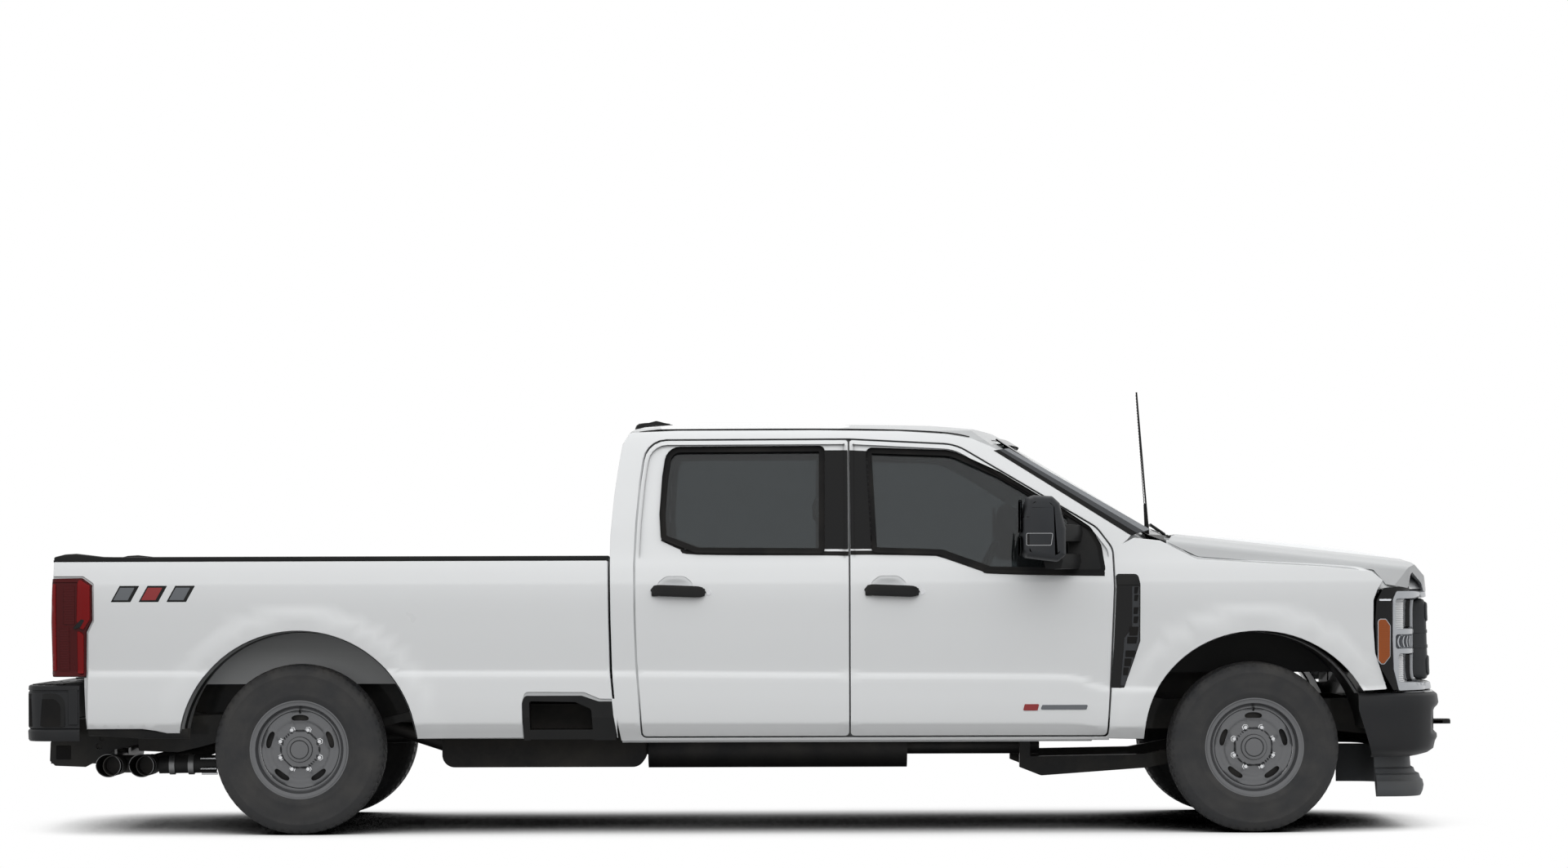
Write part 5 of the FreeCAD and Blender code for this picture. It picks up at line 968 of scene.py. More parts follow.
def door_pieces(name, loop, window, body, handle_x):
    """Skin, inner card, window seal, handle cup, handle and low seal of one pair of doors."""
    outline = rounded(loop)
    pane = rounded(window)
    cup = rounded([(handle_x - 92, 1150, 8), (handle_x - 96, 1176, 30), (handle_x - 60, 1206, 46),
                   (handle_x + 30, 1206, 46), (handle_x + 66, 1176, 30), (handle_x + 60, 1150, 8)])
    front = max(point[0] for point in outline)
    tucked = lambda a, b, depth: side_place(a, b, depth + 5 * eased((a - front + 34) / 26))
    skin = skin_panel(name + "_skin", outline, "paint_white", holes=[pane, cup], place=tucked, back=20.0)
    fit_both(skin, body, (body,))
    card_edge = shrunk(outline, 20)
    card = skin_panel(name + "_card", card_edge, "cabin_plastic", holes=[shrunk(pane, -12)],
                      place=card_place, roll=4.0, back=52.0, inward=True)
    fit_both(card, body)
    rim = band(name + "_window_seal", pane, 13, 15, "rubber_seal", proud=2.5, back=16.0)
    fit_both(rim, body)
    bowl_place = lambda a, b, depth: side_place(a, b, depth + 22 * (1 - ((a - handle_x + 15) / 84) ** 2)
                                                * eased((1208 - b) / 50) + 3)
    bowl = skin_panel(name + "_handle_cup", shrunk(cup, -4), "paint_white", place=bowl_place, roll=1.0,
                      back=4.0, grid=12.0, step=12.0, rows=lambda a: [1146 + 6 * k for k in range(12)])
    fit_both(bowl, body)
    fit_both(door_handle(name, handle_x), body)
    low = outline_slice(name, outline)
    fit_both(low, body)


def door_handle(name, x):
    """Pull handle standing off the door on two feet."""
    z = 1131.0
    points = []
    for k in range(17):
        share = k / 16
        a = x - 130 + 260 * share
        lift = 20 + 24 * (1 - abs(2 * share - 1) ** 5)
        points.append((a, -(body_half(a, z) + SKIN_PROUD + lift - 14), z + 12 - 10 * share))
    rings = []
    for k, (a, y, b) in enumerate(points):
        share = k / 16
        tall = 26 * (1 - abs(2 * share - 1) ** 8) ** 0.5 + 1
        thick = 9 * (1 - abs(2 * share - 1) ** 8) ** 0.5 + 1
        rings.append([(a, y + thick * math.copysign(abs(math.cos(t)) ** 0.6, math.cos(t)),
                       b + tall * math.copysign(abs(math.sin(t)) ** 0.6, math.sin(t)))
                      for t in [2 * math.pi * n / 20 for n in range(20)]])
    grip = lofted(name + "_handle", rings, "trim_black", crease=50)
    parts = [grip]
    for a in (x - 108, x + 108):
        base = -(body_half(a, z) + SKIN_PROUD)
        parts.append(block(name + "_handle_foot", (a - 17, base - 16, z - 17), (a + 17, base + 6, z + 19),
                           "trim_black", bevel=5.0))
    lock = tube("lock_barrel", [(x + 142, -(body_half(x + 142, z) + SKIN_PROUD + 3), z - 1),
                                (x + 142, -(body_half(x + 142, z) - 4), z - 1)], 11, "chrome", sides=20)
    return joined(name + "_handle", parts + [lock])


def outline_slice(name, outline):
    """Rubber strip along the door's lower edge."""
    low = [p for p in outline if p[1] < 470]
    x0, x1 = min(p[0] for p in low) + 20, max(p[0] for p in low) - 20
    points = [(x0 + (x1 - x0) * k / 24, 463) for k in range(25)]
    return side_strip(name + "_low_seal", points, 8, "rubber_seal", proud=-8.0, lift=6.0)


# Body panels

def body_skins():
    """Fender, bedside and cab ring skins, and the edges of the wheel arches."""
    white = "paint_white"
    wing = skin_panel("fender_skin", fender_loop(), white, back=6.0)
    fit_both(wing, "chassis", ("fenders",))
    bed = skin_panel("bedside_skin", bedside_loop(), white, back=26.0)
    fit_both(bed, "chassis")
    ring = skin_panel("cab_ring_skin", cab_ring_loop(), white, holes=[door_pair_loop()], back=7.0, grid=40.0)
    fit_both(ring, "chassis")
    for loop in (arc(0.0, 553, 6, 171, 48), arc(FRONT_AXLE, 539, 28, 174, 48)):
        rings = []
        for x, z in loop:
            half = body_half(x, z)
            rings.append([(x, -(half + SKIN_PROUD - 4), z), (x, -(half - 50), z), (x, -(half - 105), z - 2)])
        # the arch lip takes the body paint darkened as painted shade
        lip = sheet("arch_lip", rings, "paint_inner")
        rings = [[ring[2], (ring[2][0], ring[2][1] + 90, ring[2][2] - 5)] for ring in rings]
        liner = sheet("arch_liner_edge", rings, "trim_black")
        fit_both(joined("arch_edge", [lip, liner]), "chassis")


HOOD_EDGE = ((4049, 1378), (4106, 1349), (4177, 1300), (4215, 1289), (4524, 1267), (4790, 1251), (5026, 1228),
             (5081, 1204), (5200, 1184), (5350, 1176))
HOOD_TOP = ((4060, 1410), (4127, 1404), (4245, 1396), (4482, 1379), (4719, 1358), (4956, 1328), (5075, 1311),
            (5193, 1288), (5350, 1260))
HOOD_ACROSS = ((0.0, 0.97), (0.20, 1.0), (0.40, 1.0), (0.475, 0.94), (0.53, 0.70), (0.60, 0.56), (0.78, 0.40),
               (0.90, 0.22), (0.97, 0.07), (1.0, 0.0))
HOOD_HALF = ((4049, 934), (4106, 938), (4199, 962), (4524, 966), (4790, 972), (5026, 974), (5085, 968))
HOOD_NOSE = ((0, 5352), (300, 5346), (500, 5330), (692, 5290), (850, 5215), (925, 5146), (950, 5112),
             (968, 5078))
HOOD_ROLL = ((0, 1.0), (8, 0.86), (19, 0.70), (39, 0.53), (59, 0.39), (78, 0.26), (98, 0.15), (118, 0.075),
             (137, 0.03), (165, 0.0))
HOOD_LIP = 1146.0


def hood_height(x, y):
    """Height of the hood's top at a place."""
    share = min(abs(y) / along(HOOD_HALF, x), 1.0)
    low = along(HOOD_EDGE, x)
    top = low + (along(HOOD_TOP, x) - low) * along(HOOD_ACROSS, share)
    return top - (top - HOOD_LIP) * along(HOOD_ROLL, max(along(HOOD_NOSE, abs(y)) - x, 0.0))


def hood_skin():
    """Hood top from its bowed rear edge to the rounded leading edge."""
    rows = []
    for k in range(65):
        share = 1 - (1 - k / 64) ** 1.8
        row = []
        for n in range(81):
            u = -1 + 2 * n / 80
            rear = 4063 + 118 * (1 - u * u)
            x = rear + (along(HOOD_NOSE, abs(u) * 968) - rear) * share
            y = u * along(HOOD_HALF, x)
            row.append((x, y, hood_height(x, y)))
        rows.append(row)
    rows = ([[(x + 3, y, z - 26) for x, y, z in rows[0]]] + rows
            + [[(x + 2, y, z - 9) for x, y, z in rows[-1]]]
            + [[(x - 16, y, z - 12) for x, y, z in rows[-1]]])
    rings = [[(ring[0][0], ring[0][1] + 2, ring[0][2] - 24)] + ring
             + [(ring[-1][0], ring[-1][1] - 2, ring[-1][2] - 24)] for ring in rows]
    fit(sheet("hood_skin", rings, "paint_white", crease=48), "hood")


ROOF_LINE = ((1500, 1890), (1530, 1912), (1600, 1934), (1751, 1944), (1871, 1948), (2232, 1947),
             (2633, 1941), (2953, 1929), (3154, 1910), (3234, 1900), (3314, 1880), (3394, 1846),
             (3474, 1800))


def roof_skin():
    """Roof skin with its drip channel strips."""
    rows = []
    for k in range(49):
        share = k / 48
        row = []
        for n in range(41):
            u = -1 + 2 * n / 40
            y = 716 * u
            front = 3356 - 150 * u * u
            rear = 1520 + 30 * u * u
            x = rear + (front - rear) * share
            shift = (front - 3356) * share
            z = along(ROOF_LINE, x - shift) - 48 * abs(u) ** 2.3
            if abs(u) == 1.0:
                z = min(z, 1896) - 10
            row.append((x, y, z))
        rows.append(row)
    rows = [[(x - 6, y, z - 30) for x, y, z in rows[0]]] + rows + [[(x + 4, y, z - 16)
            for x, y, z in rows[-1]]]
    roof = sheet("roof_skin", rows, "paint_white", crease=60)
    fit(roof, "chassis")
    ditch = [(x, z) for x, z in ((1588, 1886), (1653, 1894), (1769, 1898), (2427, 1899), (2813, 1893),
                                 (3045, 1879), (3150, 1860))]
    rings = []
    for x, y, z in swept([(x, -(body_half(x, min(z, 1893)) - 10), z) for x, z in ditch], 6):
        rings.append([(x, y - 9, z + 1), (x, y - 4, z + 6), (x, y + 8, z + 6), (x, y + 14, z - 2)])
    strip = sheet("roof_ditch_strip", rings, "rubber_seal")
    fit_both(strip, "chassis")


# Windows and black trim

def pillar_trim():
    """Black pillars, mirror sail, screen side border with bands of painted reflection, and belt seals."""
    black = "gloss_black"
    pillars = (("door_front_{}", ((2583, 1333, 3), (2582, 1800, 3), (2668, 1796, 8), (2686, 1333, 8))),
               ("door_rear_{}", ((2458, 1333, 8), (2461, 1800, 8), (2573, 1800, 3), (2573, 1333, 3))))
    for body, loop in pillars:
        panel = skin_panel(body.format("pillar"), rounded(loop), black, place=raised(2.5), roll=1.5, back=6.0)
        fit_both(panel, body)
    sail = rounded(((3604, 1232, 8), (3600, 1488, 6), (3694, 1421, 50), (3738, 1345, 50), (3756, 1232, 12)))
    fit_both(skin_panel("mirror_sail", sail, "trim_black", place=raised(3.0), roll=3.0, back=20.0),
             "door_front_{}")
    # Screen side border: black, grey and light grey bands, a painted reflection of the raked windscreen seen
    # from the side
    low, high = ((3262, 1797), (3898, 1392)), ((3334, 1807), (3988, 1421))
    reflection_bands = []
    for share, wide, name in ((0.0, 0.34, "gloss_black"), (0.34, 0.33, "screen_reflection_band"),
                              (0.67, 0.33, "screen_reflection_light")):
        ends = [[(l[0] + (h[0] - l[0]) * t, l[1] + (h[1] - l[1]) * t) for l, h in zip(low, high)]
                for t in (share, share + wide)]
        loop = fine([ends[0][0], ends[1][0], ends[1][1], ends[0][1]], 24)
        reflection_bands.append(skin_panel("screen_reflection_band", loop, name, place=raised(1.6), roll=0.5, back=2.0, grid=30.0))
    fit_both(joined("screen_side_border", reflection_bands), "chassis")
    lines = (("door_rear_{}", [(1700, 1392), (1790, 1350), (1866, 1327), (2450, 1322), (2574, 1321)]),
             ("door_front_{}", [(2583, 1324), (2693, 1324), (2946, 1319), (3005, 1312), (3120, 1273),
                                (3200, 1245), (3240, 1234), (3500, 1226), (3770, 1222)]))
    for body, points in lines:
        fine_points = [(x, z - 9) for x, z, _ in swept([(x, z, 0) for x, z in points], 5)]
        strip = side_strip(body.format("belt"), fine_points, 20, "rubber_seal", proud=9.0, lift=4.0)
        fit_both(strip, body)


def screen_point(y, z):
    """Place ahead of the windscreen's bowed and raked outer face."""
    base = 4094 - 200 * (y / 1004) ** 2
    return base - (z - 1410) * 1.635


def windscreen_trim():
    """Black borders of the windscreen and the back window."""
    black = "gloss_black"

    def screen_place(a, b, depth):
        return (screen_point(a, b) - depth * 0.52 + 5, -a, b - depth * 0.85 + 3)

    edge = rounded(((-868, 1388, 40), (868, 1388, 40), (706, 1856, 60), (-706, 1856, 60)))
    inner = rounded(((-818, 1418, 50), (818, 1418, 50), (676, 1824, 60), (-676, 1824, 60)))
    frit = skin_panel("screen_border", edge, black, place=screen_place, holes=[inner], roll=1.5, back=8.0,
                      rows=lambda a: [1380 + 24 * k for k in range(21)])
    fit(frit, "chassis")
    back = rounded(((-590, 1362, 40), (590, 1362, 40), (590, 1790, 50), (-590, 1790, 50)))
    hole = rounded(((-548, 1396, 40), (548, 1396, 40), (548, 1756, 50), (-548, 1756, 50)))
    lean = lambda a, b, depth: (1459 + 0.17 * (b - 1400) + 14 * (a / 600) ** 2 + depth, a, b)
    rear = skin_panel("back_window_border", back, "rubber_seal", place=lean, holes=[hole], roll=2.0,
                      back=16.0, rows=lambda a: [1350 + 30 * k for k in range(16)])
    fit(rear, "chassis")


def wipers_and_cowl():
    """Wipers, cowl cover and its slats."""
    black = "trim_black"
    parts = []
    for y0, y1 in ((-760, -30), (120, 800)):
        points = []
        for k in range(15):
            y = y0 + (y1 - y0) * k / 14
            z = 1412 + 26 * math.sin(math.pi * k / 14)
            points.append((screen_point(y, z) + 14, y, z + 8))
        parts.append(tube("wiper_blade", points, 6, black, sides=8))
        parts.append(tube("wiper_arm", [(points[7][0] + 6, points[7][1], points[7][2] + 4),
                                        (4118, y0 + (y1 - y0) * 0.75, 1404),
                                        (4128, y0 + (y1 - y0) * 0.88, 1392)], [5, 8, 11], black, sides=8))
        parts.append(tube("wiper_hub", [(4128, y0 + (y1 - y0) * 0.88, 1370),
                                        (4128, y0 + (y1 - y0) * 0.88, 1402)], 18, black, sides=16))
    rings = []
    for n in range(41):
        y = -858 + 1716 * n / 40
        front = 4056 + 118 * (1 - (y / 936) ** 2)
        base = screen_point(y, 1398)
        rings.append([(base - 22, y, 1404 - 6 * abs(y / 858)), (base + 10, y, 1398),
                      (front - 8, y, 1392 - 26 * (y / 858) ** 2),
                      (front - 4, y, 1370 - 26 * (y / 858) ** 2)])
    parts.append(sheet("cowl_cover", rings, black, crease=50))
    for n in range(34):
        y = -742 + 45 * n
        front = 4056 + 118 * (1 - (y / 936) ** 2)
        base = screen_point(y, 1398)
        if front - base > 40:
            parts.append(block("cowl_slat", (base + 16, y - 3, 1394 - 24 * (y / 858) ** 2),
                               (front - 16, y + 3, 1400 - 26 * (y / 858) ** 2), black, bevel=1.5, segments=1))
    fit(joined("cowl_cover_and_wipers", parts), "chassis")


# Wheels and tyres

RIM_PROFILE = ((212, 40), (214, 84), (222, 95), (233, 99), (236, 103), (234, 107), (226, 108), (219, 101),
               (207, 96), (201, 78), (196, 62), (190, 57), (184, 56))
DISC_DEPTH = ((0, 84), (57, 84), (60, 78), (86, 74), (89, 54), (112, 50), (128, 56), (150, 66), (170, 62),
              (184, 56))


def wheel_face(x, y, settings, name):
    """Painted disc with its oval slots and centre bore."""
    slots = settings.slot_count

    def disc_place(a, b, depth):
        radius = math.hypot(a - x, b - TYRE_RADIUS)
        turn = math.atan2(b - TYRE_RADIUS, a - x)
        phase = abs((turn * slots / (2 * math.pi) - slots / 4) % 1.0 - 0.5)
        dip = 7 * eased((0.34 - phase) / 0.12) * eased((radius - 112) / 18) * eased((180 - radius) / 16)
        return (a, -(y + along(DISC_DEPTH, radius) - dip - depth), b)

    edge = [(x + 184 * math.cos(t), TYRE_RADIUS + 184 * math.sin(t))
            for t in [math.pi * k / 36 for k in range(72)]]
    bore = [(x + 60 * math.cos(t), TYRE_RADIUS + 60 * math.sin(t))
            for t in [math.pi * k / 24 for k in range(48)]]
    holes = [bore]
    for k in range(slots):
        turn = math.pi / 2 + 2 * math.pi * k / slots
        loop = []
        for n in range(28):
            t = 2 * math.pi * n / 28
            across = 40 * math.copysign(abs(math.cos(t)) ** 0.75, math.cos(t))
            out = 149 + 13 * math.copysign(abs(math.sin(t)) ** 0.75, math.sin(t))
            angle = turn - across / 149
            loop.append((x + out * math.cos(angle), TYRE_RADIUS + out * math.sin(angle)))
        holes.append(loop)
    grid = [TYRE_RADIUS - 192 + 9 * k for k in range(43)]
    return skin_panel(name + "_disc", edge, "wheel_silver", place=disc_place, rows=lambda a: grid,
                      holes=holes, back=14.0, grid=9.0, step=9.0)


def wheel(x, y, side, settings, name, body, node):
    """One road wheel with rim, barrel, cap, nuts and valve."""
    silver, dark = "wheel_silver", "wheel_dark"
    parts = [wheel_face(x, y, settings, name)]
    parts.append(spun("rim", RIM_PROFILE, x, -y, -1, silver, steps=120))
    barrel = ((212, 40), (206, 10), (206, -60), (214, -92), (224, -98), (234, -100), (236, -104))
    parts.append(spun("barrel", barrel, x, -y, -1, dark, steps=96))
    cap = ((61, 60), (61, 84), (58, 92), (52, 96), (46, 97), (43, 94), (40, 97), (22, 99), (0.5, 99))
    parts.append(spun("hub_cap", cap, x, -y, -1, silver, steps=72))
    drum = ((60, 40), (178, 30), (182, 0), (182, -40))
    parts.append(spun("brake_shade", drum, x, -y, -1, "cast_iron", steps=64))
    for k in range(settings.nut_count):
        turn = 2 * math.pi * (k + 0.5) / settings.nut_count
        cx, cz = x + 99 * math.cos(turn), TYRE_RADIUS + 99 * math.sin(turn)
        rings = []
        for radius, out in ((15.5, 48), (15.5, 54), (12, 56), (12, 70), (9, 74), (0.5, 75)):
            rings.append([(cx + radius * math.cos(math.pi * n / 3 + turn), -(y + out),
                           cz + radius * math.sin(math.pi * n / 3 + turn)) for n in range(6)])
        parts.append(lofted("nut", rings, "chrome", crease=30))
    parts.append(tube("valve", [(x, -(y + 60), TYRE_RADIUS + 172), (x, -(y + 84), TYRE_RADIUS + 186)],
                      [5, 3.5], "trim_black", sides=10))
    whole = joined(name, parts)
    if side > 0:
        mirror_mesh(whole.data)
    fit(whole, body, (node,))


TYRE_WALL = ((221, 98), (228, 106), (238, 110), (252, 117), (262, 119), (270, 117), (288, 121), (322, 122.5),
             (346, 121), (349, 122.5), (354, 121), (366, 115), (374, 112), (378, 109), (386, 104), (393, 97))


def tyre(x, y, side, settings, name, body, node):
    """Tyre with ribbed sidewalls and a blocked road tread."""
    rubber = "tyre_rubber"
    steps = settings.tread_steps
    blocks = settings.tread_blocks
    half = 97.0
    columns = 38
    rings = []
    for k in range(steps):
        angle = 2 * math.pi * k / steps
        ring = [(r, -out) for r, out in TYRE_WALL]
        for n in range(1, columns):
            place = -half + 2 * half * n / columns
            crown = 400 - 6.5 * (abs(place) / half) ** 2.4
            depth = 0.0
            for groove in (-56, -19, 19, 56):
                swing = 3.0 * math.sin(angle * blocks)
                depth = max(depth, 9.0 * eased((6.5 - abs(place - groove - swing)) / 3.5))
            lane = round(place / 37.5)
            phase = (angle * blocks / (2 * math.pi) + 0.21 * lane + place * 0.004) % 1.0
            cut = 8.0 if abs(lane) >= 2 else 5.0
            depth = max(depth, cut * eased((0.13 - abs(phase - 0.5)) / 0.05))
            ring.append((crown - depth, place))
        ring += [(r, out) for r, out in reversed(TYRE_WALL)]
        out_ring = []
        for r, out in ring:
            notch = 0.0
            if r in (386, 393):
                phase = (angle * blocks / (2 * math.pi) + 0.42) % 1.0
                notch = 6.0 * eased((0.15 - abs(phase - 0.5)) / 0.05)
            rr = r - notch * 0.4
            oo = math.copysign(abs(out) - notch * 0.6, out)
            out_ring.append((x + rr * math.cos(angle), -y + oo, TYRE_RADIUS + rr * math.sin(angle)))
        rings.append(out_ring)
    rings.append(rings[0])
    piece = sheet(name, rings, rubber, crease=55)
    if side > 0:
        mirror_mesh(piece.data)
    fit(piece, body, (node,))


def all_wheels(settings):
    """Wheels and tyres of both axles."""
    for end, x, half in (("front", FRONT_AXLE, FRONT_TRACK_HALF), ("rear", 0.0, REAR_TRACK_HALF)):
        for word, side in SIDES.items():
            key = end + "_" + word
            wheel(x, half, side, settings, "road_wheel_" + key, "wheel_" + key, "wheel_" + key)
            tyre(x, half, side, settings, "road_tyre_" + key, "wheel_" + key, "tyre_" + key)


# Nose

LAMP_PLAN = ((5029, 1003), (5060, 999), (5090, 993), (5130, 975), (5170, 944), (5202, 900), (5226, 840),
             (5240, 770), (5249, 692), (5270, 640), (5296, 560), (5318, 400), (5328, 200), (5330, 0))
GRILLE_PLAN = ((5246, 678), (5280, 679), (5304, 676), (5320, 664), (5329, 640), (5334, 600), (5342, 500),
               (5354, 300), (5364, 120), (5366, 0))


class Plan:
    """Plan curve of the nose from its right edge over the middle to its left edge, standing upright."""

    def __init__(self, points, lean=None):
        half = [(x, -y) for x, y, _ in swept([(x, y, 0) for x, y in points], 6)]
        self.points = half + [(x, -y) for x, y in half[-2::-1]]
        self.runs = [0.0]
        for one, two in zip(self.points, self.points[1:]):
            self.runs.append(self.runs[-1] + math.dist(one, two))
        self.whole = self.runs[-1]
        self.lean = lean or (lambda a, b: 0.0)

    def at(self, run):
        run = min(max(run, 0.0), self.whole)
        low, high = 0, len(self.runs) - 1
        while high - low > 1:
            middle = (low + high) // 2
            if self.runs[middle] <= run:
                low = middle
            else:
                high = middle
        share = (run - self.runs[low]) / (self.runs[high] - self.runs[low])
        one, two = self.points[low], self.points[high]
        return one[0] + (two[0] - one[0]) * share, one[1] + (two[1] - one[1]) * share

    def run(self, y):
        """Run where the curve passes a place across the truck."""
        for index in range(len(self.points) - 1):
            one, two = self.points[index][1], self.points[index + 1][1]
            if one <= y <= two and two > one:
                return self.runs[index] + (self.runs[index + 1] - self.runs[index]) * (y - one) / (two - one)
        return 0.0 if y < 0 else self.whole

    def place(self, a, b, depth):
        x, y = self.at(a)
        behind, ahead = self.at(a - 4), self.at(a + 4)
        dx, dy = ahead[0] - behind[0], ahead[1] - behind[1]
        size = math.hypot(dx, dy) or 1.0
        move = self.lean(a, b) - depth
        return (x + dy / size * move, y - dx / size * move, b)

    def raised(self, proud):
        return lambda a, b, depth: self.place(a, b, depth - proud)


FRAME_TIP = ((640, 60), (690, 54), (712, 6), (760, 0), (1030, 0), (1086, 4), (1100, 34), (1140, 30))


def lamp_plan():
    """Plan curve of the lamps, leaning forward over the grille."""
    plan = Plan(LAMP_PLAN)
    inner = plan.run(-700)
    plan.lean = lambda a, b: along(FRAME_TIP, b) * eased((min(a, plan.whole - a) - 170) / (inner - 170))
    return plan


LAMP_CELLS = ((952, 1092), (860, 924), (702, 834))


def headlamps_and_frame():
    """Front ring: black surround, amber marker, silver frame round lamps and grille, and the lamp cells."""
    black, silver, bright = "gloss_black", "lamp_silver", "lamp_reflector"
    plan = lamp_plan()
    f0, f1 = plan.run(-984), plan.run(-694)
    far = plan.whole - f0
    ring = rounded(((8, 1087, 40), (2, 991), (8, 850, 60), (34, 762, 40), (92, 664, 8), (f0 + 34, 664, 6),
                    (f0 + 4, 760, 30), (f0 - 4, 1084, 20), (f0 + 22, 1126, 10), (f0 + 130, 1130, 6),
                    (f0 + 126, 1152, 6), (42, 1144, 26)))
    parts = [plate("lamp_surround", ring, black, plan.raised(3), (650, 1160, 30), 4, 40, 20, 18)]
    chamfer = rounded(((16, 1083, 6), (f0 - 8, 1083, 6), (f0 + 16, 1118, 6), (48, 1132, 10)))
    slope = lambda a, b, depth: plan.place(a, b, depth - 6 + (b - 1083) * 0.35)
    parts.append(plate("lamp_chamfer", chamfer, bright, slope, (1080, 1140, 12), 1.5, 12, 14, 12))
    marker = rounded(((18, 988, 12), (18, 806, 14), (32, 790, 6), (44, 790, 6), (72, 824, 6), (74, 966, 8),
                      (52, 996, 6), (26, 996, 8)))
    parts.append(plate("lamp_marker_rim", shrunk(marker, -4), silver, plan.raised(4), (780, 1000, 20), 1, 10,
                       14, 12))
    lens = lambda a, b, depth: plan.place(a, b, depth - 8 + 1.2 * abs(math.sin(b * 0.35)))
    parts.append(plate("lamp_marker", marker, "lamp_amber", lens, (780, 1000, 3), 2, 14, 10, 9))
    frame_loop = rounded(((f0 + 4, 1090, 20), (f0 + 2, 900), (f0 + 8, 760, 20), (f0 + 40, 660, 10),
                          (far - 40, 660, 10), (far - 8, 760, 20), (far - 2, 900), (far - 4, 1090, 20),
                          (far - 26, 1130, 12), (f0 + 26, 1130, 12)))
    holes = []
    for start, end in ((f0 + 22, f1 - 8), (plan.whole - f1 + 8, far - 22)):
        for index, (low, high) in enumerate(LAMP_CELLS):
            lean = 18 if index == 2 else 0
            one = start + lean if start < plan.whole / 2 else start
            two = end - lean if start > plan.whole / 2 else end
            holes.append(oblong(one, low, two, high, 12))
    g0, g1 = f1 + 3, plan.whole - f1 - 3
    holes.append(rounded(((g0, 706, 26), (g0, 1084, 26), (g0 + 40, 1096, 10), (g1 - 40, 1096, 10),
                          (g1, 1084, 26), (g1, 706, 26), (g1 - 40, 694, 10), (g0 + 40, 694, 10))))
    parts.append(plate("front_frame", frame_loop, silver, plan.raised(4), (650, 1140, 14), 4, 46, 24, 16,
                       holes=holes))
    for start, end, turn in ((f0 + 12, f1 - 2, 1), (plan.whole - f1 + 2, far - 12, -1)):
        wide = end - start
        for index, (low, high) in enumerate(LAMP_CELLS):
            back = oblong(start, low - 10, end, high + 10)
            if index == 1:
                place = lambda a, b, depth: plan.place(a, b, depth + 30 + 14 * ((b - 892) / 42) ** 2)
            else:
                place = lambda a, b, depth: plan.place(a, b, depth + 26 + 1.6 * math.sin(b * 0.6) + 34
                                                       * eased((a - start if turn > 0 else end - a) / wide
                                                               - 0.2))
            parts.append(plate("lamp_cell", back, "lamp_pale" if index != 1 else bright, place,
                               (low - 10, high + 10, 2.6 if index != 1 else 10), 1, 4, 16, 14))
            if index != 1:
                edge = end - 62 if turn > 0 else start + 6
                shade = oblong(edge, low + 4, edge + 56, high - 4, 4)
                parts.append(plate("lamp_cell_shade", shade, black, plan.raised(-12), (low, high, 20), 2, 20,
                                   16, 14))
        for k in range(4):
            a = (start + 34 + 36 * k) if turn > 0 else (end - 34 - 36 * k)
            rings = []
            for n in range(9):
                b = 866 + 52 * n / 8
                bow = 12 * math.sin(math.pi * n / 8) * turn
                rings.append([plan.place(a - bow, b, 2), plan.place(a + 9 - bow, b, 2),
                              plan.place(a + 9 - bow, b, 32), plan.place(a - bow, b, 32)])
            parts.append(lofted("lamp_fin", rings, silver, crease=30))
    whole = joined("headlamps_and_frame", parts)
    fit(whole, "chassis", ("headlamps",))


def hexagon(a, b, radius):
    """Corners of a hexagon."""
    return [(a + radius * math.cos(math.pi * k / 3), b + radius * math.sin(math.pi * k / 3))
            for k in range(6)]


GRILLE_LEAN = ((700, -14), (722, 2), (740, 4), (850, 0), (980, -4), (1060, -6), (1080, -12), (1093, -26),
               (1104, -44))
GRILLE_BANDS = ((968, 1090), (712, 836))


def honeycomb(name, plan, loop, radius, depth, deep, material, skip=lambda a, b: False):
    """Thin-walled hexagonal cells over an outline."""
    verts, faces = [], []
    pitch_a, pitch_b = radius * 1.5, radius * math.sqrt(3)
    low, high = min(p[1] for p in loop), max(p[1] for p in loop)
    start_a, end_a = min(p[0] for p in loop), max(p[0] for p in loop)
    for col in range(int((end_a - start_a) / pitch_a) + 1):
        for row in range(int((high - low) / pitch_b) + 1):
            a = start_a + col * pitch_a
            b = low + (row + 0.5 * (col % 2)) * pitch_b
            if not inside(loop, a, b) or skip(a, b):
                continue
            start = len(verts)
            for size, back in ((radius, depth), (radius * 0.86, depth), (radius * 0.82, depth + deep)):
                verts += [plan.place(p, q, back) for p, q in hexagon(a, b, size)]
            for k in range(6):
                n = (k + 1) % 6
                faces.append((start + k, start + n, start + 6 + n, start + 6 + k))
                faces.append((start + 6 + k, start + 6 + n, start + 12 + n, start + 12 + k))
    mesh = bpy.data.meshes.new(name)
    mesh.from_pydata([spot(*v) for v in verts], [], faces)
    return shown(name, mesh, material, smooth=False)


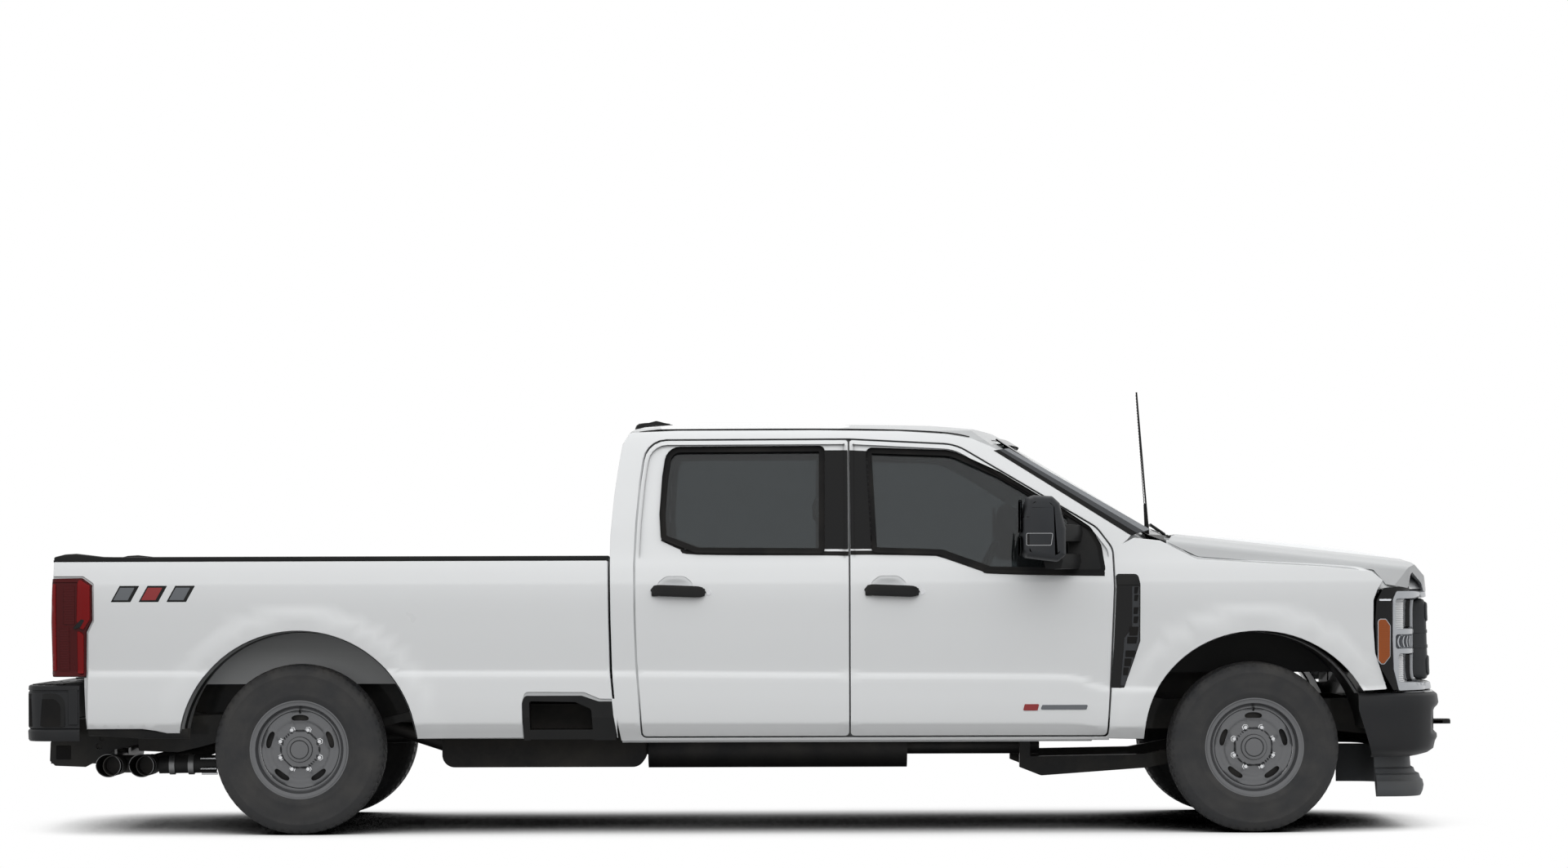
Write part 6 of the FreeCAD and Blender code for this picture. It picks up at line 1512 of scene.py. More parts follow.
def grille():
    """Grille: walls, dark back of painted shade, honeycomb, two pads with cell slots, twin bars and a bare
    boss.
    """
    grey, back = "grille_grey", "grille_back"
    plan = Plan(GRILLE_PLAN, lambda a, b: along(GRILLE_LEAN, b))
    whole, middle = plan.whole, plan.whole / 2
    side = plan.run(-640)
    outer = rounded(((2, 1070, 26), (30, 1092, 20), (whole - 30, 1092, 20), (whole - 2, 1070, 26),
                     (whole - 2, 730, 26), (whole - 30, 708, 20), (30, 708, 20), (2, 730, 26)))
    mouth = rounded(((side + 26, 1052, 24), (whole - side - 26, 1052, 24), (whole - side - 26, 748, 24),
                     (side + 26, 748, 24)))
    rows = (700, 1100, 16)
    parts = [plate("grille_shell", outer, grey, plan.place, rows, 6, 30, 20, 18, holes=[mouth])]
    # dark sheet 74 mm behind the honeycomb: painted shade of the space behind the grille
    parts.append(plate("grille_back", rounded(((side, 1070), (whole - side, 1070), (whole - side, 730),
                                               (side, 730))), back, plan.raised(-74), rows, 1, 4, 60))
    within = rounded(((side + 18, 1060), (whole - side - 18, 1060), (whole - side - 18, 740),
                      (side + 18, 740)))
    bars = ((925, 946), (854, 875))
    parts.append(honeycomb("grille_honeycomb", plan, within, 20.0, 26.0, 30.0, grey,
                           lambda a, b: any(low - 8 < b < high + 8 for low, high in bars)))
    for low, high in bars:
        loop = oblong(6, low, whole - 6, high, 8)
        parts.append(plate("grille_bar", loop, grey, plan.raised(3), (low, high, 7), 4, 30, 30))
    for low, high in GRILLE_BANDS:
        for start, end in ((side - 30, middle - 178), (middle + 178, whole - side + 30)):
            loop = oblong(start, low + 14, end, high - 14, 26)
            slots = []
            count = 7
            for k in range(count):
                c = start + 52 + (end - start - 104) * k / (count - 1)
                slots.append(oblong(c - 22, low + 46, c + 22, high - 46, 8))
            parts.append(plate("grille_pad", loop, grey, plan.raised(7), (low, high, 16), 6, 36, 22, 14,
                               holes=slots))
            for slot in slots:
                parts.append(honeycomb("grille_slot", plan, slot, 9.0, -2.0, 14.0, grey))
    boss = []
    for radius, out in ((68, -30), (68, 8), (66, 14), (60, 18), (54, 18), (52, 15), (30, 17), (0.5, 18)):
        boss.append([plan.place(middle + radius * 2.5 * math.cos(2 * math.pi * k / 64),
                                900 + radius * math.sin(2 * math.pi * k / 64), -out) for k in range(64)])
    parts.append(lofted("grille_boss", boss, "bumper_black", crease=40))
    fit(joined("grille_assembly", parts), "chassis", ("grille",))


BUMPER_PLAN = ((4954, 1004), (5092, 1004), (5180, 986), (5258, 944), (5322, 868), (5356, 780), (5382, 640),
               (5400, 480), (5414, 300), (5421, 0))
BUMPER_EDGE = ((655, 120), (655, 34), (651, 24), (640, 8), (634, 5), (600, 0), (588, 5), (574, 19),
               (560, 24), (520, 27), (480, 27), (464, 22), (450, 8), (436, 7), (418, 16), (402, 20),
               (384, 24), (366, 50), (354, 94), (349, 120), (349, 170))
SIDE_INSETS = {588: 0, 574: 0, 560: 1, 520: 3, 480: 5, 464: 6, 450: 7, 436: 9, 418: 12, 402: 16}


def plan_curve(points):
    """Curve across the nose from left to right."""
    run = [(x, y) for x, y, _ in swept([(x, y, 0) for x, y in points], 6)]
    return [(x, -y) for x, y in run] + [(x, y) for x, y in run[-2::-1]]


def bumper_ring(plan, index, edge):
    """Upright ring of points at one place of a plan curve."""
    x, y = plan[index]
    before, after = plan[max(index - 1, 0)], plan[min(index + 1, len(plan) - 1)]
    dx, dy = after[0] - before[0], after[1] - before[1]
    size = math.hypot(dx, dy)
    return [(x - dy / size * inset, y + dx / size * inset, z) for z, inset in edge]


def front_bumper():
    """Bumper skin with its ledge, bare intake, hook pockets and blanked lamp seats."""
    black = "bumper_black"
    plan = plan_curve(BUMPER_PLAN)
    rings = []
    for index in range(len(plan)):
        fade = eased((5352 - plan[index][0]) / 44)
        edge = [(z, inset + (SIDE_INSETS.get(z, inset) - inset) * fade) for z, inset in BUMPER_EDGE]
        rings.append([(max(x, 4930 + (655 - z) * 0.31), y, z) for x, y, z in bumper_ring(plan, index, edge)])
    parts = [sheet("bumper_shell", rings, black, crease=50)]
    lip = ((657, 100), (657, 40), (653, 24), (648, 30))
    ledge = [bumper_ring(plan, k, lip) for k in range(4, len(plan) - 4)]
    parts.append(sheet("bumper_ledge", ledge, "gloss_black", crease=50))
    # the intake's back is a near-black plate of painted shade behind its bars
    intake = rounded(((-360, 452, 20), (-380, 566, 20), (380, 566, 20), (360, 452, 20)))
    face = lambda a, b, depth: (5398 - 0.00006 * a * a - depth, a, b)
    parts.append(plate("bumper_intake", intake, "grille_back", face, (440, 580, 20), 4, 12, 40))
    for k in range(5):
        bar = [(5402 - 0.00006 * y * y, y, 468 + 20 * k) for y in range(-350, 351, 50)]
        parts.append(tube("intake_bar", bar, 4.0, "grille_grey", sides=8))
    for sign in (-1, 1):
        # each hook pocket is a near-black plate of painted shade
        pocket = oblong(sign * 520 - 66, 446, sign * 520 + 66, 562, 14)
        slope = lambda a, b, depth: (5376 - depth - 0.16 * (abs(a) - 520), a, b)
        parts.append(plate("hook_pocket", pocket, "grille_back", slope, (440, 570, 30), 4, 6, 40))
    fit(joined("front_bumper_cover", parts), "chassis", ("front_bumper",))


def hooks_and_dam():
    """Tow hook plates with their eyes, and the stepped apron under the bumper."""
    for y in (-520, 520):
        edge = [(5452, y - 38), (5455, y - 14), (5455, y + 14), (5452, y + 38), (5436, y + 45),
                (5240, y + 45), (5240, y - 45), (5436, y - 45)]
        eye = [(5410 + 25 * math.cos(math.pi * k / 16), y + 25 * math.sin(math.pi * k / 16))
               for k in range(32)]
        hook = rounded([(a, b, 8) for a, b in edge])
        top = plate("hook_top", hook, "trim_black", lambda a, b, depth: (a, b, 515 - depth),
                    (y - 60, y + 60, 12), 6, 22, 14, 12, holes=[eye])
        fit(top, "chassis")
    steps = ((349, 66), (292, 62), (284, 48), (264, 40), (256, 22), (236, 16), (228, 6), (204, 0), (180, 4),
             (160, 12), (155, 16), (155, 26), (170, 34), (240, 60), (349, 84))
    plan = plan_curve(((5074, 756), (5210, 738), (5290, 670), (5326, 540), (5337, 300), (5341, 0)))
    rings = [bumper_ring(plan, index, steps) for index in range(len(plan))]
    dam = lofted("air_dam_apron", rings, "dam_grey", crease=35)
    fit(dam, "chassis", ("air_dam",))


# Rear end

LAMP_FACE = ((-1154, 745, 16), (-1158, 1000), (-1151, 1204, 12), (-1006, 1207, 14), (-960, 1174, 8),
             (-960, 1010, 8), (-987, 956, 8), (-990, 745, 10))


def lamp_place(a, b, depth):
    """Point of the taillamp's face, wrapped round the rear corner."""
    half = body_half(max(a, -1100), b) + SKIN_PROUD
    return (a + (4 if a < -1150 else 0), -(half - 26 * eased((-1120 - a) / 50) - depth), b)


def taillamps():
    """Faceted red lens with a ribbed reflector column, a raised side band and a black notch."""
    red, dark, black = "lamp_red", "lamp_dark_red", "gloss_black"
    face = rounded(LAMP_FACE)
    place = raised(2, lamp_place)
    parts = [plate("lamp_case", face, dark, place, (730, 1220, 16), 5, 40, 14, 14)]
    band_loop = rounded(((-1028, 1198, 8), (-1012, 1198, 8), (-968, 1170, 8), (-968, 1014, 8),
                         (-1000, 964, 6), (-1018, 972, 6), (-1032, 1004, 8)))
    lifted = lambda a, b, depth: lamp_place(a, b, depth - 5 - 7 * eased((a + 1034) / 30))
    parts.append(plate("lamp_band", band_loop, red, lifted, (950, 1210, 14), 3, 16, 9, 12))
    low_loop = rounded(((-1030, 962, 6), (-1006, 950, 8), (-998, 940, 8), (-1000, 760, 6), (-1030, 760, 6)))
    parts.append(plate("lamp_low_band", low_loop, red, lifted, (750, 970, 14), 3, 16, 9, 12))
    edge = rounded(((-1150, 772, 6), (-1152, 1000), (-1146, 1180, 8), (-1128, 1180, 6), (-1128, 772, 6)))
    parts.append(plate("lamp_edge", edge, red, raised(6, lamp_place), (760, 1190, 16), 2, 10, 8, 12))
    for low, high, start, end in ((990, 1172, -1092, -1040), (772, 978, -1112, -1066)):
        ribs = oblong(start, low, end, high, 4)
        wavy = lambda a, b, depth: lamp_place(a, b, depth - 4 - 2.4 * abs(math.sin(b * 0.27)))
        parts.append(plate("lamp_ribs", ribs, dark, wavy, (low, high, 2.6), 1, 6, 14, 8))
    top = rounded(((-1146, 1186, 4), (-1010, 1186, 4), (-992, 1196, 6), (-1012, 1203, 4), (-1144, 1201, 6)))
    parts.append(plate("lamp_top", top, dark, raised(7, lamp_place), (1180, 1210, 6), 2, 8, 12, 10))
    notch = rounded(((-1048, 974, 4), (-1010, 1014, 4), (-992, 1012, 4), (-1012, 978, 4), (-1038, 968, 4)))
    parts.append(plate("lamp_notch", notch, black, raised(13, lamp_place), (960, 1020, 8), 1.5, 8, 10, 8))
    fit_both(joined("taillamp", parts), "chassis")
    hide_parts("taillamps")


def chevron(x, low, high, width, slant):
    """Slanted bar of the side decal."""
    lean = (high - low) * slant
    return [(x, low), (x + lean, high), (x + lean + width, high), (x + width, low)]


def decals():
    """Plain slanted bars where the photograph has lettering, and a plain two-colour bar on the door."""
    for index, (x, name) in enumerate(((-872, "stripe_grey"), (-742, "stripe_red"), (-612, "stripe_grey"))):
        outer = chevron(x, 1094, 1170, 92, 0.55)
        inner = chevron(x + 12, 1103, 1161, 68, 0.55)
        rim = plate("side_stripe_rim", rounded([(a, b, 2) for a, b in outer], 2), "trim_black", raised(0.6),
                    (1090, 1175, 20), 0.4, 0.6, 40)
        bar = plate("side_stripe", rounded([(a, b, 2) for a, b in inner], 2), name, raised(1.4),
                    (1090, 1175, 20), 0.4, 0.8, 40)
        fit_both(joined("side_stripe_%d" % index, [rim, bar]), "chassis")
    parts = []
    for x0, x1, z0, z1, name in ((3386, 3462, 576, 606, "stripe_red"), (3468, 3690, 580, 602, "stripe_grey")):
        loop = rounded(((x0, z0, 5), (x0 + 8, z1, 5), (x1, z1, 5), (x1 - 8, z0, 5)))
        parts.append(plate("door_badge", loop, name, raised(3.5), (570, 610, 8), 1, 3.5, 30, 12))
    fit_both(joined("door_badge", parts), "door_front_{}")


STEP_PLAN = ((-1021, 999), (-1150, 999), (-1220, 984), (-1262, 940), (-1280, 860), (-1281, 600), (-1281, 0))


def rear_ring(plan, index, edge):
    """Ring of the rear bumper, held behind the bed."""
    ring = bumper_ring(plan, index, edge)
    return [(min(x, -1021.0), y, z) for x, y, z in ring]


def rear_bumper():
    """Step bumper: cap, recessed step ends, lower ledge, plate seat and bare plate."""
    black, trim = "bumper_black", "trim_black"
    plan = [(x, y) for x, y, _ in swept([(x, y, 0) for x, y in STEP_PLAN], 6)]
    plan = plan + [(x, -y) for x, y in plan[-2::-1]]
    parts = []
    edge = ((704, 90), (706, 8), (702, 2), (684, 0), (682, 5), (676, 5), (674, 1), (640, 0), (560, 2),
            (505, 3), (501, 8), (496, 0), (488, -2), (452, 0), (444, 6), (442, 60))
    rings = [rear_ring(plan, k, edge) for k in range(len(plan))]
    parts.append(sheet("bumper_face", rings, black, crease=45))
    for sign in (-1, 1):
        outer = rounded(((-1268, 668, 4), (-1120, 668, 44), (-1088, 640, 40), (-1088, 510, 8),
                         (-1268, 510, 4)))
        inner = rounded(((-1262, 640, 4), (-1136, 640, 34), (-1112, 612, 30), (-1112, 518, 8),
                         (-1262, 518, 4)))
        wall = lambda a, b, depth, sign=sign: (a, sign * (1001 - 52 * eased((-1150 - a) / 120) ** 1.6
                - depth), b)
        parts.append(plate("step_frame", outer, trim, wall, (500, 680, 16), 3, 12, 16, 14, holes=[inner],
                           inward=sign > 0))
        # the step recess is a near-black plate of painted shade inside the step frame
        deep = lambda a, b, depth, sign=sign: wall(a, b, depth - 1)
        parts.append(plate("step_recess", shrunk(inner, -3), "grille_back", deep, (500, 660, 16), 1, 3, 16,
                           14, inward=sign > 0))
        panel = rounded(((-1074, 688, 6), (-1028, 688, 6), (-1028, 520, 6), (-1074, 520, 6)))
        parts.append(plate("bumper_end_panel", panel, black, deep, (510, 690, 20), 3, 5, 16, 14,
                           inward=sign > 0))
    for y0, y1 in ((-930, -330), (330, 930)):
        for k in range(5):
            x = -1262 + 34 * k
            half = 1.0 if k else 0.94
            parts.append(block("step_tread", (x, y0 * half if y0 < 0 else y0, 704),
                               (x + 16, y1 if y0 < 0 else y1 * half, 710), trim, bevel=2.0))
    seat = oblong(-190, 520, 190, 650, 12)
    back = lambda a, b, depth: (-1279 + depth, -a, b)
    parts.append(plate("plate_seat", seat, trim, back, (510, 660, 30), 4, 5, 60))
    fit(joined("rear_step_bumper", parts), "chassis", ("rear_bumper",))


def bed_end_trim():
    """Rail caps with their rear humps, black filler under the bedside and the frame plate with its holes."""
    trim = "trim_black"
    rings = []
    for x, z, wide in ((-1144, 1286, 20), (-1138, 1306, 44), (-1090, 1318, 54), (-1040, 1321, 56),
                       (-980, 1314, 54), (-915, 1306, 52), (-860, 1305, 50), (1449, 1305, 50)):
        outer = -(body_half(x, 1284) + 3)
        rings.append([(x, outer + 4, 1281), (x, outer, 1290), (x, outer + 3, z - 3), (x, outer + 9, z),
                      (x, outer + wide, z), (x, outer + wide + 6, z - 8), (x, outer + wide + 6, 1281)])
    cap = lofted("bed_rail_cap", rings, trim, crease=40)
    fit_both(cap, "chassis")
    # dark sheet under the bedside: stands for the black frame parts behind it and paints the shade among them
    rings = []
    for k in range(25):
        x = -985 + 470 * k / 24
        top = 522 - 22 * eased((x + 800) / 180)
        low = 470 - 14 * eased((x + 950) / 250)
        y = -(body_half(x, 500) - 12)
        rings.append([(x, y, top), (x, y - 4, (top + low) / 2), (x, y + 8, low), (x, y + 60, low - 4),
                      (x, y + 90, top)])
    filler = sheet("bedside_filler", rings, "bed_liner", crease=50)
    fit_both(filler, "chassis")
    holes = []
    for x, z, radius in ((-1000, 470, 7), (-964, 455, 6), (-930, 470, 8), (-1003, 436, 9), (-1015, 400, 14),
                         (-900, 462, 5)):
        holes.append([(x + radius * math.cos(math.pi * k / 8), z + radius * math.sin(math.pi * k / 8))
                      for k in range(16)])
    outline = rounded(((-1248, 424, 8), (-1252, 330, 8), (-1226, 306, 8), (-1080, 300), (-1010, 336),
                       (-940, 384), (-780, 416), (-700, 432), (-700, 530, 6), (-1130, 530, 6),
                       (-1130, 424, 6)))
    frame = plate("hitch_side_plate", outline, "frame_black", lambda a, b, depth: (a, -(470 - depth), b),
                  (290, 540, 24), 2, 8, 24, 14, holes=holes)
    # dark patch of painted shade for the receiver's opening
    socket = oblong(-1222, 336, -1150, 404, 4)
    dark = plate("hitch_side_socket", socket, "grille_back", lambda a, b, depth: (a, -(471 - depth), b),
                 (330, 410, 20), 1, 2, 30, 14)
    frame = joined("hitch_side_plate", [frame, dark])
    hanger = rounded(((-800, 540, 4), (-800, 384, 8), (-612, 376, 20), (-489, 405, 8), (-360, 440, 8),
                      (-340, 560, 4)))
    dark = plate("spring_hanger_plate", hanger, "frame_black", lambda a, b, depth: (a, -(640 - depth), b),
                 (380, 570, 24), 2, 8, 40, 20)
    fit_both(dark, "chassis")
    fit_both(frame, "chassis")


def exhaust_tips():
    """Twin outlets with slanted open mouths, a clamp and the ribbed joint ahead of them."""
    dark, steel, hollow = "trim_black", "dull_steel", "grille_back"
    parts = []
    for x in (-748, -905):
        rings = []
        for out, radius, cut in ((-560, 46, 0), (-620, 50, 0), (-690, 52, 14), (-742, 54, 36), (-744, 51, 36),
                                 (-690, 49, 14), (-610, 47, 0)):
            ring = []
            for k in range(40):
                t = 2 * math.pi * k / 40
                lean = math.cos(t)
                ring.append((x + 26 * eased((-out - 560) / 180) * -1 + radius * 1.14 * math.cos(t),
                             max(out + cut * (1 - lean) * 0.5, -744.5), 318 + radius * math.sin(t)))
            rings.append(ring)
        parts.append(lofted("outlet", rings[:5], dark, ends=False, crease=50))
        # the near-black bore and end disc of each outlet paint its sooty inside and the shade in it
        parts.append(lofted("outlet_bore", rings[4:], hollow, ends=False, crease=50))
        parts.append(tube("outlet_end", [(x - 8, -640, 318), (x - 8, -648, 318)], 49, hollow, sides=32))
        rim = [(x - 26 + 61 * math.cos(2 * math.pi * k / 40),
                max(-742 + 18 * (1 - math.cos(2 * math.pi * k / 40)), -742), 318 + 53.5
                * math.sin(2 * math.pi * k / 40)) for k in range(41)]
        parts.append(tube("outlet_rim", rim, 2.4, steel, sides=8, ends=False))
    for x in (-650, -560):
        parts.append(tube("outlet_clamp", [(x, -640, 318), (x + 26, -640, 318)], 47, steel, sides=28))
    parts.append(tube("outlet_pipe", [(-700, -640, 318), (-430, -640, 322)], 42, dark, sides=28))
    for k in range(5):
        turn = math.pi * (0.30 + 0.35 * k)
        z = 322 + 46 * math.cos(turn)
        y = -640 - 46 * abs(math.sin(turn))
        parts.append(tube("joint_rib", [(-500, y, z), (-424, y, z)], 6, "chrome", sides=10))
    fit(joined("exhaust_outlets", parts), "chassis")


# Vents, mirrors, roof fittings and seats

VENT_FACE = ((3799, 679, 6), (3812, 880), (3823, 1150), (3820, 1213, 16), (3925, 1213, 22), (3936, 1166),
             (3935, 899), (3862, 679, 8))
VENT_SLOTS = ((1120, 1152, 3905, 3927), (1086, 1115, 3905, 3927), (1025, 1057, 3902, 3927),
              (982, 1014, 3902, 3927), (924, 966, 3882, 3927), (887, 919, 3872, 3922),
              (824, 855, 3864, 3913), (781, 818, 3859, 3895), (739, 776, 3854, 3882))
MIRROR_HEAD = ((3368, 1322, 8), (3366, 1466, 20), (3380, 1529, 20), (3394, 1566, 16), (3422, 1577, 10),
               (3508, 1572, 18), (3542, 1540, 18), (3550, 1504, 12), (3570, 1425, 14), (3570, 1300, 18),
               (3532, 1269, 14), (3384, 1288, 16))


def vents():
    """Fender vent: bare gloss column, matte top plate and grey frame with dark slots."""
    grey, black, dark = "grille_grey", "gloss_black", "grille_back"
    parts = [plate("vent_base", rounded(VENT_FACE), black, raised(3), (670, 1220, 20), 3, 14, 16, 16)]
    top = rounded(((3826, 1160, 4), (3824, 1208, 12), (3922, 1208, 18), (3930, 1160, 4)))
    parts.append(plate("vent_top", top, "trim_black", raised(7), (1150, 1215, 16), 2.5, 6, 18, 14))
    side = rounded(((3896, 1154, 4), (3896, 962, 8), (3860, 912, 10), (3848, 760, 8), (3842, 690, 6),
                    (3862, 690, 6), (3930, 900, 8), (3931, 1154, 4)))
    parts.append(plate("vent_frame", side, grey, raised(6), (680, 1160, 16), 2, 5, 12, 12))
    # the slots are near-black plates of painted shade standing in for the openings
    for low, high, x0, x1 in VENT_SLOTS:
        loop = rounded(((x0, low, 3), (x0 + 2, high, 3), (x1, high, 3), (x1 - 6, low, 3)))
        parts.append(plate("vent_slot", loop, dark, raised(7.4), (low - 5, high + 5, 12), 0.6, 1.4, 14, 10))
    fit_both(joined("fender_vent", parts), "chassis")
    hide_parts("fender_vents")


def mirror_half(y):
    """How far the head's outline draws in at a distance from the truck's middle."""
    return along(((1104, 26), (1116, 8), (1140, 0), (1270, 0), (1312, 3), (1332, 10), (1341, 20),
                  (1344, 34)), y)


def mirrors():
    """Tow mirrors: domed head with a parted cap, two glasses, side lens and twin arms."""
    shell, cap, black = "mirror_shell", "trim_black", "gloss_black"
    outline = rounded(MIRROR_HEAD)
    rings = []
    for y in (1104, 1108, 1116, 1128, 1140, 1200, 1270, 1296, 1312, 1324, 1332, 1337, 1341, 1344):
        loop = shrunk(outline, mirror_half(y)) if mirror_half(y) > 0.5 else outline
        rings.append([(a, -y, b) for a, b in loop])
    parts = [lofted("mirror_head", rings, shell, crease=55)]
    side = lambda a, b, depth: (a, -(1344.6 - depth), b)
    line = []
    for k in range(25):
        a = 3366 + 8 * k
        line.append((a, -(1341 - 26 * eased((3392 - a) / 26) - 26 * eased((a - 3526) / 30)), 1474 + 0.6 * k))
    parts.append(tube("cap_line", line, 2.4, black, sides=6, ends=False))
    set_in = lambda a, b, depth: side(a, b, depth + 1)
    lens = rounded(((3384, 1344, 8), (3384, 1402, 8), (3508, 1402, 8), (3500, 1344, 8)))
    parts.append(plate("side_lens_rim", lens, "tip_steel", side, (1340, 1406, 16), 1, 4, 30, 14,
                       holes=[shrunk(lens, 3)]))
    parts.append(plate("side_lens", shrunk(lens, 2.5), "gloss_black", set_in, (1340, 1406, 16), 1, 2, 30, 14))
    back = lambda a, b, depth: (3366 + depth, a, b)
    for low, high in ((1404, 1556), (1300, 1388)):
        frame_loop = rounded(((-1326, low, 14), (-1326, high, 20), (-1124, high, 20), (-1124, low, 14)))
        parts.append(plate("glass_rim", frame_loop, cap, back, (low, high, 40), 3, 6, 60, 20, inward=True))
        parts.append(plate("glass_pane", shrunk(frame_loop, 9), "mirror_glass", lambda a, b,
                           depth: (3365.2 + depth, a, b), (low, high, 40), 0.8, 1.5, 60, 20, inward=True))
    for z0, rise in ((1404, 38), (1272, 34)):
        arm = []
        for x, y in ((3520, 1150), (3570, 1090), (3606, 1020), (3625, 960), (3630, 916)):
            arm.append([(x - 36, -y, z0 - rise), (x - 44, -y, z0), (x - 36, -y, z0 + rise),
                        (x, -y, z0 + rise + 3), (x + 36, -y, z0 + rise), (x + 44, -y, z0),
                        (x + 36, -y, z0 - rise), (x, -y, z0 - rise - 3)])
        parts.append(lofted("mirror_arm", arm, cap, crease=40))
    piece = joined("tow_mirror", parts)
    fit_both(piece, "door_front_{}", ("mirror_{}",))


def roof_fittings():
    """Mast with its wound wire and foot, roof puck and the high brake lamp."""
    black, grey = "trim_black", "mirror_shell"
    points = []
    turns = 46
    for k in range(turns * 10 + 1):
        t = k / (turns * 10)
        x, z = 3984 - 46 * t, 1420 + 640 * t
        points.append((x + 2.2 * math.cos(0.628 * k), -760 + 2.2 * math.sin(0.628 * k), z))
    mast = [tube("mast_wire", points, 1.1, black, sides=5),
            tube("mast_rod", [(3985, -760, 1400), (3938, -760, 2066)], 1.7, black, sides=8)]
    foot = spun_rod((3990, -760, 1352), (3978, -760, 1545), ((0.0, 17), (0.16, 17), (0.22, 12), (0.5, 8.5),
            (0.96, 6.5), (1.0, 3)), black)
    fit(joined("radio_mast", mast + [foot]), "chassis")
    rings = []
    for k, (size, z) in enumerate(((1.0, 1918), (0.99, 1932), (0.93, 1946), (0.8, 1955), (0.5, 1959),
                                   (0.1, 1960))):
        rings.append([(1637 + 94 * size * math.cos(math.pi * n / 16), 46 * size * math.sin(math.pi * n / 16),
                       z) for n in range(32)])
    fit(lofted("roof_puck", rings, black, crease=50), "chassis")
    lamp = block("high_brake_lamp", (1536, -150, 1862), (1560, 150, 1892), "lamp_red", bevel=5.0)
    rim = block("high_lamp_case", (1538, -172, 1856), (1562, 172, 1898), grey, bevel=6.0)
    fit(joined("high_brake_lamp_set", [lamp, rim]), "chassis")


def spun_rod(low, high, shares, material):
    """Turned rod between two points, with its radius at shares of its length."""
    rings = []
    for share, radius in shares:
        centre = [a + (b - a) * share for a, b in zip(low, high)]
        rings.append([(centre[0] + radius * math.cos(math.pi * n / 10), centre[1] + radius
                       * math.sin(math.pi * n / 10), centre[2]) for n in range(20)])
    return lofted("turned_rod", rings, material, crease=50)


def stuffed(pad, cap, voxel=0.011):
    """Blow up a closed pad with cloth, keep each point within a cap and apply the result."""
    remesh = pad.modifiers.new("remesh", "REMESH")
    remesh.mode = "VOXEL"
    remesh.voxel_size = voxel
    apply_modifiers(pad)
    start = [vert.co.copy() for vert in pad.data.vertices]
    cloth = pad.modifiers.new("cloth", "CLOTH")
    cloth.settings.quality = 4
    cloth.settings.mass = 0.3
    cloth.settings.use_pressure = True
    cloth.settings.uniform_pressure_force = 4.0
    cloth.settings.effector_weights.gravity = 0.0
    for step in range(1, 21):
        bpy.context.scene.frame_set(step)
    apply_modifiers(pad)
    bpy.context.scene.frame_set(1)
    for vert, before in zip(pad.data.vertices, start):
        move = vert.co - before
        if move.length > cap:
            vert.co = before + move * (cap / move.length)
    pad.data.update()
    for face in pad.data.polygons:
        face.use_smooth = True


def apply_modifiers(piece):
    """Replaces a piece's mesh by its result."""
    depsgraph = bpy.context.evaluated_depsgraph_get()
    result = bpy.data.meshes.new_from_object(piece.evaluated_get(depsgraph))
    piece.modifiers.clear()
    piece.data = result


def pad(name, loop, y0, y1, cap=0.013):
    """Crowned pad from a side outline, with piping along both of its edges."""
    cloth = "seat_cloth"
    tight = shrunk(loop, 10)
    body = slab(name, "xz", tight, y0 + 10, y1 - 10, cloth, bevel=16.0, segments=3)
    stuffed(body, cap)
    body.data.materials.clear()
    body.data.materials.append(finish(cloth))
    edges = []
    for y in (y0 + 13, y1 - 13):
        path = [(a, y, b) for a, b in shrunk(loop, 9)]
        edges.append(tube("piping", path + path[:1], 3.2, "rubber_seal", sides=6, ends=False))
    return joined(name, [body] + edges)


FRONT_CUSHION = ((2640, 860, 40), (2640, 960, 40), (2700, 982, 40), (3060, 1000, 60), (3084, 930, 60),
                 (3060, 858, 50))
FRONT_BACK = ((2566, 960, 40), (2500, 1200, 60), (2434, 1440, 40), (2518, 1444, 40), (2600, 1230, 60),
              (2690, 1000, 40), (2640, 950, 40))
FRONT_REST = ((2412, 1470, 30), (2406, 1586, 28), (2480, 1586, 28), (2506, 1480, 30))
REAR_CUSHION = ((1760, 850, 40), (1760, 950, 40), (1830, 966, 40), (2160, 984, 60), (2184, 920, 50),
                (2160, 842, 50))
REAR_BACK = ((1710, 930, 40), (1650, 1150, 60), (1590, 1380, 40), (1672, 1388, 40), (1745, 1160, 60),
             (1826, 965, 40), (1780, 925, 40))
REAR_REST = ((1566, 1412, 26), (1562, 1536, 26), (1626, 1536, 26), (1660, 1420, 26))


def seats():
    """Padded front seats and rear bench on their closed bases."""
    plastic = "cabin_plastic"
    for node, centres, shapes, foot in (
            ("front_seats", ((-500, 250), (0, 205), (500, 250)), (FRONT_CUSHION, FRONT_BACK, FRONT_REST),
             ((2630, 694, 30), (2600, 860, 20), (3060, 860, 20), (2990, 694, 30))),
            ("rear_bench", ((-490, 240), (0, 225), (490, 240)), (REAR_CUSHION, REAR_BACK, REAR_REST),
             ((1762, 694, 20), (1740, 850, 20), (2150, 850, 20), (2100, 694, 20)))):
        groups = []
        for y, half in centres:
            bits = []
            for index, shape in enumerate(shapes):
                wide = half if index < 2 else 120
                bits.append(pad("%s_pad" % node, rounded(shape), y - wide, y + wide))
            x, z = shapes[2][0][0] + 50, shapes[1][2][1]
            for side in (-55, 55):
                bits.append(tube("rest_post", [(x + 8, y + side, z - 20), (x, y + side, z + 60)], 6,
                                 "chrome", sides=10))
            groups += bits
            groups.append(slab("%s_base" % node, "xz", rounded(foot), y - half + 16, y + half - 16, plastic,
                               bevel=8.0))
        piece = joined("%s_dressed" % node, groups)
        fit(piece, "chassis", (node,))


# Settings, operators and panel

class PickupPaint(bpy.types.PropertyGroup):
    colour: FloatVectorProperty(name="Body colour", description="Colour of the painted panels",
                                subtype="COLOR", size=3, min=0.0, max=1.0, default=(0.933, 0.941, 0.945))


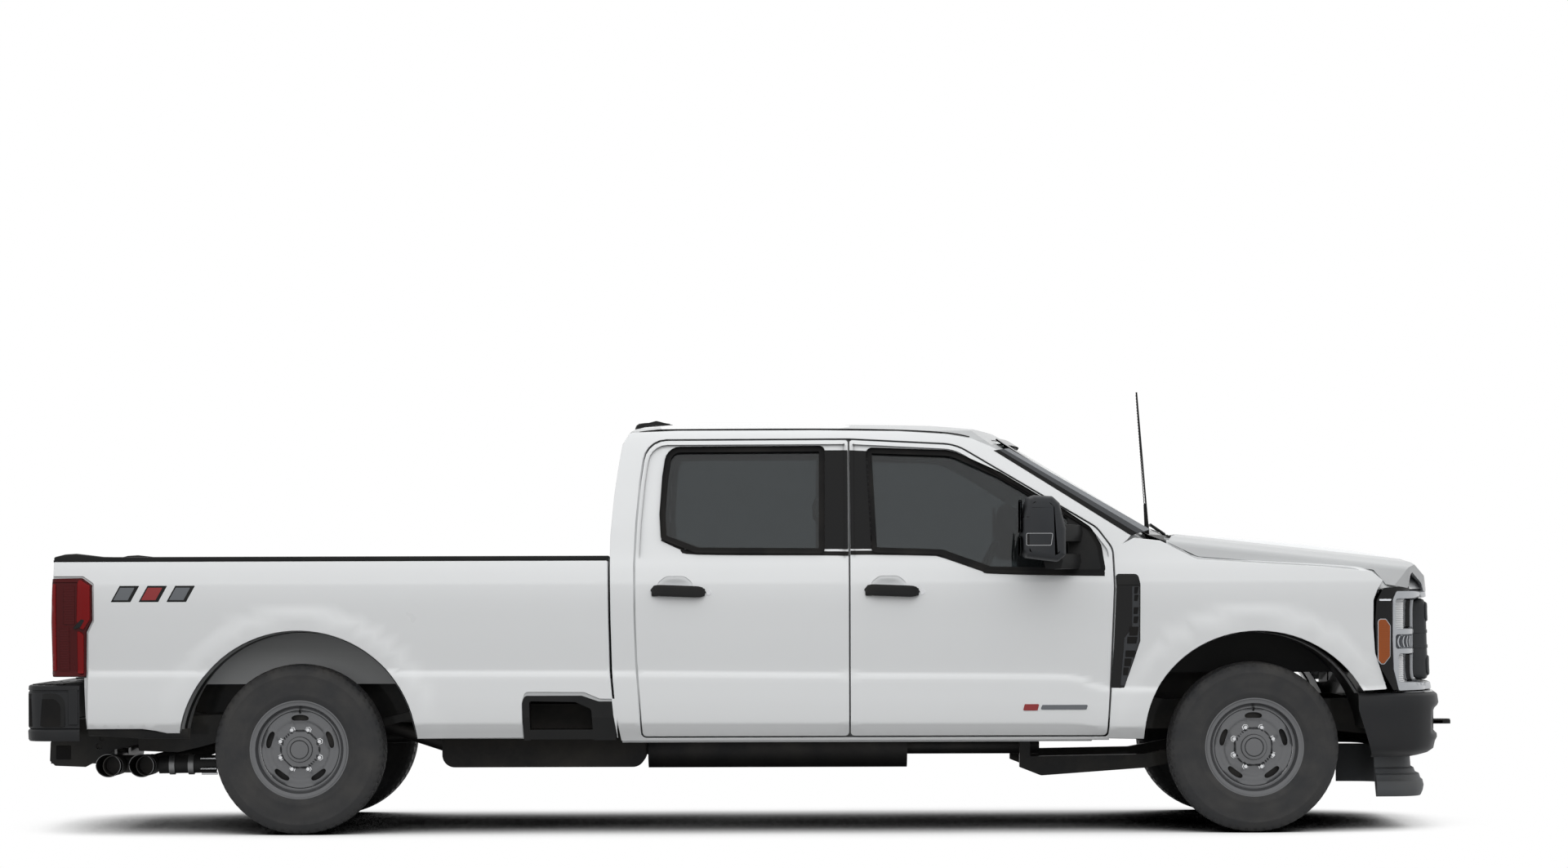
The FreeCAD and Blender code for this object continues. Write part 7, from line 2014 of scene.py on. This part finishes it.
class PickupStage(bpy.types.PropertyGroup):
    lens: FloatProperty(name="Lens", description="Focal length on a 36 mm sensor", default=96.94,
                        unit="CAMERA")
    camera_ahead: FloatProperty(name="Ahead", description="Camera's place ahead of the rear axle",
                                default=2.2719, unit="LENGTH")
    camera_distance: FloatProperty(name="Distance", description="Camera's distance from the middle plane",
                                   default=20.72, unit="LENGTH")
    camera_height: FloatProperty(name="Height", description="Camera's height", default=1.232, unit="LENGTH")
    camera_roll: FloatProperty(name="Roll", description="Camera's roll in degrees", default=0.166)
    shift_up: FloatProperty(name="Shift", description="Camera's vertical shift", default=0.0872)
    floor_bounce: FloatProperty(name="Floor bounce", description="Shade of the floor to the truck",
                                default=0.10)
    shadow_reach: FloatProperty(name="Shadow reach",
                                description="How far the contact shadow looks for the truck", default=1.6,
                                unit="LENGTH")
    shadow_dark: FloatProperty(name="Shadow dark", description="Open share at which the shadow is darkest",
                               default=0.16)
    shadow_edge: FloatProperty(name="Shadow edge", description="Open share at which the shadow ends",
                               default=0.62)
    light_low: FloatProperty(name="Low light", description="Soft light at the horizon", default=0.72)
    light_high: FloatProperty(name="High light", description="Soft light from above", default=1.02)
    key_power: FloatProperty(name="Key power", description="Power of the large soft panels", default=260.0,
                             unit="POWER")


class PickupWheels(bpy.types.PropertyGroup):
    slot_count: IntProperty(name="Slots", description="Oval slots in each wheel", default=5, min=3, max=12)
    nut_count: IntProperty(name="Nuts", description="Wheel nuts", default=8, min=4, max=10)
    tread_blocks: IntProperty(name="Tread blocks", description="Blocks round each rib of the tread",
                              default=60, min=20, max=120)
    tread_steps: IntProperty(name="Tread steps", description="Divisions round the tread", default=360,
                             min=90, max=720)


class PICKUP_OT_stage(bpy.types.Operator):
    """Camera, floor and studio light"""
    bl_idname = "pickup.stage"
    bl_label = "Stage"

    def execute(self, context):
        camera_and_floor(context.scene.pickup_stage)
        studio_light(context.scene.pickup_stage)
        return {"FINISHED"}


class PICKUP_OT_frame_parts(bpy.types.Operator):
    """Finishes of the parts carried over from the frame"""
    bl_idname = "pickup.frame_parts"
    bl_label = "Frame parts"

    def execute(self, context):
        finish_frame_parts()
        return {"FINISHED"}


class PICKUP_OT_body_skins(bpy.types.Operator):
    """Fender, bedside and cab side skins"""
    bl_idname = "pickup.body_skins"
    bl_label = "Body skins"

    def execute(self, context):
        body_skins()
        return {"FINISHED"}


class PICKUP_OT_doors(bpy.types.Operator):
    """Skins, cards, seals and handles of the doors"""
    bl_idname = "pickup.doors"
    bl_label = "Doors"

    def execute(self, context):
        door_pieces("front_door", FRONT_DOOR, FRONT_WINDOW, "door_front_{}", FRONT_HANDLE)
        door_pieces("rear_door", REAR_DOOR, REAR_WINDOW, "door_rear_{}", REAR_HANDLE)
        return {"FINISHED"}


class PICKUP_OT_hood_and_roof(bpy.types.Operator):
    """Hood and roof skins"""
    bl_idname = "pickup.hood_and_roof"
    bl_label = "Hood and roof"

    def execute(self, context):
        hood_skin()
        roof_skin()
        return {"FINISHED"}


class PICKUP_OT_glass_trim(bpy.types.Operator):
    """Black trim round the glass, wipers and cowl"""
    bl_idname = "pickup.glass_trim"
    bl_label = "Glass trim"

    def execute(self, context):
        pillar_trim()
        windscreen_trim()
        wipers_and_cowl()
        return {"FINISHED"}


class PICKUP_OT_wheels(bpy.types.Operator):
    """Road wheels and tyres"""
    bl_idname = "pickup.wheels"
    bl_label = "Wheels"

    def execute(self, context):
        all_wheels(context.scene.pickup_wheels)
        return {"FINISHED"}


class PICKUP_OT_front_end(bpy.types.Operator):
    """Headlamps, frame, grille, bumper, hooks and apron"""
    bl_idname = "pickup.front_end"
    bl_label = "Front end"

    def execute(self, context):
        headlamps_and_frame()
        grille()
        front_bumper()
        hooks_and_dam()
        return {"FINISHED"}


class PICKUP_OT_rear_end(bpy.types.Operator):
    """Taillamps, decals, step bumper, bed trim and exhaust outlets"""
    bl_idname = "pickup.rear_end"
    bl_label = "Rear end"

    def execute(self, context):
        taillamps()
        decals()
        rear_bumper()
        bed_end_trim()
        exhaust_tips()
        return {"FINISHED"}


class PICKUP_OT_cab_dress(bpy.types.Operator):
    """Vents, mirrors, mast, roof puck, brake lamp and the padded seats"""
    bl_idname = "pickup.cab_dress"
    bl_label = "Cab fittings"

    def execute(self, context):
        vents()
        mirrors()
        roof_fittings()
        seats()
        return {"FINISHED"}


OPERATORS = (PICKUP_OT_stage, PICKUP_OT_frame_parts, PICKUP_OT_body_skins, PICKUP_OT_doors,
             PICKUP_OT_hood_and_roof, PICKUP_OT_glass_trim, PICKUP_OT_wheels, PICKUP_OT_front_end,
             PICKUP_OT_rear_end, PICKUP_OT_cab_dress)


class PICKUP_PT_build(bpy.types.Panel):
    bl_label = "Pickup"
    bl_idname = "PICKUP_PT_build"
    bl_space_type = "VIEW_3D"
    bl_region_type = "UI"
    bl_category = "Pickup"

    def draw(self, context):
        for made in OPERATORS:
            self.layout.operator(made.bl_idname)


CLASSES = (PickupPaint, PickupStage, PickupWheels) + OPERATORS + (PICKUP_PT_build,)


def register():
    """Adds the settings, operators and panel."""
    for made in CLASSES:
        bpy.utils.register_class(made)
    bpy.types.Scene.pickup_paint = PointerProperty(type=PickupPaint)
    bpy.types.Scene.pickup_stage = PointerProperty(type=PickupStage)
    bpy.types.Scene.pickup_wheels = PointerProperty(type=PickupWheels)


def unregister():
    """Takes the settings, operators and panel away."""
    for key in ("pickup_paint", "pickup_stage", "pickup_wheels"):
        delattr(bpy.types.Scene, key)
    for made in reversed(CLASSES):
        bpy.utils.unregister_class(made)


def main():
    """Builds the dressed pickup."""
    register()
    scene = bpy.context.scene
    scene.view_settings.view_transform = "Standard"
    bpy.ops.pickup.stage()
    bpy.ops.pickup.frame_parts()
    bpy.ops.pickup.body_skins()
    bpy.ops.pickup.doors()
    bpy.ops.pickup.hood_and_roof()
    bpy.ops.pickup.glass_trim()
    bpy.ops.pickup.wheels()
    bpy.ops.pickup.front_end()
    bpy.ops.pickup.rear_end()
    bpy.ops.pickup.cab_dress()
    bpy.context.view_layer.update()


if __name__ == "__main__":
    main()
